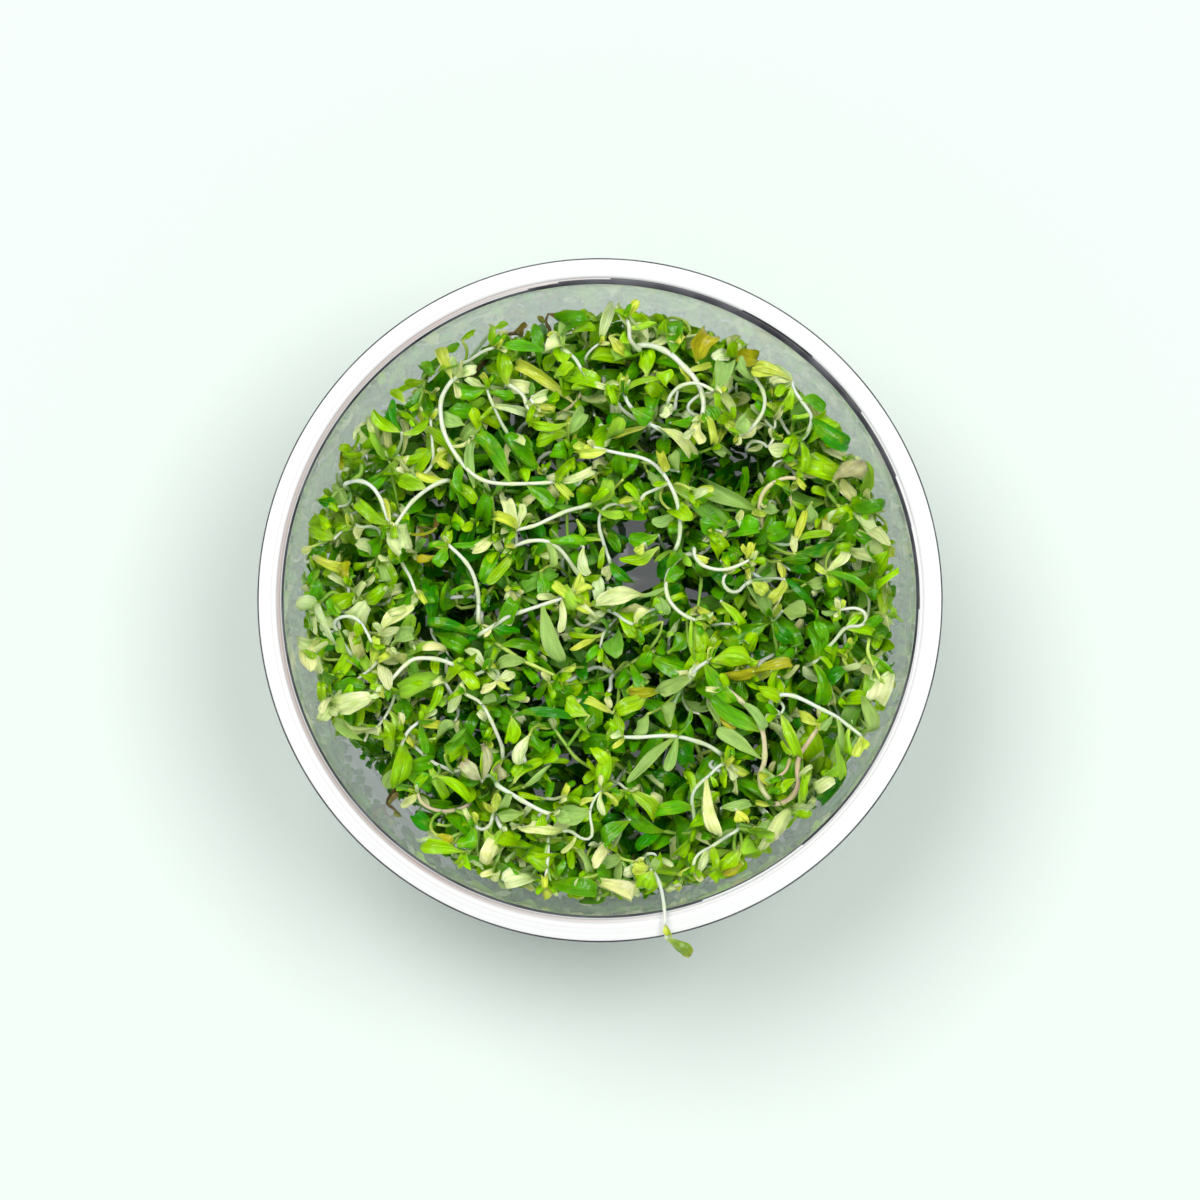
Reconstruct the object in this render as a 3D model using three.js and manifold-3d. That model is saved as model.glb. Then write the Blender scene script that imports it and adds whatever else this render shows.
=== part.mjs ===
// A round clear cup of young Rotala macrandra 'Green', grown on gel, seen with its lid off.
// Millimetres, +Z up. The origin is the middle of the cup's flat base.
// The cup holds the plants. Each clump of stems stands in the gel on a foot of its own.

import * as THREE from "three";
import { mergeVertices } from "three/addons/utils/BufferGeometryUtils.js";
import Module from "manifold-3d";

// Driving sizes of the cup
const CUP_DIAMETER = 101;
const CUP_HEIGHT = 50;
const WALL = 0.9;
const BASE = 1.2;
const MOUTH_RADIUS = 46.6;
const FLOOR_RADIUS = 42;
const SKIRT_DEPTH = 3.6;
const SKIRT_WALL = 0.7;
const FOOT_CHAMFER = 0.6;
const LIP_RADIUS = 47.1;
const GROOVE_RADIUS = 47.5;
const GROOVE_DEPTH = 0.5;
const EDGE_ROUND = 0.4;
const ROUND_SIDES = 36;

// The gel and the gap kept between pieces that touch
const GEL_TOP = 10;
const GAP = 0.3;

// The routes and leaves below are drawn as they are seen from above, with every height moved
// up to the rim. These two sizes undo that: how high above the rim the drawing is seen from,
// and how far from straight down it is seen (the sine of the angle).
const VIEW_HEIGHT = 700;
const VIEW_LEAN = 0.0584;

// Stems: their facets, the room they keep, and how far the hidden start of a route dips
const STEM_SIDES = 3;
const STEM_CURVE = 0.5;
const STEM_GAP = 0.5;
const WALL_GAP = 0.7;
const BURIED_DIP = 3.5;
const SAMPLE_STEP = 0.5;
const LIFTS = [0, 1.3, -1.3, 2.6, -2.6, 3.9, -3.9, 5.2, -5.2, -6.5, -7.8];

// Feet: a foot stands almost under its stem, or at the next free spot of a spiral round there.
// The waist is the stem's one hidden point between its foot and the mat.
const FOOT_GAP = 0.5;
const FOOT_PULL = 0.95;
const FOOT_FROM_WALL = 2;
const SPIRAL_SPOTS = 160;
const SPIRAL_TURN = 2.4;
const SPIRAL_STEP = 0.5;
const WAIST_SHARE = 0.55;

// Side shoots: they leave a stem between these drops below their leaf, swing out and climb
const SHOOT_RADIUS = 0.32;
const SHOOT_DROPS = [4, 16];
const SHOOT_SWING = 0.7;
const SHOOT_CLIMB = 0.45;

// Leaves: size is length times width. A leaf may grow from the stem's last hidden millimetres too.
const LEAF_THICKNESS = 0.55;
const LEAF_ARCH = 0.1;
const LEAF_REACH = 1.3;
const LEAF_BELOW_MAT = 6;
const SMALLEST_LEAF = 5;
const SMALLEST_ON_SHOOT = 12;
const MAT_DEPTH = 3;
const LEAF_RISE = 2.5;
const LEAF_DROOP = 0.4;
const RISES = [0, 1.2, -1.2, 2.4, -2.4];
const LENGTH_SHARES = [1, 0.8];

// Two bodies that share less than this volume only touch. Corners closer than this are one.
const TOUCHING = 1e-6;
const SAME_CORNER = 1e-4;

// Each stem: the clump it belongs to, the height its arch reaches, its radius, and its visible
// route from the end that goes down into the mat to the growing tip.
const STEMS = [
  ["a1", 42, 0.4, [[-21.2, 32.6], [-23.2, 30.1], [-23.5, 27.2], [-22.7, 23.8], [-20.2, 19.8], [-17.7, 17.7],
    [-14.8, 17], [-10.4, 17], [-6.6, 17.2]]],
  ["a2", 38, 0.32, [[-29.1, 18.9], [-27.6, 17.9], [-25.8, 18.5], [-24.8, 19.8], [-24.6, 21.3], [-24.8, 23.5],
    [-25, 26.6]]],
  ["a3", 40, 0.34, [[-20.8, 34.2], [-19.2, 35.3], [-17.2, 36.6], [-15.4, 37.2]]],
  ["a4", 35, 0.34, [[-26.4, 28.8], [-26.2, 30.6], [-25.9, 32.2]]],
  ["a5", 41, 0.42, [[-37.6, 16.6], [-36.6, 17.3], [-35.1, 17.3], [-33.6, 16.5], [-32.4, 14.8], [-31.7, 12.9],
    [-31.1, 11.1]]],
  ["a6", 42, 0.42, [[-22.2, 17.4], [-24.6, 16.7], [-27.3, 14.7], [-28.8, 12.9], [-30.4, 10.4]]],
  ["a7", 38, 0.34, [[-31.9, 8.9], [-32.7, 10.2], [-33.9, 10.7], [-35.1, 10.5], [-36.2, 11]]],
  ["a7", 37, 0.36, [[-29.9, 7.3], [-29.1, 5.1], [-28, 3.2], [-27, 0.6]]],
  ["a8", 35, 0.3, [[-29.7, 13.4], [-30.2, 16], [-30.8, 18.6], [-31.1, 20.6]]],
  ["a9", 36, 0.36, [[-36.6, -2], [-36.9, 0], [-37.1, 2]]],
  ["a9", 40, 0.36, [[-36.4, -8.4], [-39, -4.4], [-38.8, -3.1], [-37.2, -2.6], [-35.6, -3.2], [-34.3, -5],
    [-33.6, -6.6]]],
  ["b1", 39, 0.36, [[-36.2, -14.2], [-36.4, -13], [-35.4, -11.7], [-33.9, -10.5], [-32.4, -9]]],
  ["b2", 42, 0.42, [[-21.4, -9.8], [-22.9, -9.2], [-25.1, -8.8], [-27.3, -8.9], [-28.8, -9.9], [-30.2, -11.4],
    [-31.4, -12.8]]],
  ["b1", 37, 0.3, [[-31.6, -13.3], [-30.2, -13.8], [-30.6, -15.5], [-31.6, -17.4], [-32.6, -18.8]]],
  ["b3", 34, 0.3, [[-38.6, -12.4], [-38.7, -14.7], [-37.8, -15.4], [-37.3, -17], [-36.5, -18.6]]],
  ["b4", 39, 0.38, [[-28.7, -24.6], [-29.2, -22.3], [-28.8, -20.6], [-27.9, -19.2], [-26.5, -18.1]]],
  ["b5", 36, 0.4, [[-20.2, -26.1], [-22.3, -25.1], [-24.6, -24.1], [-26, -22.9], [-27.4, -21.6]]],
  ["b6", 36, 0.38, [[-19.3, -30.3], [-20.8, -31], [-22.8, -31.3], [-24.8, -30.9], [-26.3, -29.9], [-26.8, -28.6]]],
  ["b7", 43, 0.46, [[-15.2, -27.3], [-12.6, -29], [-10.4, -30.3], [-8.4, -31.3], [-7.2, -31.7]]],
  ["b8", 43, 0.3, [[-5.4, -34.1], [-4.3, -34.2], [-3, -35.1], [-1.9, -35.4], [-1.2, -34.9], [-1.2, -33.5],
    [-1.5, -31.8], [-1.2, -30.3], [-0.5, -29], [0.3, -28.3]]],
  ["b9", 40, 0.38, [[-15.7, -31.8], [-16.1, -33.2], [-17, -33.9], [-17.9, -33.8], [-18.5, -33.2]]],
  ["c1", 40, 0.34, [[-7.6, -35], [-7.6, -37.4], [-7.8, -39.6], [-8, -41.2]]],
  ["c2", [45.5, 47, 48.6, 50.4, 51.4, 51.5, 51.2], 0.36, [[7.3, -39.4], [8.2, -40.7], [8.9, -42.4], [9.3, -44.4],
    [9.5, -46.4], [9.5, -48.4], [9.8, -50]]],
  ["c3", 37, 0.34, [[2.3, -36.8], [2.8, -38], [4, -38.5], [5.3, -38.7]]],
  ["c4", 41, 0.34, [[20.3, -33.8], [18.4, -35.1], [16.5, -36.4], [14.7, -37.4], [13.9, -38.4], [13.7, -39.5]]],
  ["c4", 35, 0.32, [[13.2, -41], [11.7, -41.2], [10.4, -41.9]]],
  ["c6", 41, 0.36, [[13.8, -33.6], [13.8, -31.8], [13.5, -30.2], [13.7, -28.6], [14.6, -27.3], [16.2, -25.9],
    [17.4, -24.7], [18.4, -24.3]]],
  ["c7", 42, 0.42, [[17.8, -22.9], [16, -21.7], [13.8, -20.9], [11.4, -20.3], [8.8, -20.2], [6.1, -20.4],
    [3.4, -20.4]]],
  ["c8", 43, 0.5, [[24.7, -29.3], [23.8, -28], [23.5, -26], [24.1, -24.2], [24.2, -22], [23.9, -19.6], [23, -17.6],
    [21.6, -15.9], [20, -14.4], [18.4, -13.1]]],
  ["c9", 42, 0.5, [[25.6, -30.2], [27, -29.9], [28.3, -29], [29.1, -27.4], [29, -25.2], [29.4, -23], [30.6, -21.2],
    [31.8, -19.4], [32.6, -18.4]]],
  ["d1", 44, 0.4, [[26.4, -17], [25.2, -16], [25.2, -14.9], [26.4, -14.2], [28.3, -14.3], [30.3, -15.1],
    [32.4, -16.2], [34.6, -17.3], [36.6, -18.8], [38.4, -20.2]]],
  ["d2", 37, 0.28, [[33.5, -12.4], [33.9, -14], [35.2, -15.3], [37, -16], [38.2, -17.6], [39.4, -19.2]]],
  ["d3", 42, 0.34, [[39.4, -5.8], [39.4, -7.8], [40.3, -10], [41.2, -11.8], [42.1, -13.6]]],
  ["d4", 42, 0.36, [[31.2, -9.6], [32.8, -8], [34.6, -6.1], [35.9, -4.5], [37, -4.1], [38.4, -4], [39.2, -3],
    [38.8, -1.9], [37.6, -1.4], [36.2, -1.5], [35.3, -1.6]]],
  ["d3", 39, 0.34, [[39, -8.8], [38.2, -9.7], [37, -10.2], [36.1, -9.6], [35.7, -8.4]]],
  ["d5", 36, 0.38, [[26, -8], [25.7, -5.4], [25.3, -2.8]]],
  ["d6", 41, 0.38, [[22.2, 2.6], [21.2, 1.9], [20.4, 1.1], [19.4, 1], [18.5, 1.6], [18.1, 2.7], [18.6, 3.7]]],
  ["d7", 42, 0.38, [[13.8, 7.4], [14, 6.2], [15.2, 4.9], [17.2, 4.3], [19, 4.4], [20.6, 5], [22.2, 5.8]]],
  ["d7", 40, 0.42, [[13.4, 6.5], [12.2, 6.3], [10.8, 5.1], [9.9, 3.4], [9.7, 1.6], [10.2, -0.2], [11.5, -1.8],
    [13.1, -2.8], [14.2, -3.2]]],
  ["d9", 39, 0.46, [[24.2, 9], [24, 10.8], [23.6, 12.6], [23.6, 14.4], [24.3, 16], [25.7, 17.2], [27.4, 17.8],
    [29, 17.8]]],
  ["e1", 36, 0.28, [[12.6, 12.6], [14, 12.5], [16.4, 13.1], [18.2, 13.1], [21, 13], [22.6, 13.1]]],
  ["e2", 43, 0.38, [[11.1, 7.2], [11.7, 9], [11.8, 11.4], [11.5, 13.6], [11, 15.4], [10.1, 17.2],
    [9.3, 18.5], [7.8, 20], [5.8, 20.9], [3.2, 21.4], [0.9, 21.9], [-1, 22.4]]],
  ["e3", 39, 0.36, [[1.6, 5], [0.9, 7], [0.4, 8.6], [-0.1, 10.4], [0, 12.3], [0.9, 13.6], [2.6, 14], [3.7, 13.5]]],
  ["e4", 36, 0.32, [[-4.3, 3.2], [-4.6, 6], [-4.8, 9.5], [-4.9, 12.6], [-4.9, 15.6], [-4.7, 18.4], [-4.5, 22]]],
  ["e5", 42, 0.4, [[-1.2, 13.8], [-2.8, 13.5], [-5, 12.9], [-7.4, 11.8], [-9.6, 10.8], [-12.4, 10.1]]],
  ["e6", 41, 0.42, [[-2.9, 3.2], [-3.9, 4.6], [-5, 6.2], [-6.3, 7.6], [-8, 8.5], [-10.4, 8.5], [-12.6, 7.8]]],
  ["e7", 40, 0.42, [[-17.8, -3.6], [-17.9, -0.2], [-18.2, 2], [-19, 4.2], [-20.3, 6], [-22.3, 7.9]]],
  ["e8", 41, 0.4, [[-17.8, -5.4], [-15.6, -4], [-13.4, -2.6], [-10.8, -1.7], [-8.4, -0.9], [-6, -0.1], [-4.4, 0.4]]],
  ["e9", 38, 0.38, [[-15.9, -6.2], [-13.4, -7.8], [-11.4, -9.1], [-9.2, -10.1], [-6.5, -11.4]]],
  ["f1", 39, 0.38, [[-14.2, -23.6], [-14.4, -21.8], [-15.2, -19.8], [-16.1, -17.8], [-17.5, -15.4], [-19.9, -14]]],
  ["f1", 38, 0.42, [[-20.6, -12.8], [-18.7, -11.4], [-16.9, -10.6]]],
  ["f2", 37, 0.36, [[-0.6, -25.2], [-2.2, -24.4], [-3.8, -23.2], [-5.4, -21], [-6.9, -19]]],
  ["f3", 41, 0.38, [[-5.8, 36.8], [-4, 35.8], [-3, 34.4], [-2.2, 32.9], [-1.2, 32], [0.8, 31.1]]],
  ["f4", 40, 0.38, [[7.2, 25.5], [5.2, 26.6], [3.5, 27.8], [2.4, 29.2], [2, 30.6]]],
  ["f4", 43, 0.42, [[9.4, 24.5], [7.4, 25.8], [5.6, 27.2], [4.2, 28.8], [3.5, 30.5]]],
  ["f5", 42, 0.55, [[5.2, 37], [7.3, 37.5], [9.5, 36.7], [11, 35.7], [12.5, 34.2], [13.9, 32.7], [14.9, 30.8],
    [15.3, 28.8], [15.1, 27.2]]],
  ["f6", 45, 0.38, [[10, 28.9], [10.6, 30.3], [12, 31.5], [13.9, 31.9], [15.4, 31.5], [17, 30.6]]],
  ["f7", 42, 0.4, [[22.4, 32.6], [23.7, 31.4], [24.3, 29.6], [24.1, 27.8], [23.1, 26.1], [21.9, 24.8],
    [20.6, 24.2]]],
  ["f8", 42, 0.38, [[29.4, 23.2], [30.4, 24.1], [31.1, 25.7], [31.1, 27.2], [30, 28.9], [28.7, 30.8],
    [28.4, 32.2]]],
  ["f8", 37, 0.34, [[28, 23.6], [27.2, 25.4], [26, 27.6], [25, 29.4]]],
  ["f9", 38, 0.42, [[34.9, 13.8], [36, 12], [36.8, 10.4], [38.7, 9.8], [41, 8]]],
  ["g1", 41, 0.42, [[-13.5, 31.4], [-12.2, 30.8], [-11.2, 29.8], [-10.8, 28.4], [-10, 27.6]]],
  ["g1", 39, 0.34, [[-13.4, 24], [-14.4, 25.7], [-15.4, 27.8], [-16.3, 29.8], [-16.7, 31.2]]],
  ["g2", 38, 0.3, [[-15.9, 15.2], [-15.6, 12], [-15.7, 9.4]]],
  ["g2", 37, 0.36, [[-14.3, 4.4], [-13.7, 3], [-13.2, 1.9]]],
  ["f3", 39, 0.28, [[-2, 34.7], [-2.1, 35.7], [-1.2, 36.9], [0, 37.8]]],
  ["g4", 42, 0.44, [[13, -12.4], [13.5, -11.2], [14.6, -10], [16, -9.2]]],
  ["g5", 40, 0.38, [[1, -1.7], [2.4, -2.3], [3.6, -3.2], [5, -3.9]]],
  ["g6", 36, 0.32, [[2.4, -11], [4.4, -9.6], [6.8, -8.2]]],
  ["d9", 38, 0.36, [[28.3, 12.6], [28.2, 14.2], [27.9, 15.8]]],
  ["a1", 35, 0.3, [[-9, 16.2], [-8, 17.2], [-8.2, 18.6]]],
];

// Each leaf: where it leaves its stem, where its tip is, its width, and its tone:
// d deep green, m mid green, l lime, y yellow-lime, w whitish young leaf, p pale underside up,
// b browned, r rolled and rosy.
const LEAVES = [
  // Upper left, inside the rim
  [-21.8, 32, -24, 37.4, 1.8, "y"], [-24.3, 33.3, -28.3, 36.8, 2.4, "m"], [-25.9, 32.2, -29.8, 32.8, 1.5, "l"],
  [-26.2, 32.2, -31.2, 31.6, 0.9, "l"], [-28.8, 28.9, -31.2, 31.2, 1.3, "l"], [-26.6, 31.7, -28.3, 28.2, 1.8, "m"],
  [-25.8, 31.8, -26.3, 29.6, 1.2, "d"], [-25, 27.4, -29, 27.5, 1.6, "w"], [-25.6, 28.3, -22.9, 30.2, 2, "m"],
  [-25.4, 32, -22.6, 30.4, 1.4, "d"], [-29.3, 24.6, -33.5, 27.9, 1.8, "l"], [-29, 24.4, -25.4, 26.6, 1.4, "l"],
  [-33.2, 24, -34.4, 26.9, 1.2, "w"], [-28.6, 25.6, -30.8, 29.4, 1.8, "d"], [-33.5, 22.3, -35.5, 25.2, 1.8, "m"],
  [-30.6, 21, -35.3, 21.4, 1.9, "m"], [-30.8, 20.8, -25.6, 21.7, 1.6, "l"], [-30.9, 19.8, -29.3, 17, 1.2, "l"],
  [-31.4, 18.6, -33.6, 16.6, 2.2, "m"], [-38.2, 18.9, -38, 21.8, 1.2, "b"], [-37.2, 20.8, -35.5, 18.2, 2.2, "m"],
  [-20.4, 38.2, -18.8, 39.3, 0.9, "l"], [-23, 36.4, -20.8, 37.8, 1.4, "m"], [-15.4, 37.4, -15.9, 40.4, 1.1, "l"],
  [-15.7, 40, -13.6, 40.8, 1.1, "l"], [-15.8, 40.2, -17.2, 42.6, 0.9, "w"], [-15.2, 37, -8.4, 36.9, 2, "m"],
  [-16.8, 31, -21, 31.4, 3, "m"], [-17.4, 26.4, -22.4, 27.8, 2.6, "m"], [-20, 25.6, -23, 26.8, 2, "p"],
  [-20.6, 24, -18, 25.8, 1.8, "p"], [-15.4, 28.4, -17.8, 26, 0.9, "l"], [-15.8, 30.6, -12.6, 30, 1.8, "m"],
  // Top middle
  [-14.2, 32.3, -14.5, 36.4, 2.4, "l"], [-8.8, 33.8, -9.6, 40.7, 1.7, "m"], [-4.8, 37.4, -4.9, 42, 1.6, "p"],
  [-4.2, 39.4, -0.6, 40, 1.4, "l"], [-5.6, 39, -7.8, 39.1, 0.9, "y"], [-5.6, 36.4, -8.2, 33.8, 1.6, "l"],
  [-4.6, 29.4, -12.4, 34.4, 2, "y"], [-6.6, 32.8, -4, 34.8, 1.6, "l"], [-10.8, 28.8, -8, 30, 1.8, "w"],
  [-10.4, 27.8, -8, 27.5, 1.4, "y"], [-15, 29, -11, 27.4, 1.4, "w"], [-4.6, 26, -10.4, 26, 1.5, "l"],
  [-5.4, 24.6, -4.4, 26.8, 1.2, "y"], [-5.4, 24.4, -9.4, 23.2, 2.2, "l"], [-4.2, 24.4, -2.4, 27.4, 2.2, "p"],
  [-3.2, 27.8, -1.2, 30.8, 2, "m"], [0, 37.9, 2, 43.4, 1.6, "w"], [-2, 34.8, 3.4, 35.2, 2.4, "l"],
  [-0.8, 33.2, 2.6, 33, 2.2, "m"], [3.4, 30.6, 3.2, 33.4, 1.3, "l"], [3.8, 30.8, 8, 32.2, 1.2, "l"],
  [-1.2, 32, -4.2, 31, 1.2, "l"], [4, 41.2, 2.2, 42.8, 0.9, "l"], [4.9, 38, 3.2, 39.2, 1.6, "l"],
  [1.4, 38.8, 3.6, 36.2, 1.6, "y"], [5.2, 40, 8.4, 40.8, 1.2, "l"], [7, 37.6, 10.4, 39.6, 1.6, "w"],
  [10.6, 36.4, 11.8, 40.9, 2.6, "m"], [7, 32.8, 6.4, 36.4, 2.6, "l"], [8.2, 33.6, 9.8, 31.6, 2.6, "l"],
  [5.4, 29.2, 7.6, 26.9, 2.6, "m"], [5.4, 25.4, 1.2, 25.6, 2.6, "d"], [-0.8, 27, 0.4, 23.6, 1.8, "m"],
  // Upper right
  [14.4, 35, 16, 38.8, 3.4, "b"], [16.6, 37.8, 18.4, 37.6, 1.8, "l"], [18.2, 36.8, 21.8, 37.8, 1.2, "l"],
  [20.4, 36.8, 23.2, 35.4, 2.6, "b"], [11.4, 35, 13.2, 31.8, 1.4, "y"], [13.2, 33.8, 16.4, 34.6, 1, "y"],
  [15.2, 32.6, 19.6, 35.4, 3, "w"], [17.6, 31, 18.4, 34.6, 2.6, "p"], [23.4, 32.5, 20.6, 35.8, 1.6, "p"],
  [26.6, 33.4, 22.4, 33.8, 1.6, "y"], [18.6, 30.6, 19.6, 33, 1.4, "w"], [18.4, 30.2, 19.4, 26.8, 2.2, "l"],
  [20.2, 31.8, 22.8, 31, 2, "m"], [16, 28.4, 17.2, 26.4, 2, "m"], [10, 28.8, 9.1, 26.8, 1.6, "w"],
  [15.1, 27.4, 14.6, 22.8, 2, "w"], [15.3, 27, 16.6, 23, 1.2, "y"], [28.2, 32.3, 23.6, 33.6, 1.8, "y"],
  [28.2, 32, 25.4, 31.8, 1.6, "w"], [28.4, 31.6, 25.8, 30.2, 1.6, "l"], [28.3, 31.2, 28, 28, 1.3, "l"],
  [29.6, 29.6, 33.2, 28, 2.2, "m"], [31.1, 27, 28.4, 26.6, 1, "l"], [31.2, 26.9, 33.4, 27.8, 0.9, "l"],
  [31.6, 26.4, 36.6, 22.6, 3.2, "d"], [20.2, 24.4, 21.6, 26.8, 2.2, "p"], [20.6, 24.2, 18.8, 26, 1.2, "y"],
  [14, 25, 12.2, 24, 1.2, "w"], [8.8, 24.9, 13.5, 21.6, 2, "w"], [7, 25.4, 1.6, 23.8, 1, "y"],
  [10.4, 26, 13.8, 26.3, 1.4, "m"], [2.4, 31, -0.6, 31.6, 1.2, "w"],
  // Left
  [-37.4, 12.4, -39.2, 17, 2, "p"], [-31, 11, -35.6, 14.4, 2, "l"], [-31.2, 11.2, -32, 14.8, 0.8, "y"],
  [-32, 9, -28.2, 9.2, 3, "p"], [-22.4, 17.4, -27, 18.9, 1.4, "y"], [-22.2, 17.3, -18.2, 14.3, 1.8, "l"],
  [-22.4, 17, -19.8, 13.4, 2, "m"], [-25.4, 16, -29.6, 17.6, 2.4, "l"], [-27.7, 17.3, -24, 16.8, 1.2, "m"],
  [-38.6, 13.6, -41.6, 14.6, 1.6, "l"], [-39.2, 8.8, -42.8, 10.6, 3.4, "l"], [-41.6, 6, -38.8, 4.7, 1.6, "y"],
  [-37.1, 1.8, -38.3, 5, 3.2, "b"], [-36.2, 11, -35.3, 9.2, 1.8, "w"], [-32.4, 8.8, -35.6, 6.8, 2.4, "m"],
  [-33, 5, -32, 2.6, 2.2, "p"], [-24.2, 6.2, -26.8, 6.2, 1.4, "b"], [-28.9, 6.6, -26.6, 3.2, 2, "m"],
  [-27.3, 1.2, -26, -0.4, 1.4, "y"], [-25, -3.6, -25.2, 1.8, 2.4, "d"], [-43, 1.6, -41.8, 3.8, 1.3, "m"],
  [-38.3, -2, -39.9, 0, 1.4, "m"], [-37.2, -3, -36.3, -5.6, 1.8, "l"], [-36, -3.4, -35.2, -5.2, 1.4, "l"],
  [-34.2, -10, -32.8, -5.8, 1.5, "y"], [-36.4, -8.3, -34.6, -10.2, 1.6, "m"], [-38.4, -7.4, -41.2, -5.4, 3, "d"],
  [-34.1, -10.8, -31.8, -12.1, 1, "w"], [-32.8, -9.5, -29.9, -7.8, 1.4, "w"], [-32.4, -5.2, -33.4, -3.6, 1.2, "w"],
  [-31.4, -4.8, -27.6, -0.8, 2.2, "w"], [-28.5, -1.2, -31.1, -2.1, 1.1, "w"], [-30.6, -7, -27.6, -5.2, 2.6, "p"],
  [-31.4, -12.7, -33.8, -14.6, 0.9, "w"], [-31.5, -17.4, -30.9, -22.6, 3.2, "l"], [-31, -16.6, -29.3, -21, 1.8, "l"],
  [-34.6, -21, -39.2, -17.8, 1.9, "p"], [-38.6, -14.2, -38.4, -12, 0.9, "y"], [-35, -15.4, -32.2, -16.2, 2.4, "l"],
  [-31, -15.6, -27.6, -16.6, 3, "m"], [-26.4, -17.8, -24, -12.8, 1.4, "l"], [-26.2, -17.8, -24, -16.3, 0.8, "w"],
  [-25.6, -18.6, -25.5, -22.8, 1.4, "m"], [-28.6, -24.8, -24.6, -23.8, 2, "m"],
  [-29.2, -24.8, -31.6, -27.8, 2.2, "p"], [-28.8, -25.6, -24.6, -27.3, 2.6, "m"],
  [-25.9, -23.9, -22.6, -29, 1.6, "l"], [-26.6, -28.4, -29.3, -30.2, 1.8, "w"], [-24, -33.2, -27.4, -32, 2.4, "d"],
  [-21.8, -24, -18.5, -27.9, 1.4, "l"], [-24.5, -26.4, -19.3, -29.7, 1.7, "l"], [-15.4, -27, -14.8, -24.3, 2.6, "r"],
  [-17.4, -27, -20, -24, 2.2, "r"], [-17.2, -26.5, -16.7, -22, 1.1, "l"],
  // Middle left
  [-7.4, 17, -1.4, 19, 1.4, "w"], [-8.2, 18.6, -14.2, 24, 2.8, "m"], [-12.9, 16.8, -18.4, 24, 2.4, "m"],
  [-18.6, 16.6, -18.8, 23, 1.8, "p"], [-20.6, 20, -20.4, 15.8, 1.6, "m"], [-22.4, 22.4, -19.2, 23.6, 0.8, "w"],
  [-24.6, 20.6, -22.2, 19.4, 1.2, "y"], [-24.8, 19.6, -22.4, 21.6, 1.2, "y"], [-15.8, 9.2, -18.8, 7.1, 1.6, "w"],
  [-15.9, 9.3, -21.8, 7.9, 0.9, "m"], [-12.9, 10.1, -13.6, 14.2, 1.8, "w"], [-12.6, 10.2, -11.4, 14, 1.3, "w"],
  [-12.8, 7.6, -16.6, 2.2, 1.8, "l"], [-14.6, 8.6, -17.4, 2.4, 2.2, "m"], [-13.2, 1.9, -11.8, -0.3, 1.5, "w"],
  [-18.2, 1.8, -22, 0.6, 1.2, "m"], [-22, 8, -24, 4.8, 2, "m"], [-7.6, 9, -2, 8.2, 2.2, "m"],
  [-4.6, 20.6, -3.4, 23.6, 1, "m"], [0.8, 21.9, -2.8, 21.4, 1.4, "y"], [-1.4, 22.6, -3.8, 22.8, 1.2, "y"],
  [-11, 15.8, -6.8, 13.8, 2.2, "m"], [-5.2, 15.4, -8, 12.8, 0.8, "m"], [-2.4, 7.6, -1.8, 3.4, 1.6, "w"],
  [0.2, 8.5, -4, 7.6, 0.8, "l"], [-4.4, 0.4, -1.6, -1.4, 2.2, "y"], [-4.4, 0.6, -6.8, 2.2, 1.4, "y"],
  [-4.2, 0.8, -2.8, 3.6, 1.4, "y"], [-4.2, 0.6, -1.2, 1.4, 1.8, "y"], [-8.8, 4, -8.2, 0.6, 2, "m"],
  [-8.2, 7.8, -7, 4.6, 1.6, "p"], [-18, -5.4, -24.8, -4.4, 1.8, "d"], [-24, -5, -20, -7.2, 2.6, "m"],
  [-16.2, -4, -12.6, -0.4, 2.6, "m"], [-15.6, -4.2, -11.8, -4.8, 2.4, "d"], [-15.8, -6.2, -19.6, -6.6, 1, "l"],
  [-14.5, -7, -8.8, -7, 1.8, "m"], [-10.8, -9.4, -14.8, -10, 1.8, "p"], [-10.6, -10, -9.6, -8.2, 2.2, "l"],
  [-8.2, -1.2, -6, -9, 2.8, "p"], [-5.4, -0.4, -5.7, -5, 1.2, "w"], [-17, -10.6, -19.6, -7.4, 1.7, "w"],
  [-16.9, -10.6, -15.6, -10, 1.2, "y"], [-20.4, -12.8, -22.4, -16.8, 1.6, "w"],
  [-20.8, -12.4, -21, -9.6, 1.4, "w"], [-15.2, -12.2, -17.4, -13.4, 1.4, "w"],
  [-16, -12.4, -12.6, -10.8, 1.6, "w"], [-17, -14.6, -15.2, -15, 1.6, "p"], [-13, -17.4, -13.4, -21, 2, "l"],
  [-10.4, -20.2, -11.6, -24.4, 2, "w"], [-9.6, -19.6, -8.4, -22.4, 1.8, "m"], [-8, -24, -6.2, -21.4, 1.2, "m"],
  [-1.6, -17.2, -5, -14.8, 2.6, "l"], [-1.8, -14.2, -3.8, -13, 2, "d"], [-7.6, -12.4, -7.1, -15.2, 1.1, "l"],
  [-22.8, -23, -20.2, -19.4, 3.2, "m"], [-24.2, -20.6, -21.4, -19, 2, "p"], [1.8, -16.9, -1.8, -15.2, 1.4, "y"],
  // Middle right
  [10.3, 17, 16.4, 14.6, 2.2, "l"], [10.1, 17.2, 7.8, 16.8, 0.9, "l"], [11.4, 12.4, 7.6, 11.3, 1.8, "p"],
  [22.8, 13.2, 16.6, 16.8, 2.8, "p"], [16, 13.1, 13.2, 11.6, 0.9, "y"], [16.2, 9.8, 17.4, 7.2, 2.6, "l"],
  [18, 9.9, 21, 11.4, 1, "m"], [21, 10.4, 23.6, 10.6, 1.4, "p"], [13.6, 3.4, 16.2, 4, 1.4, "w"],
  [8.6, 7.6, 2.8, 5.8, 1.8, "l"], [6.6, 8.2, 5, 7, 1.6, "y"], [8.6, 9.4, 4.2, 8.6, 2.6, "m"],
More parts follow.
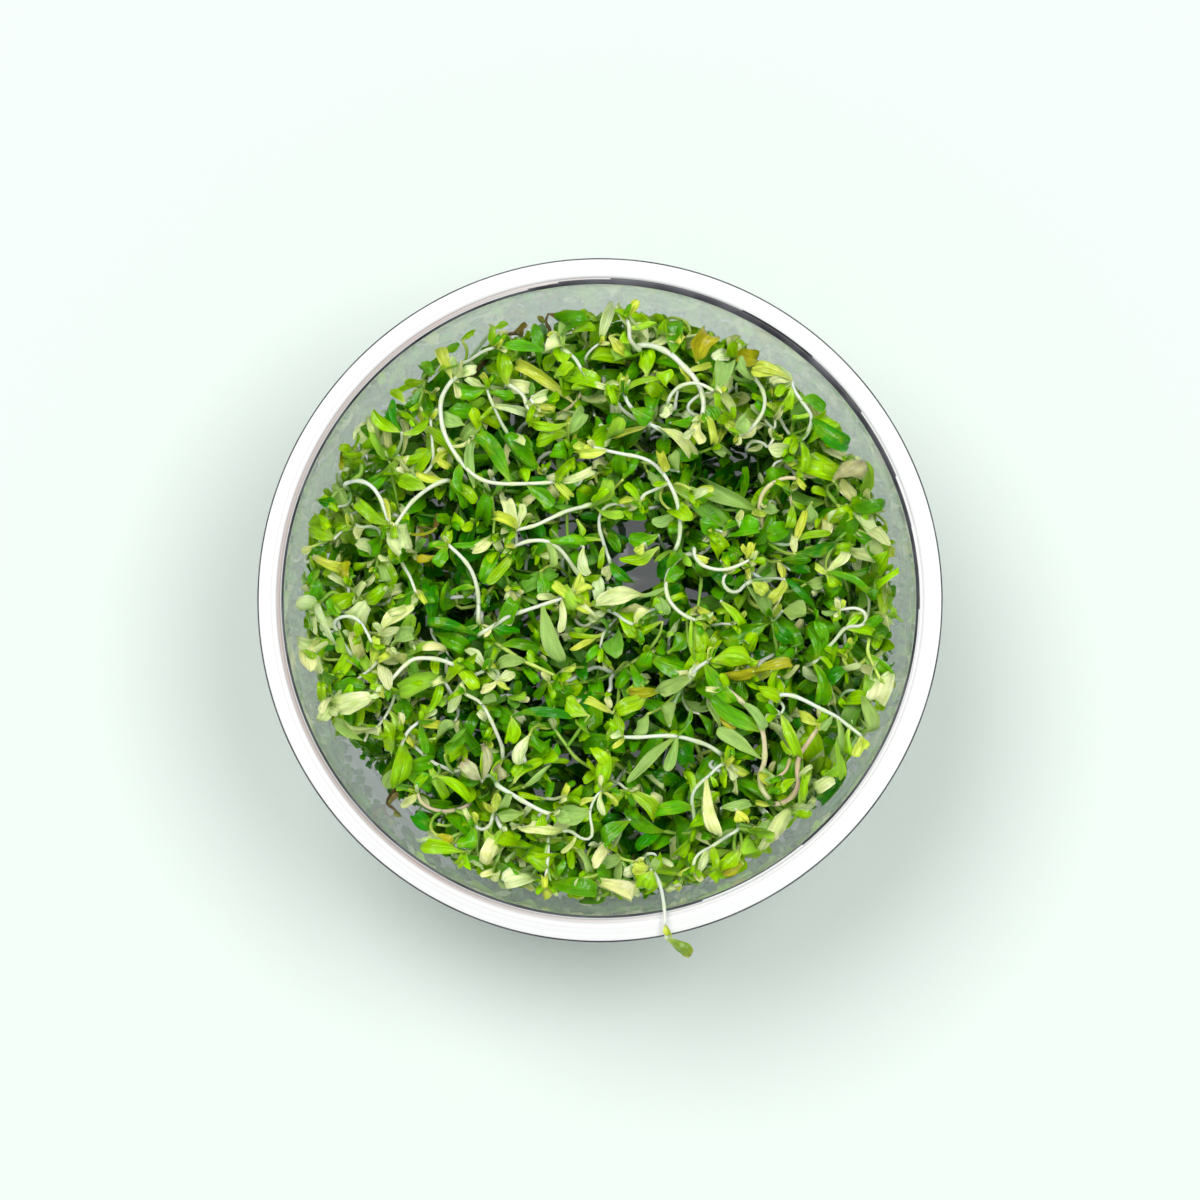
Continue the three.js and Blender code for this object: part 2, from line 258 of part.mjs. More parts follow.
  [10, 7, 8.4, 3.6, 3, "d"], [10.2, 2.4, 12, 4.4, 2, "m"], [0.2, 11.4, 6.4, 12.8, 2.2, "m"],
  [3.4, 13.6, 0.4, 17.8, 1.6, "m"], [3.8, 13.5, 5.4, 14.4, 1.3, "y"], [5.2, 14.6, 3.8, 17, 1.2, "l"],
  [3.4, 17.6, 4.8, 20.8, 2, "m"], [7, 18.8, 8, 16.6, 1.6, "p"], [9.6, 18.6, 8.9, 21.4, 1.5, "y"],
  [11.6, 18.8, 11.2, 22, 1.8, "p"], [16.8, 22.6, 18.8, 21.4, 1.8, "p"], [21.7, 22, 24, 23, 0.9, "w"],
  [22.2, 5.8, 22.4, 8.3, 1.3, "y"], [22, 5.7, 20.8, 7.8, 0.9, "y"], [18.2, 8, 21, 6.4, 0.8, "m"],
  [14.1, 6.9, 15.8, 5.8, 1, "y"], [17.8, 5.6, 19.6, 6.8, 1.8, "m"], [22.4, 2.2, 24.4, 0.8, 2.2, "y"],
  [22, 2.6, 21.4, 4.2, 1.4, "y"], [1.5, 5, 0.8, 3.2, 1.6, "w"], [1.6, 5.6, 5, 2.4, 1.6, "d"],
  [0.5, 8, 0, 4.4, 1, "l"], [8.8, 1.8, 4.4, 0.2, 1, "p"], [30.2, 19, 28, 23.4, 2.6, "p"],
  [25.6, 17.4, 26.8, 20.4, 1, "p"], [29.2, 16.9, 33.4, 18.6, 2.2, "w"], [34.4, 17.4, 38.6, 20.2, 3.2, "r"],
  [28.3, 13.8, 27.6, 10.8, 1.4, "l"], [28.1, 14.6, 30.8, 13.6, 1, "l"], [31.2, 14.2, 31.2, 10.9, 2, "p"],
  [28.8, 8.4, 30.3, 13, 1.2, "y"], [32, 9.6, 33.5, 12.6, 0.9, "b"], [29.4, 8, 34, 9.6, 1.1, "l"],
  [28.8, 6.6, 28.8, 9, 1.4, "w"], [24.2, 9.4, 27.4, 10.4, 2.8, "m"], [24, 13.4, 26.4, 13, 1.8, "p"],
  [33.3, 3.8, 36.4, 6.8, 1.5, "w"], [33.4, 3.6, 31.8, 4.8, 1, "y"], [29, 7.2, 35, 8.6, 1.8, "d"],
  [26.6, 5.6, 31, 5.4, 1.8, "m"], [26.4, 4.6, 27, 2.6, 1.2, "y"], [27.2, 2.8, 25.2, 0, 1.8, "y"],
  [31.8, -1.8, 27.6, 3, 1.8, "d"], [28, 4.2, 31, 3.8, 1.4, "d"], [30.4, 2.2, 32.6, 2.6, 1.8, "p"],
  [33, 3.2, 35.2, 2, 1.8, "l"], [34.8, 14.2, 37.2, 14, 1.8, "y"], [40.8, 8.2, 43.4, 6.6, 2, "y"],
  [36.8, 10.2, 40, 8.2, 1.6, "m"], [37.4, 12.4, 40.6, 13.2, 1, "m"], [39.6, 8.4, 40.8, 5.2, 2.4, "m"],
  [35.6, 3.6, 39.6, 4.6, 1.1, "m"], [34.4, 3.2, 39.6, 1, 1.2, "m"], [26.2, 6.4, 23.4, 3, 2.8, "p"],
  // Lower right
  [6.4, 0.6, -0.6, -0.7, 2.6, "w"], [4.8, -3.8, 7, -1.7, 1.6, "w"], [9.2, -3.4, 5.6, -5.2, 1.3, "l"],
  [8.4, 0.2, 9.6, -2.4, 2, "p"], [14.1, -3.2, 15, -8, 2.4, "l"], [13.2, -3, 14, -9, 0.7, "l"],
  [17.8, -0.4, 20.6, -3.6, 1.4, "l"], [24.8, -3.8, 18, -6, 3, "m"], [16, -9.3, 22.2, -9.2, 3, "l"],
  [15.4, -10, 19.6, -15.2, 2.2, "m"], [13, -11.8, 8.6, -13.8, 2.6, "p"], [9, -13.6, 4.2, -13.8, 2, "b"],
  [6.8, -14.2, 2.4, -16.4, 2.4, "l"], [3, -16.4, 1.4, -21, 2.2, "l"], [10.2, -18.8, 9.2, -15.8, 2.6, "p"],
  [7, -17, 5, -19.6, 2.2, "p"], [11.2, -20.5, 9.8, -25.4, 1.7, "p"], [10.8, -20.4, 4, -27.2, 1.6, "p"],
  [11.4, -20, 13.4, -16.2, 0.7, "m"], [14.6, -17, 16.4, -20, 1.3, "m"], [20.8, -14.9, 24.4, -19, 1.4, "p"],
  [23.6, -19.4, 16.4, -14.6, 2.4, "m"], [23.9, -23.6, 17.4, -19, 2.2, "p"], [17.4, -16, 19.8, -19.2, 1.6, "b"],
  [12.2, -14.8, 16.6, -16, 1.4, "p"], [25.4, -10.2, 18.6, -11.6, 1.8, "b"], [22.6, -10.8, 27.7, -9.8, 1.6, "b"],
  [2.2, -11, 3.6, -13.8, 1.8, "w"], [4.6, -9.8, 6.2, -13.2, 1.6, "m"], [6.9, -8.2, 12.6, -10.4, 3, "m"],
  [10, -8, 12.6, -5.2, 2.4, "m"], [0.4, -5, -4.4, -7.6, 0.9, "y"], [0.2, -5.2, -4.6, -5, 0.8, "l"],
  [26.9, -1.8, 30.3, -2.4, 3, "p"], [25.4, -2.7, 22.4, 1.6, 2.8, "p"], [25.5, -3.2, 28.2, -6.4, 2.2, "d"],
  [26.2, -7.8, 28, -4.4, 1.2, "l"], [35.2, -1.6, 33.8, -2.6, 1, "l"], [35.2, -1.8, 34.8, -3.4, 1.2, "l"],
  [35.3, -1.5, 34.8, 0.1, 0.9, "w"], [35.4, -1.4, 36, -0.2, 1, "y"], [36, -4.5, 39.8, -5.4, 1.5, "l"],
  [36.2, -4, 38.4, -2.4, 1, "l"], [39.8, -5.2, 42.4, -4.8, 2.2, "m"], [31.4, -9.6, 32.6, -15.6, 2.6, "m"],
  [32.2, -8.6, 33.9, -10.3, 1, "l"], [31.8, -9, 30.6, -4.2, 1.6, "m"], [33.4, -7.4, 31.8, -3.4, 1.8, "m"],
  [35.8, -8.8, 36, -8, 0.9, "y"], [39.6, -8.2, 42.4, -10.8, 2, "m"], [39.4, -9.2, 38.8, -15, 2, "l"],
  [41, -11.4, 43.8, -11.6, 1.2, "w"], [42, -13.4, 43.4, -12, 1.6, "w"], [41.2, -12, 41, -15.6, 1.6, "l"],
  [38.4, -14.4, 40, -19.4, 2.2, "p"], [41.2, -15, 42.4, -17, 2, "l"], [37, -15.6, 35.2, -14.8, 1, "l"],
  [35, -17.6, 34.8, -24.2, 1.8, "p"], [34.2, -17.1, 32.4, -19.2, 1.4, "p"], [32.4, -18.6, 29.4, -17, 1.6, "y"],
  [31.8, -19.5, 33, -17.8, 1.4, "y"], [26.6, -17.4, 28.6, -22.6, 1.7, "l"], [29.2, -23, 26.6, -21, 0.9, "l"],
  [38.4, -20.2, 39.4, -22, 1.2, "y"], [38.2, -20.4, 37.2, -23.2, 1.6, "y"], [36.6, -18.9, 36.8, -23, 1.2, "l"],
  [28, -10, 27, -13.2, 1.2, "m"], [28.6, -8.6, 30.2, -9.9, 1.8, "m"], [36, -10.8, 33.6, -11.8, 2.2, "d"],
  [29, -26.6, 26.4, -28.4, 1.5, "l"], [24.6, -29, 26.4, -28, 1.5, "m"], [29.2, -26.2, 31.2, -24.8, 0.8, "w"],
  [30.9, -25.2, 29.7, -29.8, 2, "l"], [23.9, -24.8, 25.5, -27.2, 1.6, "p"], [25.4, -30, 22.8, -29.8, 1, "y"],
  [36.2, -23.4, 32.6, -29.2, 2.6, "d"], [24.6, -31.5, 26.6, -33.8, 1.6, "m"], [22.8, -33.6, 25.4, -34, 2.2, "p"],
  // Bottom
  [1.2, -21.8, 0, -26.8, 2.2, "l"], [3.4, -28, 8, -31.9, 2.2, "l"], [4.2, -28.6, 1.2, -29.6, 1.6, "l"],
  [0.5, -28.5, 0.5, -31.9, 1.2, "w"], [0.4, -28.6, 2.3, -30.3, 0.9, "y"], [-0.6, -29.2, -2.9, -30.2, 0.9, "y"],
  [9.2, -33.9, 4, -30.6, 2.2, "m"], [4.4, -32.6, 0.8, -35.6, 2.4, "m"], [9.4, -34.6, 5.4, -36.8, 2, "d"],
  [13, -30.8, 8.9, -31.4, 2.2, "m"], [13.4, -28.8, 12.2, -25.4, 1.6, "l"], [16.2, -36.8, 14.4, -40.4, 1.5, "w"],
  [16.6, -36.9, 16.6, -39.6, 1.2, "l"], [16.8, -39.8, 17.6, -41.6, 2.2, "l"], [20.7, -36.8, 17.7, -39.6, 2.6, "l"],
  [21, -39, 18, -40.4, 1.8, "b"], [10.6, -41.6, 11.7, -43, 1, "y"], [10.4, -42, 10.6, -44, 1.6, "w"],
  [7.4, -39.6, 5.2, -38.9, 2.6, "y"], [7.3, -39.9, 6.6, -42.3, 2.6, "l"], [7.6, -39.6, 8.4, -38.4, 1.2, "p"],
  [2.7, -38.2, 0, -38.8, 2, "p"], [2.9, -38.5, 2.2, -41.6, 1.6, "p"], [2.4, -37.2, 1.2, -36.2, 0.9, "l"],
  [4.2, -39.2, 5.5, -42.2, 1.4, "p"], [15.8, -26.6, 17.3, -34.8, 2, "w"], [18.3, -24.3, 21.8, -25.8, 1.4, "y"],
  [18.2, -24.5, 20, -26.6, 1.5, "w"], [18.4, -24.2, 19.6, -23.3, 1, "w"], [16.2, -26.3, 17, -27.6, 0.9, "l"],
  [19, -26.8, 24.4, -30, 1.8, "m"], [17.8, -30.8, 22, -30, 1.8, "p"], [20, -31, 21.4, -32.8, 2, "y"],
  [20.4, -34, 17.8, -36.6, 2, "p"], [-7.3, -31.4, -4, -32, 2.4, "p"], [-1.8, -31.4, -5, -31.2, 3, "p"],
  [-5.6, -34.1, -11.4, -33.5, 2.4, "w"], [-5.5, -34, -3.7, -32.4, 1.3, "y"], [-12.6, -27, -8.4, -23.9, 1.4, "l"],
  [-11.2, -27.8, -7.2, -24.6, 1, "p"], [-8, -25.2, -4.5, -24, 0.9, "l"], [-8.2, -29.4, -7.5, -27.2, 1.2, "m"],
  [-8, -29.5, -12, -28.8, 0.9, "l"], [-11.3, -31.6, -15, -31.8, 1.8, "p"], [-13.2, -28.6, -14.2, -30.6, 1.6, "p"],
  [-15.8, -31.6, -15.2, -28.6, 1.3, "y"], [-18.9, -29.6, -17.6, -31, 1.4, "p"],
  [-18.6, -33.2, -20.8, -36.6, 2.6, "m"], [-16.8, -34, -14.9, -37, 2, "l"], [-17.9, -37.8, -16, -36.4, 1, "p"],
  [-22.2, -36.8, -16.3, -38.2, 1.3, "m"], [-24, -34.8, -21.8, -36, 1.4, "b"], [-10, -41, -14.4, -39, 2.8, "m"],
  [-8, -39.8, -10.8, -38.2, 1.8, "l"], [-10, -38, -7.9, -36.6, 1.2, "p"], [-8, -41, -8, -44.6, 1.8, "y"],
  [-4.2, -35.2, -5.7, -37.4, 0.8, "w"], [-6.3, -41.3, -0.8, -43.4, 2.2, "m"], [-6.2, -41.6, -5.4, -38.2, 1.6, "m"],
  [-2.2, -41, -3.2, -42.2, 1.6, "w"], [-3.4, -36.8, -1.8, -39.8, 1.3, "p"], [-2, -38.2, -0.4, -38.8, 2.2, "m"],
  [9.7, -50, 13.2, -52.6, 2, "l"], [9.5, -48, 10.3, -49.4, 1.1, "y"],
];

// The height of a leaf whose stem is hidden in the mat, by its tone
const MAT_HEIGHT = { d: 33, m: 35, l: 38, y: 40, w: 41, p: 37, b: 38, r: 40 };

const TONES = {
  d: 0x2f7a12, m: 0x4e9a1c, l: 0x84b822, y: 0xbccf4a, w: 0xcfe0a0, p: 0x9cbf78, b: 0xa7a83e, r: 0xc3b59a,
};

const CUP_FINISH = { colour: 0xf2f5f4, roughness: 0.12, opacity: 0.35 };
const GEL_FINISH = { colour: 0xc9c7cc, roughness: 0.25, opacity: 0.8 };
const LEAF_ROUGHNESS = 0.5;

const wasm = await Module();
wasm.setup();

// A three.js geometry as a solid that can be joined, cut and measured
function solidOf(geometry) {
  const plain = geometry.clone();
  plain.deleteAttribute("normal");
  plain.deleteAttribute("uv");
  const merged = mergeVertices(plain, SAME_CORNER);
  return new wasm.Manifold(new wasm.Mesh({
    numProp: 3,
    vertProperties: new Float32Array(merged.attributes.position.array),
    triVerts: new Uint32Array(merged.index.array),
  }));
}

// A solid back as a named three.js mesh with a material of its own
function meshOf(solid, name, { colour, roughness, opacity = 1 }) {
  const shape = solid.getMesh();
  const geometry = new THREE.BufferGeometry();
  geometry.setAttribute("position", new THREE.BufferAttribute(Float32Array.from(shape.vertProperties), 3));
  geometry.setIndex(new THREE.BufferAttribute(Uint32Array.from(shape.triVerts), 1));
  geometry.computeVertexNormals();
  const material = new THREE.MeshStandardMaterial({ color: colour, roughness, metalness: 0 });
  material.flatShading = true;
  material.transparent = opacity < 1;
  material.opacity = opacity;
  const mesh = new THREE.Mesh(geometry, material);
  mesh.name = name;
  return mesh;
}

// The inside radius of the tapered wall at a height
function innerRadius(z) {
  return FLOOR_RADIUS + (MOUTH_RADIUS - FLOOR_RADIUS) * (z - BASE) / (CUP_HEIGHT - BASE);
}

// A profile turned about the cup's axis. It starts and ends on the axis.
function turned(profile) {
  const points = profile.map(([r, z]) => new THREE.Vector2(r, z));
  return solidOf(new THREE.LatheGeometry(points, ROUND_SIDES).rotateX(Math.PI / 2));
}

function cupSolid() {
  const rimUnderside = CUP_HEIGHT - WALL;
  const outer = CUP_DIAMETER / 2;
  return turned([
    [0, 0],
    [FLOOR_RADIUS + WALL - FOOT_CHAMFER, 0],
    [FLOOR_RADIUS + WALL, FOOT_CHAMFER],
    [innerRadius(rimUnderside) + WALL, rimUnderside],
    [outer - SKIRT_WALL, rimUnderside],
    [outer - SKIRT_WALL, CUP_HEIGHT - SKIRT_DEPTH],
    [outer, CUP_HEIGHT - SKIRT_DEPTH],
    [outer, CUP_HEIGHT - EDGE_ROUND],
    [outer - EDGE_ROUND, CUP_HEIGHT],
    [GROOVE_RADIUS, CUP_HEIGHT],
    [GROOVE_RADIUS, CUP_HEIGHT - GROOVE_DEPTH],
    [LIP_RADIUS, CUP_HEIGHT - GROOVE_DEPTH],
    [LIP_RADIUS, CUP_HEIGHT],
    [MOUTH_RADIUS, CUP_HEIGHT - GAP],
    [innerRadius(BASE + FOOT_CHAMFER), BASE + FOOT_CHAMFER],
    [innerRadius(BASE) - FOOT_CHAMFER, BASE],
    [0, BASE],
  ]);
}

function gelSolid() {
  const low = BASE + GAP;
  return turned([
    [0, low],
    [innerRadius(low) - FOOT_CHAMFER - GAP, low],
    [innerRadius(low + FOOT_CHAMFER) - GAP, low + FOOT_CHAMFER],
    [innerRadius(GEL_TOP) - GAP, GEL_TOP],
    [0, GEL_TOP],
  ]);
}

// A number between 0 and 1 that is always the same for the same seed
const CHANCE_STEP = 12.9898;
const CHANCE_SIZE = 43758.5453;

function chance(seed) {
  const wave = Math.sin(seed * CHANCE_STEP) * CHANCE_SIZE;
  return wave - Math.floor(wave);
}

// A place drawn at the rim's height, moved to where it is at its own height, and kept clear of the wall
function placed(x, y, z) {
  const depth = CUP_HEIGHT - z;
  const spread = 1 + depth / VIEW_HEIGHT;
  const here = new THREE.Vector3(x * spread, (y + depth * VIEW_LEAN) * spread, z);
  const widest = innerRadius(z) - WALL_GAP;
  const radius = Math.hypot(here.x, here.y);
  if (z < CUP_HEIGHT - 1 && radius > widest) {
    here.x *= widest / radius;
    here.y *= widest / radius;
  }
  return here;
}

// A smooth line through the given points. A tube follows it in one straight span for each point.
function curveOf(points) {
  return new THREE.CatmullRomCurve3(points, false, "catmullrom", STEM_CURVE);
}

function spansOf(points) {
  return curveOf(points).getSpacedPoints(points.length);
}

// Points along that line, at most SAMPLE_STEP apart
function sampled(points) {
  const corners = spansOf(points);
  const samples = [];
  for (let i = 0; i < corners.length - 1; i += 1) {
    const count = Math.ceil(corners[i].distanceTo(corners[i + 1]) / SAMPLE_STEP);
    for (let k = 0; k < count; k += 1) {
      samples.push(new THREE.Vector3().lerpVectors(corners[i], corners[i + 1], k / count));
    }
  }
  samples.push(corners[corners.length - 1]);
  return samples;
}

// The heights of a stem's visible route: it climbs out of the mat to its arch
function heightsOf(level, count, lift) {
  if (Array.isArray(level)) return level;
  const heights = [];
  for (let i = 0; i < count; i += 1) {
    const left = 1 - i / (count - 1);
    heights.push(level + lift - BURIED_DIP * left * left);
  }
  return heights;
}

const grown = [];
const feet = {};

// Whether a line of points keeps clear of every stem of the other clumps
function clearOfStems(samples, radius, clump) {
  for (const other of grown) {
    if (other.clump === clump) continue;
    const least = radius + other.radius + STEM_GAP;
    for (const a of samples) {
      for (const b of other.samples) {
        if (a.distanceToSquared(b) < least * least) return false;
      }
    }
  }
  return true;
}

// The first height at which a stem's visible part passes clear of those already there
function visiblePart(clump, level, radius, route) {
  for (const lift of LIFTS) {
    const heights = heightsOf(level, route.length, lift);
    const points = route.map(([x, y], i) => placed(x, y, heights[i]));
    if (clearOfStems(sampled(points), radius, clump)) return points;
  }
  throw new Error(clump + " has no clear height");
}

// The whole stem, with the first free spot for its foot. A second stem of a clump shares the foot.
function withBuriedPart(clump, radius, points) {
  const top = points[0];
  const second = feet[clump];
  for (let k = 0; k < SPIRAL_SPOTS; k += 1) {
    const turn = k * SPIRAL_TURN;
    const away = SPIRAL_STEP * Math.sqrt(k);
    const x = top.x * FOOT_PULL + away * Math.cos(turn);
    const y = top.y * FOOT_PULL + away * Math.sin(turn);
    const spread = Math.min(1, (innerRadius(GEL_TOP) - FOOT_FROM_WALL) / Math.hypot(x, y));
    const waistHeight = GEL_TOP + (top.z - GEL_TOP) * WAIST_SHARE;
    const foot = second || new THREE.Vector3(x * spread, y * spread, GEL_TOP + FOOT_GAP);
    const waist = new THREE.Vector3(x * spread, y * spread, waistHeight);
    const whole = [foot, waist, ...points];
    if (!clearOfStems(sampled(whole), radius, clump)) continue;
    feet[clump] = foot;
    return whole;
  }
  throw new Error(clump + " has no free foot");
}

function growStems() {
  STEMS.forEach(([clump, level, radius, route]) => {
    const visible = visiblePart(clump, level, radius, route);
    const points = withBuriedPart(clump, radius, visible);
    grown.push({ clump, radius, points, samples: sampled(points) });
  });
}

// The place on the stems that a leaf grows from, or nothing when its stem is hidden
function nearestOnStems(x, y) {
  let best = null;
  let least = LEAF_REACH;
  for (const stem of grown) {
    for (const place of stem.samples.slice(0, -1)) {
      if (place.z < stem.points[2].z - LEAF_BELOW_MAT) continue;
      const there = placed(x, y, place.z);
      const distance = Math.hypot(there.x - place.x, there.y - place.y);
      if (distance < least) {
        least = distance;
        best = { clump: stem.clump, place };
      }
    }
  }
  return best;
}

// A side shoot up to a leaf whose own stem is hidden: it leaves the nearest stem lower down
function sideShoot(x, y, z) {
  const end = placed(x, y, z);
  let best = null;
  let least = Infinity;
  for (const stem of grown) {
    if (stem.isShoot) continue;
    for (const place of stem.samples) {
      if (place.z > z - SHOOT_DROPS[0] || place.z < z - SHOOT_DROPS[1]) continue;
      const distance = Math.hypot(end.x - place.x, end.y - place.y);
      if (distance < least) {
        least = distance;
        best = { clump: stem.clump, start: place };
      }
    }
  }
  const bend = new THREE.Vector3().lerpVectors(best.start, end, SHOOT_SWING);
  bend.z = best.start.z + (end.z - best.start.z) * SHOOT_CLIMB;
  const points = [best.start.clone(), bend, end];
  return { clump: best.clump, radius: SHOOT_RADIUS, points, samples: sampled(points), isShoot: true };
}

// A stem as a tube with a few flat sides
function tubeSolid(points, radius) {
  const outline = new THREE.Shape();
  for (let i = 0; i < STEM_SIDES; i += 1) {
    const turn = 2 * Math.PI * i / STEM_SIDES;
    if (i === 0) outline.moveTo(radius * Math.cos(turn), radius * Math.sin(turn));
    else outline.lineTo(radius * Math.cos(turn), radius * Math.sin(turn));
  }
  const settings = { steps: points.length, bevelEnabled: false, extrudePath: curveOf(points) };
  return solidOf(new THREE.ExtrudeGeometry(outline, settings));
}

// A leaf as a body with four corners round its edge, one at its top and one underneath. It runs
// from the middle of its stem to its tip. Each row: share of the length, of the half width and
// of the half thickness. room widens it on every side, to test for space around it.
const LEAF_CORNERS = [
  [0, 0, 0], [0.54, 1, 0], [1, 0, 0], [0.54, -1, 0], [0.54, 0, 1], [0.54, 0, -1],
];
const LEAF_FACES = [
  [0, 1, 4], [1, 2, 4], [2, 3, 4], [3, 0, 4], [1, 0, 5], [2, 1, 5], [3, 2, 5], [0, 3, 5],
];

function leafSolid(base, tip, width, room = 0) {
  const along = new THREE.Vector3().subVectors(tip, base);
  const length = along.length() + room;
  along.normalize();
  const side = new THREE.Vector3().crossVectors(along, new THREE.Vector3(0, 0, 1)).normalize();
  const over = new THREE.Vector3().crossVectors(side, along);
  const corners = LEAF_CORNERS.map(([forward, across, up]) => {
    const arch = length * LEAF_ARCH * Math.sin(Math.PI * forward);
    return base.clone()
      .addScaledVector(along, length * forward)
      .addScaledVector(side, across * (width / 2 + room))
      .addScaledVector(over, up * (LEAF_THICKNESS / 2 + room) + arch);
  });
  const geometry = new THREE.BufferGeometry().setFromPoints(corners);
  geometry.setIndex(LEAF_FACES.flat());
  return solidOf(geometry);
}

const clumps = new Map();

// Adds a piece to its clump, keeping its bounds for quick tests
function addPiece(clump, solid, tone) {
  if (!clumps.has(clump)) clumps.set(clump, { pieces: [], tones: {} });
  const entry = clumps.get(clump);
  entry.pieces.push({ solid, box: solid.boundingBox() });
  if (tone) entry.tones[tone] = (entry.tones[tone] || 0) + 1;
}

function boxesMeet(a, b) {
  return [0, 1, 2].every((i) => a.min[i] < b.max[i] && b.min[i] < a.max[i]);
}

// Whether a body that stands for a piece and its gap meets anything of another clump
function hasRoom(roomy, clump, holders) {
  const box = roomy.boundingBox();
  for (const holder of holders) {
    if (roomy.intersect(holder).volume() > TOUCHING) return false;
  }
  for (const [name, entry] of clumps) {
    if (name === clump) continue;
    for (const piece of entry.pieces) {
      if (boxesMeet(box, piece.box) && roomy.intersect(piece.solid).volume() > TOUCHING) return false;
    }
  }
  return true;
}

// A leaf at the first angle that has room, or shortened, or left off where it has none.
// It is joined to the stem at its base.
function addLeaf(row, index, holders) {
  const [x0, y0, x1, y1, width, tone] = row;
  const size = Math.hypot(x1 - x0, y1 - y0) * width;
  if (size < SMALLEST_LEAF) return;
  let found = nearestOnStems(x0, y0);
  let shoot = null;
  if (!found) {
    if (size < SMALLEST_ON_SHOOT) return;
    shoot = sideShoot(x0, y0, MAT_HEIGHT[tone] + MAT_DEPTH * chance(index));
    if (!clearOfStems(shoot.samples, shoot.radius, shoot.clump)) return;
    const stalk = tubeSolid(shoot.points, shoot.radius + GAP);
    if (!hasRoom(stalk, shoot.clump, holders)) return;
    found = { clump: shoot.clump, place: shoot.samples[shoot.samples.length - 2] };
  }
  const base = found.place;
  const rise = LEAF_RISE * (chance(index + 0.5) - LEAF_DROOP);
  for (const share of LENGTH_SHARES) {
    for (const turn of RISES) {
      const far = placed(x1, y1, base.z + rise + turn);
      const tip = new THREE.Vector3().lerpVectors(base, far, share);
      if (!hasRoom(leafSolid(base, tip, width, GAP), found.clump, holders)) continue;
      if (shoot) {
        grown.push(shoot);
        addPiece(shoot.clump, tubeSolid(shoot.points, shoot.radius));
      }
      addPiece(found.clump, leafSolid(base, tip, width), tone);
      return;
    }
  }
}

function mainTone(tones) {
  const names = Object.keys(tones);
  if (names.length === 0) return "m";
  return names.reduce((a, b) => (tones[b] > tones[a] ? b : a));
}

function build() {
  const group = new THREE.Group();
  group.name = "rotala_cup";
  const cup = cupSolid();
  const gel = gelSolid();
  group.add(meshOf(cup, "cup", CUP_FINISH));
  group.add(meshOf(gel, "gel", GEL_FINISH));
  growStems();
  grown.forEach((stem) => addPiece(stem.clump, tubeSolid(stem.points, stem.radius)));
  LEAVES.forEach((row, index) => addLeaf(row, index, [cup, gel]));
  for (const [name, entry] of clumps) {
    const joined = wasm.Manifold.union(entry.pieces.map((piece) => piece.solid));
    const finish = { colour: TONES[mainTone(entry.tones)], roughness: LEAF_ROUGHNESS };
    group.add(meshOf(joined, "plantlet_" + name, finish));
  }
  return group;
}

export default build();
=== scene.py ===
# %% [markdown]
# # A cup of young green Rotala macrandra
# Rotala macrandra is a stem plant for aquariums. This one is the green form, grown from tiny
# cuttings on gel in a clear cup. The cup, the gel and each plantlet are pieces of their own.
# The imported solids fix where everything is. This lesson grows the fine plants around the same
# stems: every leaf, side shoot and root, and then gives each piece a finish of its own.

import math

import bpy
import numpy as np
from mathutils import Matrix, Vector


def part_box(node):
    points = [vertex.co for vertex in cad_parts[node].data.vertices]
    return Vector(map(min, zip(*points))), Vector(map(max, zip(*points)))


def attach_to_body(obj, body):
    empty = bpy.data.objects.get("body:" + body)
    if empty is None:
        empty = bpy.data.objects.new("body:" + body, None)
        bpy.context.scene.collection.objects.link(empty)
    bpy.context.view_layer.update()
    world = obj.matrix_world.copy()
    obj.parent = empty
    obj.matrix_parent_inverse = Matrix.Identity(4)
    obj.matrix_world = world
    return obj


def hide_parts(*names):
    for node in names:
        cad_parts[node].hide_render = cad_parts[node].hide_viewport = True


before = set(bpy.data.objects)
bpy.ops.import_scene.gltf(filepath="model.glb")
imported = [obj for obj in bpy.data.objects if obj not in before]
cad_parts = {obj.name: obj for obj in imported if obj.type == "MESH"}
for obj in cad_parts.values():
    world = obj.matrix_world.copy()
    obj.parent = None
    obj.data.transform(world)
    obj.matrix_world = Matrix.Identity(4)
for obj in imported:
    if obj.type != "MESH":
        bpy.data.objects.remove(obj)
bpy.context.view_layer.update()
MM = 0.001

# %% [markdown]
# ## Sizes
# The cup is the ruler of the scene, so its sizes come first. They are the real ones in
# millimetres, the same as in the solids, and they turn to metres only where a mesh is made.

# %% The cup's sizes in millimetres
CUP_HEIGHT = 50
WALL = 0.9
BASE = 1.2
MOUTH_RADIUS = 46.6
FLOOR_RADIUS = 42
GEL_TOP = 10
GAP = 0.3


def inner_radius(z):
    """The inside radius of the tapered wall at a height."""
    return FLOOR_RADIUS + (MOUTH_RADIUS - FLOOR_RADIUS) * (z - BASE) / (CUP_HEIGHT - BASE)


# %% [markdown]
# ## Camera, light and floor
# The cup is seen from almost straight above, leaning a little towards its front edge. A long
# lens from 700 mm away keeps the rim round. Two large soft lamps and a pale surround give the
# even light of a product photograph, with hardly any shadow.

# %% Camera
VIEW_HEIGHT = 700
VIEW_LEAN = 0.0584
PHOTO_WIDTH_MM = 176.7
VIEW_CENTRE_Y = -0.2
SENSOR = 36

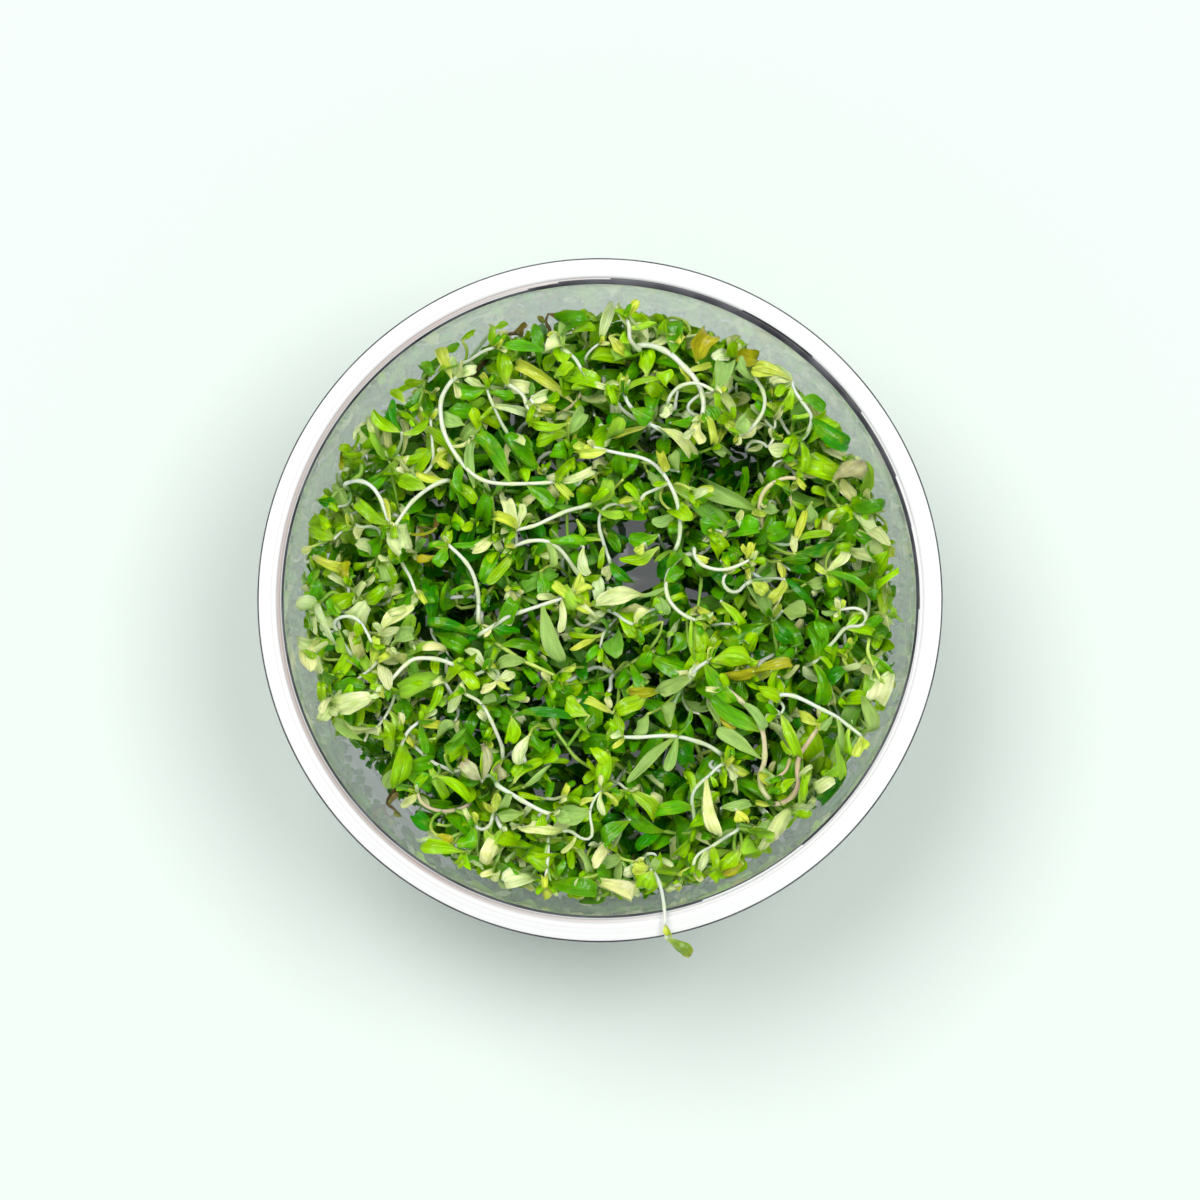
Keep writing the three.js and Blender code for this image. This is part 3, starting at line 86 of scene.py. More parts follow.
camera_data = bpy.data.cameras.new("camera")
camera_data.sensor_width = SENSOR
camera_data.lens = SENSOR * VIEW_HEIGHT / PHOTO_WIDTH_MM
camera_data.clip_start = 0.01
camera_data.clip_end = 20
camera = bpy.data.objects.new("camera", camera_data)
bpy.context.scene.collection.objects.link(camera)
camera.location = (0, (VIEW_CENTRE_Y - VIEW_HEIGHT * VIEW_LEAN) * MM,
                   (CUP_HEIGHT + VIEW_HEIGHT * math.sqrt(1 - VIEW_LEAN ** 2)) * MM)
camera.rotation_euler = (math.asin(VIEW_LEAN), 0, 0)
bpy.context.scene.camera = camera
print("lens in mm:", round(camera_data.lens, 1))


# %% One function turns a screen colour into light
def linear(hex_colour):
    """An sRGB colour such as '#84b822' as linear red, green, blue and alpha."""
    parts = [int(hex_colour[i:i + 2], 16) / 255 for i in (1, 3, 5)]
    return tuple(c / 12.92 if c <= 0.04045 else ((c + 0.055) / 1.055) ** 2.4 for c in parts) + (1.0,)


# %% One function adds a node with its settings and links
def add_node(tree, kind, settings=None, links=None):
    """Adds a node. settings fill its sockets or its own properties; links join sockets to it."""
    node = tree.nodes.new(kind)
    for name, value in (settings or {}).items():
        if isinstance(name, int) or name in node.inputs:
            node.inputs[name].default_value = value
        else:
            setattr(node, name, value)
    for name, source in (links or {}).items():
        tree.links.new(source, node.inputs[name])
    return node


def set_ramp(node, stops):
    """Gives a colour ramp its stops, each a position and a screen colour."""
    ramp = node.color_ramp
    while len(ramp.elements) < len(stops):
        ramp.elements.new(1.0)
    for element, (position, colour) in zip(ramp.elements, stops):
        element.position = position
        element.color = linear(colour)


def new_material(name):
    """A material with an empty tree."""
    material = bpy.data.materials.new(name)
    material.use_nodes = True
    material.node_tree.nodes.clear()
    return material, material.node_tree


def with_surface(material, shader):
    """The same material with the shader joined to its output."""
    add_node(material.node_tree, "ShaderNodeOutputMaterial", None, {"Surface": shader.outputs["BSDF"]})
    return material


# %% Lamps and the pale surround
def add_object(name, data):
    """A new object in the scene."""
    added = bpy.data.objects.new(name, data)
    bpy.context.scene.collection.objects.link(added)
    return added


def soft_lamp(name, place, size, power):
    """A round soft lamp that points at the cup."""
    data = bpy.data.lights.new(name, "AREA")
    data.shape = "DISK"
    data.size = size
    data.energy = power
    lamp = add_object(name, data)
    lamp.location = place
    lamp.rotation_euler = (-Vector(place)).to_track_quat("-Z", "Y").to_euler()


soft_lamp("left_lamp", (-0.8, 0.8, 2.6), 1.4, 36)
soft_lamp("right_lamp", (0.9, 0.3, 2.6), 1.2, 29)
print("lamps:", [lamp.name for lamp in bpy.data.lights])

SURROUND_STRENGTH = 0.5
world = bpy.data.worlds.new("surround")
world.use_nodes = True
world.node_tree.nodes["Background"].inputs["Color"].default_value = linear("#f1f5f3")
world.node_tree.nodes["Background"].inputs["Strength"].default_value = SURROUND_STRENGTH
bpy.context.scene.world = world
bpy.context.scene.view_settings.view_transform = "Standard"


# %% The floor
def make_floor():
    """A wide matt card, pale mint green."""
    bpy.ops.mesh.primitive_plane_add(size=12, location=(0, 0, -0.0002))
    floor = bpy.context.object
    floor.name = "floor"
    material, tree = new_material("matt_mint_card")
    shader = add_node(tree, "ShaderNodeBsdfPrincipled",
                      {"Base Color": linear("#e6f0ea"), "Roughness": 0.9, "Specular IOR Level": 0.1})
    floor.data.materials.append(with_surface(material, shader))


make_floor()

# %% [markdown]
# ## The clear cup
# The real cup is injection-moulded polystyrene: as clear as glass, 0.9 mm thick, with a wide
# stiffened rim. It is a turned shape, so one profile spun about the axis makes it. The solid
# has few sides. Here 192 sides make the rings of light on the rim run smoothly.

# %% Profile of the cup, from the middle of its underside to the middle of its floor
CUP_SIDES = 192
RIM_RADIUS = 50.5
SKIRT_DEPTH = 3.6
SKIRT_WALL = 0.7
FOOT_ROUND = 0.6
RIM_ROUND = 0.35

# The rim's top, from its outer edge to the mouth, as radius and depth: almost flat, with one groove
RIM_TOP = [(49.6, 0), (48.6, 0.02), (47.9, 0), (47.7, 0.1), (47.55, 0.4), (47.38, 0.42), (47.2, 0.4),
           (47.1, 0.1), (46.95, 0.02), (46.78, 0.06), (MOUTH_RADIUS, 0.3)]


def arc(centre, radius, start, stop, steps=5):
    """Points on part of a circle in the profile, with its angles in degrees."""
    points = []
    for i in range(steps + 1):
        angle = math.radians(start + (stop - start) * i / steps)
        points.append((centre[0] + radius * math.cos(angle), centre[1] + radius * math.sin(angle)))
    return points


def wall_line(offset, low, high, steps):
    """Points up (or down) the tapered wall, at an offset from its inside face."""
    return [(inner_radius(low + (high - low) * i / steps) + offset, low + (high - low) * i / steps)
            for i in range(steps + 1)]


def cup_profile():
    """Up the outside of the wall, round the skirt, over the rim and down the inside."""
    under_rim = CUP_HEIGHT - WALL
    skirt_inside = RIM_RADIUS - SKIRT_WALL
    points = [(0, 0), (FLOOR_RADIUS * 0.5, 0)]
    points += arc((FLOOR_RADIUS + WALL - FOOT_ROUND, FOOT_ROUND), FOOT_ROUND, -90, 0)
    points += wall_line(WALL, FOOT_ROUND + 0.6, under_rim - 0.6, 8)
    points += [(skirt_inside, under_rim), (skirt_inside, CUP_HEIGHT - SKIRT_DEPTH)]
    points += [(RIM_RADIUS, CUP_HEIGHT - SKIRT_DEPTH)]
    points += arc((RIM_RADIUS - RIM_ROUND, CUP_HEIGHT - RIM_ROUND), RIM_ROUND, 0, 90)
    points += [(radius, CUP_HEIGHT - depth) for radius, depth in RIM_TOP]
    points += wall_line(0, CUP_HEIGHT - 1, BASE + FOOT_ROUND, 8)
    points += arc((inner_radius(BASE) - FOOT_ROUND, BASE + FOOT_ROUND), FOOT_ROUND, 0, -90)
    points += [(FLOOR_RADIUS * 0.5, BASE), (0, BASE)]
    return points


def turned_mesh(name, profile, sides):
    """Spins a profile that starts and ends on the axis into a closed smooth mesh."""
    rings = [p for p in profile if p[0] > 0]
    angles = np.arange(sides) * 2 * math.pi / sides
    rows = [np.stack([r * np.cos(angles), r * np.sin(angles), np.full(sides, z)], axis=1) for r, z in rings]
    verts = np.concatenate(rows + [np.array([[0, 0, profile[0][1]], [0, 0, profile[-1][1]]])]) * MM
    first, last = len(rings) * sides, len(rings) * sides + 1
    faces = []
    for i in range(sides):
        j = (i + 1) % sides
        faces.append((first, j, i))
        top = (len(rings) - 1) * sides
        faces.append((last, top + i, top + j))
        for row in range(len(rings) - 1):
            a = row * sides
            faces.append((a + i, a + j, a + sides + j, a + sides + i))
    mesh = bpy.data.meshes.new(name)
    mesh.from_pydata(verts.tolist(), [], faces)
    mesh.polygons.foreach_set("use_smooth", [True] * len(mesh.polygons))
    mesh.set_sharp_from_angle(angle=math.radians(40))
    return add_object(name, mesh)


cup = turned_mesh("clear_cup", cup_profile(), CUP_SIDES)
print("cup faces:", len(cup.data.polygons))

# %% [markdown]
# ### Clear polystyrene and the milky rim
# Moulded polystyrene has an IOR of 1.59, and a thin wall of it hardly bends what is seen through
# it, so the finish is a quarter plain see-through and three quarters glass. Its faces come out
# of a polished mould, so the wall is sharp and glossy, with faint flow ripples, and mirrors the
# plants. The rim was moulded against a finely etched ring, which scatters the light and makes it
# look white.


# %% Clear polystyrene for the wall, an etched finish with painted shading for the rim
def moulded_clear_polystyrene():
    material, tree = new_material("moulded_clear_polystyrene")
    place = add_node(tree, "ShaderNodeTexCoord")
    ripple = add_node(tree, "ShaderNodeTexNoise", {"Scale": 1 / (9 * MM), "Detail": 2.0},
                      {"Vector": place.outputs["Object"]})
    bump = add_node(tree, "ShaderNodeBump", {"Strength": 0.12, "Distance": 0.3 * MM},
                    {"Height": ripple.outputs["Fac"]})
    shader = add_node(tree, "ShaderNodeBsdfPrincipled",
                      {"Base Color": linear("#fbfdfc"), "Roughness": 0.045, "IOR": 1.59,
                       "Transmission Weight": 1.0, "Alpha": 0.75},
                      {"Normal": bump.outputs["Normal"]})
    return with_surface(material, shader)


# Painted shading rings on the rim, from 47 mm to 51 mm off the axis: the brown line of painted shade in the
# groove comes first
PAINTED_RIM_SHADING_RINGS = [
    (0.0, "#e4e6e5"), (0.05, "#b3a39e"), (0.13, "#c3b4b0"), (0.18, "#e9e6e6"), (0.3, "#f4f4f4"),
    (0.36, "#e2dfdf"), (0.42, "#f4f4f4"), (0.56, "#ecebeb"), (0.62, "#f4f4f4"), (0.88, "#efeeee"),
]


def etched_rim_with_painted_shading():
    """White where it is etched, with grey rings of painted shading, and a rosy-brown line of painted shade
    in the groove that fades on the right.
    """
    material, tree = new_material("etched_rim_with_painted_shading")
    place = add_node(tree, "ShaderNodeTexCoord")
    flat = add_node(tree, "ShaderNodeVectorMath", {"operation": "MULTIPLY", 1: (1.0, 1.0, 0.0)},
                    {0: place.outputs["Object"]})
    radius = add_node(tree, "ShaderNodeVectorMath", {"operation": "LENGTH"}, {0: flat.outputs[0]})
    band = add_node(tree, "ShaderNodeMapRange", {"From Min": 47 * MM, "From Max": 51 * MM},
                    {"Value": radius.outputs["Value"]})
    rings = add_node(tree, "ShaderNodeValToRGB", None, {"Fac": band.outputs["Result"]})
    set_ramp(rings, PAINTED_RIM_SHADING_RINGS)
    split = add_node(tree, "ShaderNodeSeparateXYZ", None, {"Vector": place.outputs["Object"]})
    # Towards the right the painted shade of the rings fades to plain white.
    right = add_node(tree, "ShaderNodeMapRange",
                     {"From Min": -25 * MM, "From Max": 15 * MM, "To Max": 0.85},
                     {"Value": split.outputs["X"]})
    faded = add_node(tree, "ShaderNodeMix", {"data_type": "RGBA"}, {0: right.outputs["Result"]})
    tree.links.new(rings.outputs["Color"], faded.inputs[6])
    faded.inputs[7].default_value = linear("#f1f1f1")
    grain = add_node(tree, "ShaderNodeTexNoise", {"Scale": 1 / (0.4 * MM), "Detail": 3.0},
                     {"Vector": place.outputs["Object"]})
    bump = add_node(tree, "ShaderNodeBump", {"Strength": 0.15, "Distance": 0.05 * MM},
                    {"Height": grain.outputs["Fac"]})
    shader = add_node(tree, "ShaderNodeBsdfPrincipled",
                      {"Roughness": 0.35, "IOR": 1.52, "Transmission Weight": 0.15},
                      {"Base Color": faded.outputs[2], "Normal": bump.outputs["Normal"]})
    return with_surface(material, shader)


def polystyrene_edge_painted_dark():
    """Where the wall is seen edge-on its light is lost inside; the smoky grey line there is painted shade.
    """
    material, tree = new_material("polystyrene_edge_painted_dark")
    place = add_node(tree, "ShaderNodeTexCoord")
    cloud = add_node(tree, "ShaderNodeTexNoise", {"Scale": 1 / (7 * MM), "Detail": 2.0},
                     {"Vector": place.outputs["Object"]})
    tint = add_node(tree, "ShaderNodeValToRGB", None, {"Fac": cloud.outputs["Fac"]})
    set_ramp(tint, [(0.35, "#303036"), (0.65, "#5f6065")])
    shader = add_node(tree, "ShaderNodeBsdfPrincipled",
                      {"Roughness": 0.25, "IOR": 1.52, "Specular IOR Level": 0.3},
                      {"Base Color": tint.outputs["Color"]})
    return with_surface(material, shader)


# %% Which faces of the cup get which finish
CLEAR, ETCHED, EDGE = range(3)
ETCHED_DEPTH = 0.5
ETCHED_FROM = 46.8
# Between these angles in degrees the painted dark line at the rim's outer edge is broader
BROAD_OUTER_LINE = (88, 190)
LINE_INSIDE = MOUTH_RADIUS + 0.04

# How wide the painted dark line of shade round the mouth is seen, as angle in degrees and mm
LINE_WIDTHS = [(-180, 0.25), (-120, 0.3), (-60, 0.2), (-10, 0.3), (12, 0.5), (30, 0.75), (50, 1.0),
               (80, 0.95), (96, 0.7), (104, 0.3), (180, 0.25)]


def cup_finish(face):
    """The finish of a face from its radius, height and angle in degrees."""
    x, y, z = face.center / MM
    radius = math.hypot(x, y)
    angle = math.degrees(math.atan2(y, x))
    if z < CUP_HEIGHT - ETCHED_DEPTH:
        return CLEAR
    outer_line = 0.3 if BROAD_OUTER_LINE[0] < angle % 360 < BROAD_OUTER_LINE[1] else 0.2
    inner_line = np.interp(angle, *zip(*LINE_WIDTHS))
    if radius > RIM_RADIUS - outer_line or LINE_INSIDE < radius < LINE_INSIDE + inner_line:
        return EDGE
    return ETCHED if radius > ETCHED_FROM else CLEAR


cup.data.materials.append(moulded_clear_polystyrene())
cup.data.materials.append(etched_rim_with_painted_shading())
cup.data.materials.append(polystyrene_edge_painted_dark())
for face in cup.data.polygons:
    face.material_index = cup_finish(face)
print("faces with the etched finish:", sum(face.material_index == ETCHED for face in cup.data.polygons))
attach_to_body(cup, "root")
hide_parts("cup")

# %% [markdown]
# ## The gel
# The plants feed on agar gel: water set with seaweed starch, see-through but hazy, and lilac-grey
# in a thick layer. It is poured hot, so it creeps up the wall in a small meniscus and its top
# dries into shallow waves. A turned mesh has its top rings moved by a slow wave. In the photo the
# gel is light grey between the stems, because light comes in through the clear bottom of the cup
# too. Here the card under the cup lies in its shade, so a faint glow stands in for that light.

# %% Gel body
GEL_SIDES = 96


def gel_profile():
    """The side stands just off the wall, and its edge is drawn up a little."""
    low = BASE + GAP
    points = [(0, low), (FLOOR_RADIUS * 0.6, low), (inner_radius(low) - 0.9, low)]
    points += wall_line(-GAP, low + 0.6, GEL_TOP - 0.2, 4)
    points += [(inner_radius(GEL_TOP) - 0.8, GEL_TOP - 0.3)]
    points += [(radius, GEL_TOP - 0.45) for radius in range(40, 0, -4)]
    points += [(0, GEL_TOP - 0.45)]
    return points


gel = turned_mesh("agar_gel", gel_profile(), GEL_SIDES)
print("gel faces:", len(gel.data.polygons))
for corner in gel.data.vertices:
    x, y, z = corner.co / MM
    if z > GEL_TOP - 0.5 and math.hypot(x, y) < inner_radius(GEL_TOP) - 0.9:
        corner.co.z += 0.22 * MM * (math.sin(x * 0.31 + 1.3) + math.sin(y * 0.27 + x * 0.11))


def set_agar_gel():
    """Wet agar: hazy, lilac-grey, with drifting darker clouds and a wet skin."""
    material, tree = new_material("set_agar_gel")
    place = add_node(tree, "ShaderNodeTexCoord")
    cloud = add_node(tree, "ShaderNodeTexNoise", {"Scale": 1 / (11 * MM), "Detail": 3.0},
                     {"Vector": place.outputs["Object"]})
    tint = add_node(tree, "ShaderNodeValToRGB", None, {"Fac": cloud.outputs["Fac"]})
    set_ramp(tint, [(0.35, "#e2e1e8"), (0.7, "#fafafc")])
    bump = add_node(tree, "ShaderNodeBump", {"Strength": 0.3, "Distance": 0.4 * MM},
                    {"Height": cloud.outputs["Fac"]})
    shader = add_node(tree, "ShaderNodeBsdfPrincipled",
                      {"Roughness": 0.12, "IOR": 1.34, "Subsurface Weight": 1.0,
                       "Subsurface Scale": 45 * MM, "Subsurface Radius": (1.0, 1.0, 1.0),
                       "Emission Color": linear("#d5d6dc"), "Emission Strength": 0.1},
                      {"Base Color": tint.outputs["Color"], "Normal": bump.outputs["Normal"]})
    return with_surface(material, shader)


gel.data.materials.append(set_agar_gel())
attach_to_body(gel, "root")
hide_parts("gel")

# %% [markdown]
# ## Where the stems run
# Each stem is a route of points: the clump it belongs to, the height of its arch, its radius,
# and its visible part as it is seen from above, from where it leaves the mat to its tip. The
# solids are grown from the same routes, so the fine stems follow them.

# %% Main stems: upper left
STEMS = [
    ["a1", 42, 0.4, [[-21.2, 32.6], [-23.2, 30.1], [-23.5, 27.2], [-22.7, 23.8], [-20.2, 19.8],
     [-17.7, 17.7], [-14.8, 17], [-10.4, 17], [-6.6, 17.2]]],
    ["a2", 38, 0.32, [[-29.1, 18.9], [-27.6, 17.9], [-25.8, 18.5], [-24.8, 19.8], [-24.6, 21.3],
     [-24.8, 23.5], [-25, 26.6]]],
    ["a3", 40, 0.34, [[-20.8, 34.2], [-19.2, 35.3], [-17.2, 36.6], [-15.4, 37.2]]],
    ["a4", 35, 0.34, [[-26.4, 28.8], [-26.2, 30.6], [-25.9, 32.2]]],
    ["a5", 41, 0.42, [[-37.6, 16.6], [-36.6, 17.3], [-35.1, 17.3], [-33.6, 16.5], [-32.4, 14.8],
     [-31.7, 12.9], [-31.1, 11.1]]],
    ["a6", 42, 0.42, [[-22.2, 17.4], [-24.6, 16.7], [-27.3, 14.7], [-28.8, 12.9], [-30.4, 10.4]]],
    ["a7", 38, 0.34, [[-31.9, 8.9], [-32.7, 10.2], [-33.9, 10.7], [-35.1, 10.5], [-36.2, 11]]],
    ["a7", 37, 0.36, [[-29.9, 7.3], [-29.1, 5.1], [-28, 3.2], [-27, 0.6]]],
    ["a8", 35, 0.3, [[-29.7, 13.4], [-30.2, 16], [-30.8, 18.6], [-31.1, 20.6]]],
    ["a9", 36, 0.36, [[-36.6, -2], [-36.9, 0], [-37.1, 2]]],
    ["a9", 40, 0.36, [[-36.4, -8.4], [-39, -4.4], [-38.8, -3.1], [-37.2, -2.6], [-35.6, -3.2], [-34.3, -5],
     [-33.6, -6.6]]],
]
print("stems listed:", len(STEMS))

# %% Main stems: lower left
STEMS += [
    ["b1", 39, 0.36, [[-36.2, -14.2], [-36.4, -13], [-35.4, -11.7], [-33.9, -10.5], [-32.4, -9]]],
    ["b2", 42, 0.42, [[-21.4, -9.8], [-22.9, -9.2], [-25.1, -8.8], [-27.3, -8.9], [-28.8, -9.9],
     [-30.2, -11.4], [-31.4, -12.8]]],
    ["b1", 37, 0.3, [[-31.6, -13.3], [-30.2, -13.8], [-30.6, -15.5], [-31.6, -17.4], [-32.6, -18.8]]],
    ["b3", 34, 0.3, [[-38.6, -12.4], [-38.7, -14.7], [-37.8, -15.4], [-37.3, -17], [-36.5, -18.6]]],
    ["b4", 39, 0.38, [[-28.7, -24.6], [-29.2, -22.3], [-28.8, -20.6], [-27.9, -19.2], [-26.5, -18.1]]],
    ["b5", 36, 0.4, [[-20.2, -26.1], [-22.3, -25.1], [-24.6, -24.1], [-26, -22.9], [-27.4, -21.6]]],
    ["b6", 36, 0.38, [[-19.3, -30.3], [-20.8, -31], [-22.8, -31.3], [-24.8, -30.9], [-26.3, -29.9],
     [-26.8, -28.6]]],
    ["b7", 43, 0.46, [[-15.2, -27.3], [-12.6, -29], [-10.4, -30.3], [-8.4, -31.3], [-7.2, -31.7]]],
    ["b8", 43, 0.3, [[-5.4, -34.1], [-4.3, -34.2], [-3, -35.1], [-1.9, -35.4], [-1.2, -34.9], [-1.2, -33.5],
     [-1.5, -31.8], [-1.2, -30.3], [-0.5, -29], [0.3, -28.3]]],
    ["b9", 40, 0.38, [[-15.7, -31.8], [-16.1, -33.2], [-17, -33.9], [-17.9, -33.8], [-18.5, -33.2]]],
]
print("stems listed:", len(STEMS))

# %% Main stems: bottom
STEMS += [
    ["c1", 40, 0.34, [[-7.6, -35], [-7.6, -37.4], [-7.8, -39.6], [-8, -41.2]]],
    ["c2", [45.5, 47, 48.6, 50.4, 51.4, 51.5, 51.2], 0.36, [[7.3, -39.4], [8.2, -40.7], [8.9, -42.4],
     [9.3, -44.4], [9.5, -46.4], [9.5, -48.4], [9.8, -50]]],
    ["c3", 37, 0.34, [[2.3, -36.8], [2.8, -38], [4, -38.5], [5.3, -38.7]]],
    ["c4", 41, 0.34, [[20.3, -33.8], [18.4, -35.1], [16.5, -36.4], [14.7, -37.4], [13.9, -38.4],
     [13.7, -39.5]]],
    ["c4", 35, 0.32, [[13.2, -41], [11.7, -41.2], [10.4, -41.9]]],
    ["c6", 41, 0.36, [[13.8, -33.6], [13.8, -31.8], [13.5, -30.2], [13.7, -28.6], [14.6, -27.3],
     [16.2, -25.9], [17.4, -24.7], [18.4, -24.3]]],
    ["c7", 42, 0.42, [[17.8, -22.9], [16, -21.7], [13.8, -20.9], [11.4, -20.3], [8.8, -20.2], [6.1, -20.4],
     [3.4, -20.4]]],
    ["c8", 43, 0.5, [[24.7, -29.3], [23.8, -28], [23.5, -26], [24.1, -24.2], [24.2, -22], [23.9, -19.6],
     [23, -17.6], [21.6, -15.9], [20, -14.4], [18.4, -13.1]]],
    ["c9", 42, 0.5, [[25.6, -30.2], [27, -29.9], [28.3, -29], [29.1, -27.4], [29, -25.2], [29.4, -23],
     [30.6, -21.2], [31.8, -19.4], [32.6, -18.4]]],
]
print("stems listed:", len(STEMS))

# %% Main stems: right
STEMS += [
    ["d1", 44, 0.4, [[26.4, -17], [25.2, -16], [25.2, -14.9], [26.4, -14.2], [28.3, -14.3], [30.3, -15.1],
     [32.4, -16.2], [34.6, -17.3], [36.6, -18.8], [38.4, -20.2]]],
    ["d2", 37, 0.28, [[33.5, -12.4], [33.9, -14], [35.2, -15.3], [37, -16], [38.2, -17.6], [39.4, -19.2]]],
    ["d3", 42, 0.34, [[39.4, -5.8], [39.4, -7.8], [40.3, -10], [41.2, -11.8], [42.1, -13.6]]],
    ["d4", 42, 0.36, [[31.2, -9.6], [32.8, -8], [34.6, -6.1], [35.9, -4.5], [37, -4.1], [38.4, -4],
     [39.2, -3], [38.8, -1.9], [37.6, -1.4], [36.2, -1.5], [35.3, -1.6]]],
    ["d3", 39, 0.34, [[39, -8.8], [38.2, -9.7], [37, -10.2], [36.1, -9.6], [35.7, -8.4]]],
    ["d5", 36, 0.38, [[26, -8], [25.7, -5.4], [25.3, -2.8]]],
    ["d6", 41, 0.38, [[22.2, 2.6], [21.2, 1.9], [20.4, 1.1], [19.4, 1], [18.5, 1.6], [18.1, 2.7],
     [18.6, 3.7]]],
    ["d7", 42, 0.38, [[13.8, 7.4], [14, 6.2], [15.2, 4.9], [17.2, 4.3], [19, 4.4], [20.6, 5], [22.2, 5.8]]],
    ["d7", 40, 0.42, [[13.4, 6.5], [12.2, 6.3], [10.8, 5.1], [9.9, 3.4], [9.7, 1.6], [10.2, -0.2],
     [11.5, -1.8], [13.1, -2.8], [14.2, -3.2]]],
    ["d9", 39, 0.46, [[24.2, 9], [24, 10.8], [23.6, 12.6], [23.6, 14.4], [24.3, 16], [25.7, 17.2],
     [27.4, 17.8], [29, 17.8]]],
]
print("stems listed:", len(STEMS))

# %% Main stems: middle
STEMS += [
    ["e1", 36, 0.28, [[12.6, 12.6], [14, 12.5], [16.4, 13.1], [18.2, 13.1], [21, 13], [22.6, 13.1]]],
    ["e2", 43, 0.38, [[11.1, 7.2], [11.7, 9], [11.8, 11.4], [11.5, 13.6], [11, 15.4], [10.1, 17.2],
     [9.3, 18.5], [7.8, 20], [5.8, 20.9], [3.2, 21.4], [0.9, 21.9], [-1, 22.4]]],
    ["e3", 39, 0.36, [[1.6, 5], [0.9, 7], [0.4, 8.6], [-0.1, 10.4], [0, 12.3], [0.9, 13.6], [2.6, 14],
     [3.7, 13.5]]],
    ["e4", 36, 0.32, [[-4.3, 3.2], [-4.6, 6], [-4.8, 9.5], [-4.9, 12.6], [-4.9, 15.6], [-4.7, 18.4],
     [-4.5, 22]]],
    ["e5", 42, 0.4, [[-1.2, 13.8], [-2.8, 13.5], [-5, 12.9], [-7.4, 11.8], [-9.6, 10.8], [-12.4, 10.1]]],
    ["e6", 41, 0.42, [[-2.9, 3.2], [-3.9, 4.6], [-5, 6.2], [-6.3, 7.6], [-8, 8.5], [-10.4, 8.5],
     [-12.6, 7.8]]],
    ["e7", 40, 0.42, [[-17.8, -3.6], [-17.9, -0.2], [-18.2, 2], [-19, 4.2], [-20.3, 6], [-22.3, 7.9]]],
    ["e8", 41, 0.4, [[-17.8, -5.4], [-15.6, -4], [-13.4, -2.6], [-10.8, -1.7], [-8.4, -0.9], [-6, -0.1],
     [-4.4, 0.4]]],
    ["e9", 38, 0.38, [[-15.9, -6.2], [-13.4, -7.8], [-11.4, -9.1], [-9.2, -10.1], [-6.5, -11.4]]],
    ["f1", 39, 0.38, [[-14.2, -23.6], [-14.4, -21.8], [-15.2, -19.8], [-16.1, -17.8], [-17.5, -15.4],
     [-19.9, -14]]],
    ["f1", 38, 0.42, [[-20.6, -12.8], [-18.7, -11.4], [-16.9, -10.6]]],
    ["f2", 37, 0.36, [[-0.6, -25.2], [-2.2, -24.4], [-3.8, -23.2], [-5.4, -21], [-6.9, -19]]],
]
print("stems listed:", len(STEMS))

# %% Main stems: top and upper right
STEMS += [
    ["f3", 41, 0.38, [[-5.8, 36.8], [-4, 35.8], [-3, 34.4], [-2.2, 32.9], [-1.2, 32], [0.8, 31.1]]],
    ["f4", 40, 0.38, [[7.2, 25.5], [5.2, 26.6], [3.5, 27.8], [2.4, 29.2], [2, 30.6]]],
    ["f4", 43, 0.42, [[9.4, 24.5], [7.4, 25.8], [5.6, 27.2], [4.2, 28.8], [3.5, 30.5]]],
    ["f5", 42, 0.55, [[5.2, 37], [7.3, 37.5], [9.5, 36.7], [11, 35.7], [12.5, 34.2], [13.9, 32.7],
     [14.9, 30.8], [15.3, 28.8], [15.1, 27.2]]],
    ["f6", 45, 0.38, [[10, 28.9], [10.6, 30.3], [12, 31.5], [13.9, 31.9], [15.4, 31.5], [17, 30.6]]],
    ["f7", 42, 0.4, [[22.4, 32.6], [23.7, 31.4], [24.3, 29.6], [24.1, 27.8], [23.1, 26.1], [21.9, 24.8],
     [20.6, 24.2]]],
    ["f8", 42, 0.38, [[29.4, 23.2], [30.4, 24.1], [31.1, 25.7], [31.1, 27.2], [30, 28.9], [28.7, 30.8],
     [28.4, 32.2]]],
    ["f8", 37, 0.34, [[28, 23.6], [27.2, 25.4], [26, 27.6], [25, 29.4]]],
    ["f9", 38, 0.42, [[34.9, 13.8], [36, 12], [36.8, 10.4], [38.7, 9.8], [41, 8]]],
]
print("stems listed:", len(STEMS))

# %% Main stems: between the others
STEMS += [
    ["g1", 41, 0.42, [[-13.5, 31.4], [-12.2, 30.8], [-11.2, 29.8], [-10.8, 28.4], [-10, 27.6]]],
    ["g1", 39, 0.34, [[-13.4, 24], [-14.4, 25.7], [-15.4, 27.8], [-16.3, 29.8], [-16.7, 31.2]]],
    ["g2", 38, 0.3, [[-15.9, 15.2], [-15.6, 12], [-15.7, 9.4]]],
    ["g2", 37, 0.36, [[-14.3, 4.4], [-13.7, 3], [-13.2, 1.9]]],
    ["f3", 39, 0.28, [[-2, 34.7], [-2.1, 35.7], [-1.2, 36.9], [0, 37.8]]],
    ["g4", 42, 0.44, [[13, -12.4], [13.5, -11.2], [14.6, -10], [16, -9.2]]],
    ["g5", 40, 0.38, [[1, -1.7], [2.4, -2.3], [3.6, -3.2], [5, -3.9]]],
    ["g6", 36, 0.32, [[2.4, -11], [4.4, -9.6], [6.8, -8.2]]],
    ["d9", 38, 0.36, [[28.3, 12.6], [28.2, 14.2], [27.9, 15.8]]],
    ["a1", 35, 0.3, [[-9, 16.2], [-8, 17.2], [-8.2, 18.6]]],
]
print("stems listed:", len(STEMS))

# %% [markdown]
# Thinner branches show between the main stems. They have no solid of their own. Each one grows
# from the nearest main stem, so it only needs its height, its radius, its tone and its route.

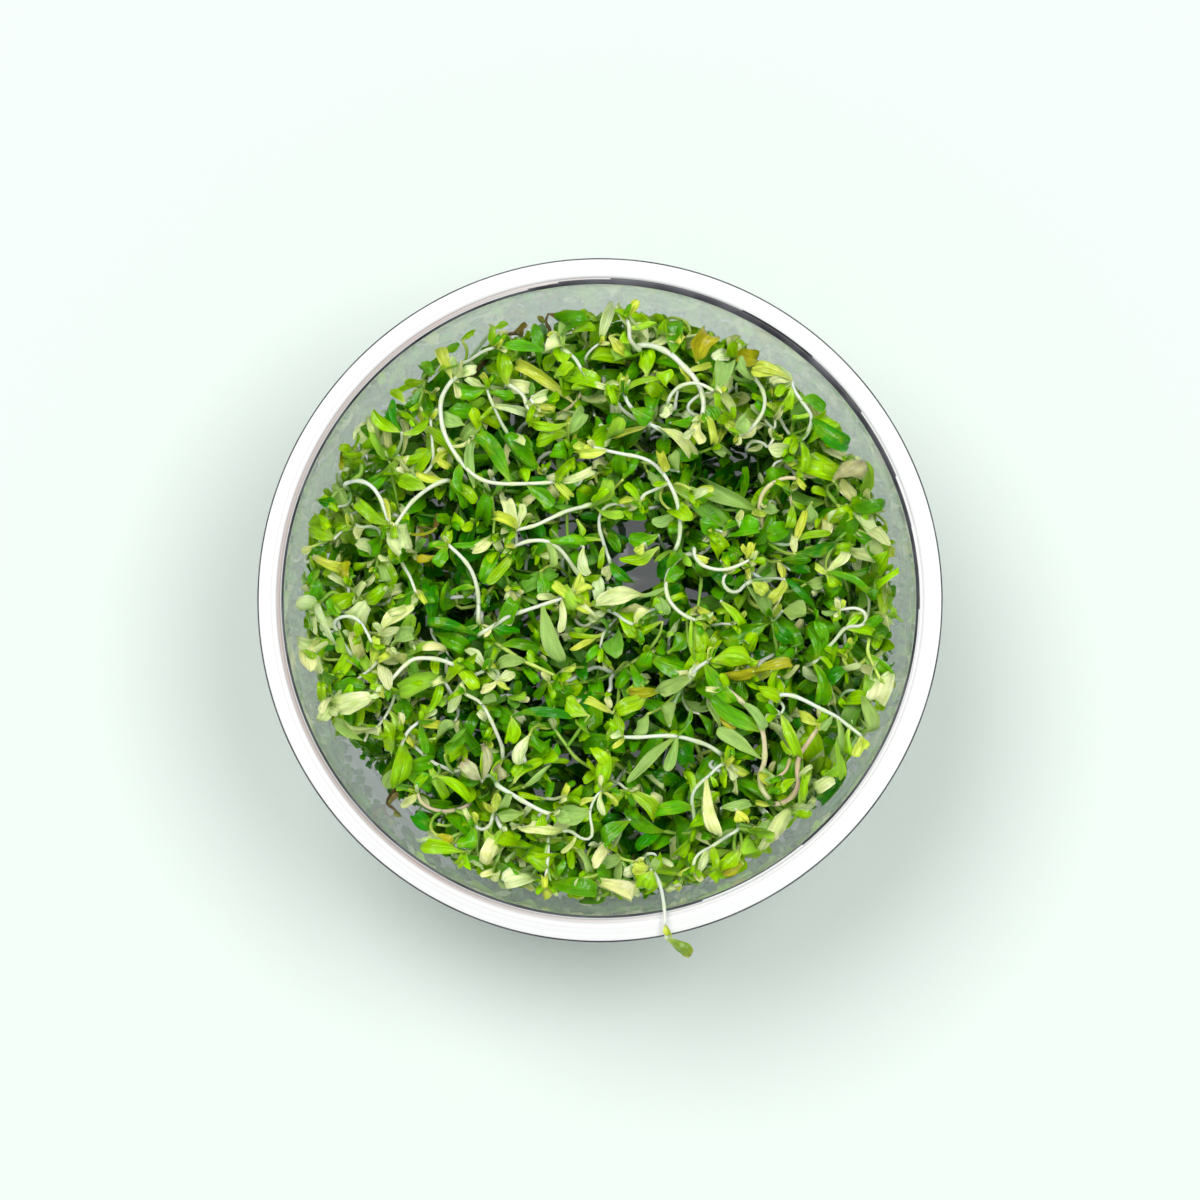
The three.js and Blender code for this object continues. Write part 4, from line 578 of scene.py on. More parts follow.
# %% Thin branches
BRANCHES = [
    [36, 0.24, "green", [[-25.8, 32.2], [-26.3, 30.2], [-26.8, 28.4]]],
    [38, 0.3, "white", [[-43.8, 6.4], [-43.4, 5.4], [-42.6, 5.6], [-42.3, 6.2]]],
    [36, 0.26, "green", [[-31.8, 7.8], [-32.6, 6.4], [-33, 4.4]]],
    [35, 0.28, "lime", [[-43.4, -4.8], [-42.4, -7.2], [-40.7, -8.8], [-38.6, -9], [-37, -8.6]]],
    [38, 0.32, "white", [[-8, -29.5], [-6.8, -29.5], [-5.6, -29.2]]],
    [38, 0.28, "white", [[1.7, -26.8], [2.8, -27.2], [4, -28.2]]],
    [37, 0.3, "green", [[9.4, -34.3], [11, -34.5], [13, -34.5], [14.3, -34]]],
    [40, 0.32, "pink", [[28, -22.4], [27.8, -24], [27.2, -25.4], [26, -26.3]]],
    [38, 0.28, "green", [[12.8, -3.1], [12.9, -5.4], [13.4, -7.8], [14.1, -9.2]]],
    [38, 0.26, "white", [[16.5, -3.9], [18, -3.7], [19.4, -3.8]]],
    [37, 0.28, "green", [[18.6, -12.4], [20.4, -12.4], [22, -12.1]]],
    [38, 0.26, "white", [[2.6, -2.7], [1.4, -4], [0.5, -5.2], [0.2, -6.4], [-0.1, -7.6]]],
    [35, 0.26, "beige", [[-20.8, -23.6], [-18.6, -22], [-16.8, -21.4]]],
    [36, 0.22, "green", [[-6.3, -15], [-7, -16.4], [-8.4, -16.8]]],
    [37, 0.36, "lime", [[-21.6, 23], [-21, 23.6], [-19.2, 23.6]]],
    [37, 0.3, "beige", [[-6.4, 27.2], [-4.6, 28.2], [-3.2, 29.6], [-2.6, 31.4]]],
    [44, 0.36, "white", [[5.8, 36.8], [5, 37.6], [4.4, 38.6], [4.3, 40.2], [4, 41.4]]],
    [41, 0.28, "white", [[14.6, 27], [13.4, 27.4], [13, 28.4], [13.7, 29.4], [15, 30.2], [16.6, 30.5]]],
    [38, 0.26, "white", [[24.3, 26.4], [25, 25.6], [25.8, 25.2], [25.8, 27]]],
    [42, 0.3, "lime", [[11, 16.9], [12.4, 16.7], [13.8, 15.8]]],
    [37, 0.28, "lime", [[9.4, 16.6], [8.9, 15], [9.6, 13.7], [11.3, 12.6]]],
    [42, 0.3, "white", [[10, 16.9], [8.1, 16.1], [6.6, 15.4], [5.8, 14.4]]],
    [36, 0.26, "green", [[15.4, 10.8], [16.2, 9.8]]],
    [37, 0.28, "green", [[14.9, 3], [14.6, 0], [14.4, -1.6]]],
    [36, 0.26, "green", [[14, 21.4], [15.4, 21.8], [16.8, 22.4]]],
    [38, 0.3, "white", [[21.6, 22], [22.4, 23.2], [24, 23], [24.8, 22.4], [25.6, 23.6]]],
    [38, 0.26, "white", [[25.6, 17.4], [25.3, 18.6], [25.8, 20], [27, 20.5]]],
    [39, 0.26, "lime", [[10.4, 41.8], [12.6, 41], [13.3, 39.4], [12.4, 38.4]]],
    [37, 0.26, "lime", [[40, 13], [42.8, 11.4], [42, 9.6]]],
    [37, 0.3, "white", [[-3.6, -3], [-2.8, -3.9], [-1.8, -3.9], [-1, -3.2]]],
    [43, 0.26, "white", [[26.4, -15.2], [27, -16], [26.6, -16.9], [25.8, -17]]],
    [38, 0.24, "white", [[-4.8, 17], [-4, 16.6], [-3.2, 16.8], [-2.4, 17.8]]],
    [41, 0.32, "white", [[-12.6, 9.6], [-12.3, 8.6], [-12.5, 7.8], [-13, 7]]],
    [42, 0.3, "white", [[-9.8, 27.6], [-8.4, 28.2], [-7.9, 29.4], [-9, 30.2], [-10.2, 29.6], [-9.6, 28.6]]],
    [40, 0.26, "white", [[6.4, -38.4], [7, -37.6], [8, -37.6], [8.4, -38.4]]],
]
print("branches listed:", len(BRANCHES))

# %% [markdown]
# ## Where the leaves sit
# Each leaf is one row: where it leaves its stem, where its tip is, its width, and its tone.
# The tones are d deep green, m mid green, l lime, y yellow-lime, w whitish young leaf,
# p pale underside turned up, b browned, and r rolled and rosy.

# %% Leaves that show from above: upper left
LEAVES = [
    [-21.8, 32, -24, 37.4, 1.8, "y"], [-24.3, 33.3, -28.3, 36.8, 2.4, "m"],
    [-25.9, 32.2, -29.8, 32.8, 1.5, "l"], [-26.2, 32.2, -31.2, 31.6, 0.9, "l"],
    [-28.8, 28.9, -31.2, 31.2, 1.3, "l"], [-26.6, 31.7, -28.3, 28.2, 1.8, "m"],
    [-25.8, 31.8, -26.3, 29.6, 1.2, "d"], [-25, 27.4, -29, 27.5, 1.6, "w"],
    [-25.6, 28.3, -22.9, 30.2, 2, "m"], [-25.4, 32, -22.6, 30.4, 1.4, "d"],
    [-29.3, 24.6, -33.5, 27.9, 1.8, "l"], [-29, 24.4, -25.4, 26.6, 1.4, "l"],
    [-33.2, 24, -34.4, 26.9, 1.2, "w"], [-28.6, 25.6, -30.8, 29.4, 1.8, "d"],
    [-33.5, 22.3, -35.5, 25.2, 1.8, "m"], [-30.6, 21, -35.3, 21.4, 1.9, "m"],
    [-30.8, 20.8, -25.6, 21.7, 1.6, "l"], [-30.9, 19.8, -29.3, 17, 1.2, "l"],
    [-31.4, 18.6, -33.6, 16.6, 2.2, "m"], [-38.2, 18.9, -38, 21.8, 1.2, "b"],
    [-37.2, 20.8, -35.5, 18.2, 2.2, "m"], [-20.4, 38.2, -18.8, 39.3, 0.9, "l"],
    [-23, 36.4, -20.8, 37.8, 1.4, "m"], [-15.4, 37.4, -15.9, 40.4, 1.1, "l"],
    [-15.7, 40, -13.6, 40.8, 1.1, "l"], [-15.8, 40.2, -17.2, 42.6, 0.9, "w"],
    [-15.2, 37, -8.4, 36.9, 2, "m"], [-16.8, 31, -21, 31.4, 3, "m"], [-17.4, 26.4, -22.4, 27.8, 2.6, "m"],
    [-20, 25.6, -23, 26.8, 2, "p"], [-20.6, 24, -18, 25.8, 1.8, "p"], [-15.4, 28.4, -17.8, 26, 0.9, "l"],
    [-15.8, 30.6, -12.6, 30, 1.8, "m"],
]
print("leaves listed:", len(LEAVES))

# %% Leaves that show: top middle
LEAVES += [
    [-14.2, 32.3, -14.5, 36.4, 2.4, "l"], [-8.8, 33.8, -9.6, 40.7, 1.7, "m"],
    [-4.8, 37.4, -4.9, 42, 1.6, "p"], [-4.2, 39.4, -0.6, 40, 1.4, "l"], [-5.6, 39, -7.8, 39.1, 0.9, "y"],
    [-5.6, 36.4, -8.2, 33.8, 1.6, "l"], [-4.6, 29.4, -12.4, 34.4, 2, "y"], [-6.6, 32.8, -4, 34.8, 1.6, "l"],
    [-10.8, 28.8, -8, 30, 1.8, "w"], [-10.4, 27.8, -8, 27.5, 1.4, "y"], [-15, 29, -11, 27.4, 1.4, "w"],
    [-4.6, 26, -10.4, 26, 1.5, "l"], [-5.4, 24.6, -4.4, 26.8, 1.2, "y"], [-5.4, 24.4, -9.4, 23.2, 2.2, "l"],
    [-4.2, 24.4, -2.4, 27.4, 2.2, "p"], [-3.2, 27.8, -1.2, 30.8, 2, "m"], [0, 37.9, 2, 43.4, 1.6, "w"],
    [-2, 34.8, 3.4, 35.2, 2.4, "l"], [-0.8, 33.2, 2.6, 33, 2.2, "m"], [3.4, 30.6, 3.2, 33.4, 1.3, "l"],
    [3.8, 30.8, 8, 32.2, 1.2, "l"], [-1.2, 32, -4.2, 31, 1.2, "l"], [4, 41.2, 2.2, 42.8, 0.9, "l"],
    [4.9, 38, 3.2, 39.2, 1.6, "l"], [1.4, 38.8, 3.6, 36.2, 1.6, "y"], [5.2, 40, 8.4, 40.8, 1.2, "l"],
    [7, 37.6, 10.4, 39.6, 1.6, "w"], [10.6, 36.4, 11.8, 40.9, 2.6, "m"], [7, 32.8, 6.4, 36.4, 2.6, "l"],
    [8.2, 33.6, 9.8, 31.6, 2.6, "l"], [5.4, 29.2, 7.6, 26.9, 2.6, "m"], [5.4, 25.4, 1.2, 25.6, 2.6, "d"],
    [-0.8, 27, 0.4, 23.6, 1.8, "m"],
]
print("leaves listed:", len(LEAVES))

# %% Leaves that show: upper right
LEAVES += [
    [14.4, 35, 16, 38.8, 3.4, "b"], [16.6, 37.8, 18.4, 37.6, 1.8, "l"], [18.2, 36.8, 21.8, 37.8, 1.2, "l"],
    [20.4, 36.8, 23.2, 35.4, 2.6, "b"], [11.4, 35, 13.2, 31.8, 1.4, "y"], [13.2, 33.8, 16.4, 34.6, 1, "y"],
    [15.2, 32.6, 19.6, 35.4, 3, "w"], [17.6, 31, 18.4, 34.6, 2.6, "p"], [23.4, 32.5, 20.6, 35.8, 1.6, "p"],
    [26.6, 33.4, 22.4, 33.8, 1.6, "y"], [18.6, 30.6, 19.6, 33, 1.4, "w"],
    [18.4, 30.2, 19.4, 26.8, 2.2, "l"], [20.2, 31.8, 22.8, 31, 2, "m"], [16, 28.4, 17.2, 26.4, 2, "m"],
    [10, 28.8, 9.1, 26.8, 1.6, "w"], [15.1, 27.4, 14.6, 22.8, 2, "w"], [15.3, 27, 16.6, 23, 1.2, "y"],
    [28.2, 32.3, 23.6, 33.6, 1.8, "y"], [28.2, 32, 25.4, 31.8, 1.6, "w"],
    [28.4, 31.6, 25.8, 30.2, 1.6, "l"], [28.3, 31.2, 28, 28, 1.3, "l"], [29.6, 29.6, 33.2, 28, 2.2, "m"],
    [31.1, 27, 28.4, 26.6, 1, "l"], [31.2, 26.9, 33.4, 27.8, 0.9, "l"], [31.6, 26.4, 36.6, 22.6, 3.2, "d"],
    [20.2, 24.4, 21.6, 26.8, 2.2, "p"], [20.6, 24.2, 18.8, 26, 1.2, "y"], [14, 25, 12.2, 24, 1.2, "w"],
    [8.8, 24.9, 13.5, 21.6, 2, "w"], [7, 25.4, 1.6, 23.8, 1, "y"], [10.4, 26, 13.8, 26.3, 1.4, "m"],
    [2.4, 31, -0.6, 31.6, 1.2, "w"],
]
print("leaves listed:", len(LEAVES))

# %% Leaves that show: left
LEAVES += [
    [-37.4, 12.4, -39.2, 17, 2, "p"], [-31, 11, -35.6, 14.4, 2, "l"], [-31.2, 11.2, -32, 14.8, 0.8, "y"],
    [-32, 9, -28.2, 9.2, 3, "p"], [-22.4, 17.4, -27, 18.9, 1.4, "y"], [-22.2, 17.3, -18.2, 14.3, 1.8, "l"],
    [-22.4, 17, -19.8, 13.4, 2, "m"], [-25.4, 16, -29.6, 17.6, 2.4, "l"],
    [-27.7, 17.3, -24, 16.8, 1.2, "m"], [-38.6, 13.6, -41.6, 14.6, 1.6, "l"],
    [-39.2, 8.8, -42.8, 10.6, 3.4, "l"], [-41.6, 6, -38.8, 4.7, 1.6, "y"], [-37.1, 1.8, -38.3, 5, 3.2, "b"],
    [-36.2, 11, -35.3, 9.2, 1.8, "w"], [-32.4, 8.8, -35.6, 6.8, 2.4, "m"], [-33, 5, -32, 2.6, 2.2, "p"],
    [-24.2, 6.2, -26.8, 6.2, 1.4, "b"], [-28.9, 6.6, -26.6, 3.2, 2, "m"], [-27.3, 1.2, -26, -0.4, 1.4, "y"],
    [-25, -3.6, -25.2, 1.8, 2.4, "d"], [-43, 1.6, -41.8, 3.8, 1.3, "m"], [-38.3, -2, -39.9, 0, 1.4, "m"],
    [-37.2, -3, -36.3, -5.6, 1.8, "l"], [-36, -3.4, -35.2, -5.2, 1.4, "l"],
    [-34.2, -10, -32.8, -5.8, 1.5, "y"], [-36.4, -8.3, -34.6, -10.2, 1.6, "m"],
    [-38.4, -7.4, -41.2, -5.4, 3, "d"], [-34.1, -10.8, -31.8, -12.1, 1, "w"],
    [-32.8, -9.5, -29.9, -7.8, 1.4, "w"], [-32.4, -5.2, -33.4, -3.6, 1.2, "w"],
    [-31.4, -4.8, -27.6, -0.8, 2.2, "w"], [-28.5, -1.2, -31.1, -2.1, 1.1, "w"],
    [-30.6, -7, -27.6, -5.2, 2.6, "p"], [-31.4, -12.7, -33.8, -14.6, 0.9, "w"],
    [-31.5, -17.4, -30.9, -22.6, 3.2, "l"], [-31, -16.6, -29.3, -21, 1.8, "l"],
    [-34.6, -21, -39.2, -17.8, 1.9, "p"], [-38.6, -14.2, -38.4, -12, 0.9, "y"],
    [-35, -15.4, -32.2, -16.2, 2.4, "l"], [-31, -15.6, -27.6, -16.6, 3, "m"],
    [-26.4, -17.8, -24, -12.8, 1.4, "l"], [-26.2, -17.8, -24, -16.3, 0.8, "w"],
    [-25.6, -18.6, -25.5, -22.8, 1.4, "m"], [-28.6, -24.8, -24.6, -23.8, 2, "m"],
    [-29.2, -24.8, -31.6, -27.8, 2.2, "p"], [-28.8, -25.6, -24.6, -27.3, 2.6, "m"],
    [-25.9, -23.9, -22.6, -29, 1.6, "l"], [-26.6, -28.4, -29.3, -30.2, 1.8, "w"],
    [-24, -33.2, -27.4, -32, 2.4, "d"], [-21.8, -24, -18.5, -27.9, 1.4, "l"],
    [-24.5, -26.4, -19.3, -29.7, 1.7, "l"], [-15.4, -27, -14.8, -24.3, 2.6, "r"],
    [-17.4, -27, -20, -24, 2.2, "r"], [-17.2, -26.5, -16.7, -22, 1.1, "l"],
]
print("leaves listed:", len(LEAVES))

# %% Leaves that show: middle left
LEAVES += [
    [-7.4, 17, -1.4, 19, 1.4, "w"], [-8.2, 18.6, -14.2, 24, 2.8, "m"], [-12.9, 16.8, -18.4, 24, 2.4, "m"],
    [-18.6, 16.6, -18.8, 23, 1.8, "p"], [-20.6, 20, -20.4, 15.8, 1.6, "m"],
    [-22.4, 22.4, -19.2, 23.6, 0.8, "w"], [-24.6, 20.6, -22.2, 19.4, 1.2, "y"],
    [-24.8, 19.6, -22.4, 21.6, 1.2, "y"], [-15.8, 9.2, -18.8, 7.1, 1.6, "w"],
    [-15.9, 9.3, -21.8, 7.9, 0.9, "m"], [-12.9, 10.1, -13.6, 14.2, 1.8, "w"],
    [-12.6, 10.2, -11.4, 14, 1.3, "w"], [-12.8, 7.6, -16.6, 2.2, 1.8, "l"],
    [-14.6, 8.6, -17.4, 2.4, 2.2, "m"], [-13.2, 1.9, -11.8, -0.3, 1.5, "w"],
    [-18.2, 1.8, -22, 0.6, 1.2, "m"], [-22, 8, -24, 4.8, 2, "m"], [-7.6, 9, -2, 8.2, 2.2, "m"],
    [-4.6, 20.6, -3.4, 23.6, 1, "m"], [0.8, 21.9, -2.8, 21.4, 1.4, "y"], [-1.4, 22.6, -3.8, 22.8, 1.2, "y"],
    [-11, 15.8, -6.8, 13.8, 2.2, "m"], [-5.2, 15.4, -8, 12.8, 0.8, "m"], [-2.4, 7.6, -1.8, 3.4, 1.6, "w"],
    [0.2, 8.5, -4, 7.6, 0.8, "l"], [-4.4, 0.4, -1.6, -1.4, 2.2, "y"], [-4.4, 0.6, -6.8, 2.2, 1.4, "y"],
    [-4.2, 0.8, -2.8, 3.6, 1.4, "y"], [-4.2, 0.6, -1.2, 1.4, 1.8, "y"], [-8.8, 4, -8.2, 0.6, 2, "m"],
    [-8.2, 7.8, -7, 4.6, 1.6, "p"], [-18, -5.4, -24.8, -4.4, 1.8, "d"], [-24, -5, -20, -7.2, 2.6, "m"],
    [-16.2, -4, -12.6, -0.4, 2.6, "m"], [-15.6, -4.2, -11.8, -4.8, 2.4, "d"],
    [-15.8, -6.2, -19.6, -6.6, 1, "l"], [-14.5, -7, -8.8, -7, 1.8, "m"],
    [-10.8, -9.4, -14.8, -10, 1.8, "p"], [-10.6, -10, -9.6, -8.2, 2.2, "l"], [-8.2, -1.2, -6, -9, 2.8, "p"],
    [-5.4, -0.4, -5.7, -5, 1.2, "w"], [-17, -10.6, -19.6, -7.4, 1.7, "w"],
    [-16.9, -10.6, -15.6, -10, 1.2, "y"], [-20.4, -12.8, -22.4, -16.8, 1.6, "w"],
    [-20.8, -12.4, -21, -9.6, 1.4, "w"], [-15.2, -12.2, -17.4, -13.4, 1.4, "w"],
    [-16, -12.4, -12.6, -10.8, 1.6, "w"], [-17, -14.6, -15.2, -15, 1.6, "p"],
    [-13, -17.4, -13.4, -21, 2, "l"], [-10.4, -20.2, -11.6, -24.4, 2, "w"],
    [-9.6, -19.6, -8.4, -22.4, 1.8, "m"], [-8, -24, -6.2, -21.4, 1.2, "m"],
    [-1.6, -17.2, -5, -14.8, 2.6, "l"], [-1.8, -14.2, -3.8, -13, 2, "d"],
    [-7.6, -12.4, -7.1, -15.2, 1.1, "l"], [-22.8, -23, -20.2, -19.4, 3.2, "m"],
    [-24.2, -20.6, -21.4, -19, 2, "p"], [1.8, -16.9, -1.8, -15.2, 1.4, "y"],
]
print("leaves listed:", len(LEAVES))

# %% Leaves that show: middle right
LEAVES += [
    [10.3, 17, 16.4, 14.6, 2.2, "l"], [10.1, 17.2, 7.8, 16.8, 0.9, "l"], [11.4, 12.4, 7.6, 11.3, 1.8, "p"],
    [22.8, 13.2, 16.6, 16.8, 2.8, "p"], [16, 13.1, 13.2, 11.6, 0.9, "y"], [16.2, 9.8, 17.4, 7.2, 2.6, "l"],
    [18, 9.9, 21, 11.4, 1, "m"], [21, 10.4, 23.6, 10.6, 1.4, "p"], [13.6, 3.4, 16.2, 4, 1.4, "w"],
    [8.6, 7.6, 2.8, 5.8, 1.8, "l"], [6.6, 8.2, 5, 7, 1.6, "y"], [8.6, 9.4, 4.2, 8.6, 2.6, "m"],
    [10, 7, 8.4, 3.6, 3, "d"], [10.2, 2.4, 12, 4.4, 2, "m"], [0.2, 11.4, 6.4, 12.8, 2.2, "m"],
    [3.4, 13.6, 0.4, 17.8, 1.6, "m"], [3.8, 13.5, 5.4, 14.4, 1.3, "y"], [5.2, 14.6, 3.8, 17, 1.2, "l"],
    [3.4, 17.6, 4.8, 20.8, 2, "m"], [7, 18.8, 8, 16.6, 1.6, "p"], [9.6, 18.6, 8.9, 21.4, 1.5, "y"],
    [11.6, 18.8, 11.2, 22, 1.8, "p"], [16.8, 22.6, 18.8, 21.4, 1.8, "p"], [21.7, 22, 24, 23, 0.9, "w"],
    [22.2, 5.8, 22.4, 8.3, 1.3, "y"], [22, 5.7, 20.8, 7.8, 0.9, "y"], [18.2, 8, 21, 6.4, 0.8, "m"],
    [14.1, 6.9, 15.8, 5.8, 1, "y"], [17.8, 5.6, 19.6, 6.8, 1.8, "m"], [22.4, 2.2, 24.4, 0.8, 2.2, "y"],
    [22, 2.6, 21.4, 4.2, 1.4, "y"], [1.5, 5, 0.8, 3.2, 1.6, "w"], [1.6, 5.6, 5, 2.4, 1.6, "d"],
    [0.5, 8, 0, 4.4, 1, "l"], [8.8, 1.8, 4.4, 0.2, 1, "p"], [30.2, 19, 28, 23.4, 2.6, "p"],
    [25.6, 17.4, 26.8, 20.4, 1, "p"], [29.2, 16.9, 33.4, 18.6, 2.2, "w"],
    [34.4, 17.4, 38.6, 20.2, 3.2, "r"], [28.3, 13.8, 27.6, 10.8, 1.4, "l"],
    [28.1, 14.6, 30.8, 13.6, 1, "l"], [31.2, 14.2, 31.2, 10.9, 2, "p"], [28.8, 8.4, 30.3, 13, 1.2, "y"],
    [32, 9.6, 33.5, 12.6, 0.9, "b"], [29.4, 8, 34, 9.6, 1.1, "l"], [28.8, 6.6, 28.8, 9, 1.4, "w"],
    [24.2, 9.4, 27.4, 10.4, 2.8, "m"], [24, 13.4, 26.4, 13, 1.8, "p"], [33.3, 3.8, 36.4, 6.8, 1.5, "w"],
    [33.4, 3.6, 31.8, 4.8, 1, "y"], [29, 7.2, 35, 8.6, 1.8, "d"], [26.6, 5.6, 31, 5.4, 1.8, "m"],
    [26.4, 4.6, 27, 2.6, 1.2, "y"], [27.2, 2.8, 25.2, 0, 1.8, "y"], [31.8, -1.8, 27.6, 3, 1.8, "d"],
    [28, 4.2, 31, 3.8, 1.4, "d"], [30.4, 2.2, 32.6, 2.6, 1.8, "p"], [33, 3.2, 35.2, 2, 1.8, "l"],
    [34.8, 14.2, 37.2, 14, 1.8, "y"], [40.8, 8.2, 43.4, 6.6, 2, "y"], [36.8, 10.2, 40, 8.2, 1.6, "m"],
    [37.4, 12.4, 40.6, 13.2, 1, "m"], [39.6, 8.4, 40.8, 5.2, 2.4, "m"], [35.6, 3.6, 39.6, 4.6, 1.1, "m"],
    [34.4, 3.2, 39.6, 1, 1.2, "m"], [26.2, 6.4, 23.4, 3, 2.8, "p"],
]
print("leaves listed:", len(LEAVES))

# %% Leaves that show: lower right
LEAVES += [
    [6.4, 0.6, -0.6, -0.7, 2.6, "w"], [4.8, -3.8, 7, -1.7, 1.6, "w"], [9.2, -3.4, 5.6, -5.2, 1.3, "l"],
    [8.4, 0.2, 9.6, -2.4, 2, "p"], [14.1, -3.2, 15, -8, 2.4, "l"], [13.2, -3, 14, -9, 0.7, "l"],
    [17.8, -0.4, 20.6, -3.6, 1.4, "l"], [24.8, -3.8, 18, -6, 3, "m"], [16, -9.3, 22.2, -9.2, 3, "l"],
    [15.4, -10, 19.6, -15.2, 2.2, "m"], [13, -11.8, 8.6, -13.8, 2.6, "p"], [9, -13.6, 4.2, -13.8, 2, "b"],
    [6.8, -14.2, 2.4, -16.4, 2.4, "l"], [3, -16.4, 1.4, -21, 2.2, "l"], [10.2, -18.8, 9.2, -15.8, 2.6, "p"],
    [7, -17, 5, -19.6, 2.2, "p"], [11.2, -20.5, 9.8, -25.4, 1.7, "p"], [10.8, -20.4, 4, -27.2, 1.6, "p"],
    [11.4, -20, 13.4, -16.2, 0.7, "m"], [14.6, -17, 16.4, -20, 1.3, "m"],
    [20.8, -14.9, 24.4, -19, 1.4, "p"], [23.6, -19.4, 16.4, -14.6, 2.4, "m"],
    [23.9, -23.6, 17.4, -19, 2.2, "p"], [17.4, -16, 19.8, -19.2, 1.6, "b"],
    [12.2, -14.8, 16.6, -16, 1.4, "p"], [25.4, -10.2, 18.6, -11.6, 1.8, "b"],
    [22.6, -10.8, 27.7, -9.8, 1.6, "b"], [2.2, -11, 3.6, -13.8, 1.8, "w"],
    [4.6, -9.8, 6.2, -13.2, 1.6, "m"], [6.9, -8.2, 12.6, -10.4, 3, "m"], [10, -8, 12.6, -5.2, 2.4, "m"],
    [0.4, -5, -4.4, -7.6, 0.9, "y"], [0.2, -5.2, -4.6, -5, 0.8, "l"], [26.9, -1.8, 30.3, -2.4, 3, "p"],
    [25.4, -2.7, 22.4, 1.6, 2.8, "p"], [25.5, -3.2, 28.2, -6.4, 2.2, "d"], [26.2, -7.8, 28, -4.4, 1.2, "l"],
    [35.2, -1.6, 33.8, -2.6, 1, "l"], [35.2, -1.8, 34.8, -3.4, 1.2, "l"], [35.3, -1.5, 34.8, 0.1, 0.9, "w"],
    [35.4, -1.4, 36, -0.2, 1, "y"], [36, -4.5, 39.8, -5.4, 1.5, "l"], [36.2, -4, 38.4, -2.4, 1, "l"],
    [39.8, -5.2, 42.4, -4.8, 2.2, "m"], [31.4, -9.6, 32.6, -15.6, 2.6, "m"],
    [32.2, -8.6, 33.9, -10.3, 1, "l"], [31.8, -9, 30.6, -4.2, 1.6, "m"], [33.4, -7.4, 31.8, -3.4, 1.8, "m"],
    [35.8, -8.8, 36, -8, 0.9, "y"], [39.6, -8.2, 42.4, -10.8, 2, "m"], [39.4, -9.2, 38.8, -15, 2, "l"],
    [41, -11.4, 43.8, -11.6, 1.2, "w"], [42, -13.4, 43.4, -12, 1.6, "w"], [41.2, -12, 41, -15.6, 1.6, "l"],
    [38.4, -14.4, 40, -19.4, 2.2, "p"], [41.2, -15, 42.4, -17, 2, "l"], [37, -15.6, 35.2, -14.8, 1, "l"],
    [35, -17.6, 34.8, -24.2, 1.8, "p"], [34.2, -17.1, 32.4, -19.2, 1.4, "p"],
    [32.4, -18.6, 29.4, -17, 1.6, "y"], [31.8, -19.5, 33, -17.8, 1.4, "y"],
    [26.6, -17.4, 28.6, -22.6, 1.7, "l"], [29.2, -23, 26.6, -21, 0.9, "l"],
    [38.4, -20.2, 39.4, -22, 1.2, "y"], [38.2, -20.4, 37.2, -23.2, 1.6, "y"],
    [36.6, -18.9, 36.8, -23, 1.2, "l"], [28, -10, 27, -13.2, 1.2, "m"], [28.6, -8.6, 30.2, -9.9, 1.8, "m"],
    [36, -10.8, 33.6, -11.8, 2.2, "d"], [29, -26.6, 26.4, -28.4, 1.5, "l"],
    [24.6, -29, 26.4, -28, 1.5, "m"], [29.2, -26.2, 31.2, -24.8, 0.8, "w"],
    [30.9, -25.2, 29.7, -29.8, 2, "l"], [23.9, -24.8, 25.5, -27.2, 1.6, "p"],
    [25.4, -30, 22.8, -29.8, 1, "y"], [36.2, -23.4, 32.6, -29.2, 2.6, "d"],
    [24.6, -31.5, 26.6, -33.8, 1.6, "m"], [22.8, -33.6, 25.4, -34, 2.2, "p"],
]
print("leaves listed:", len(LEAVES))

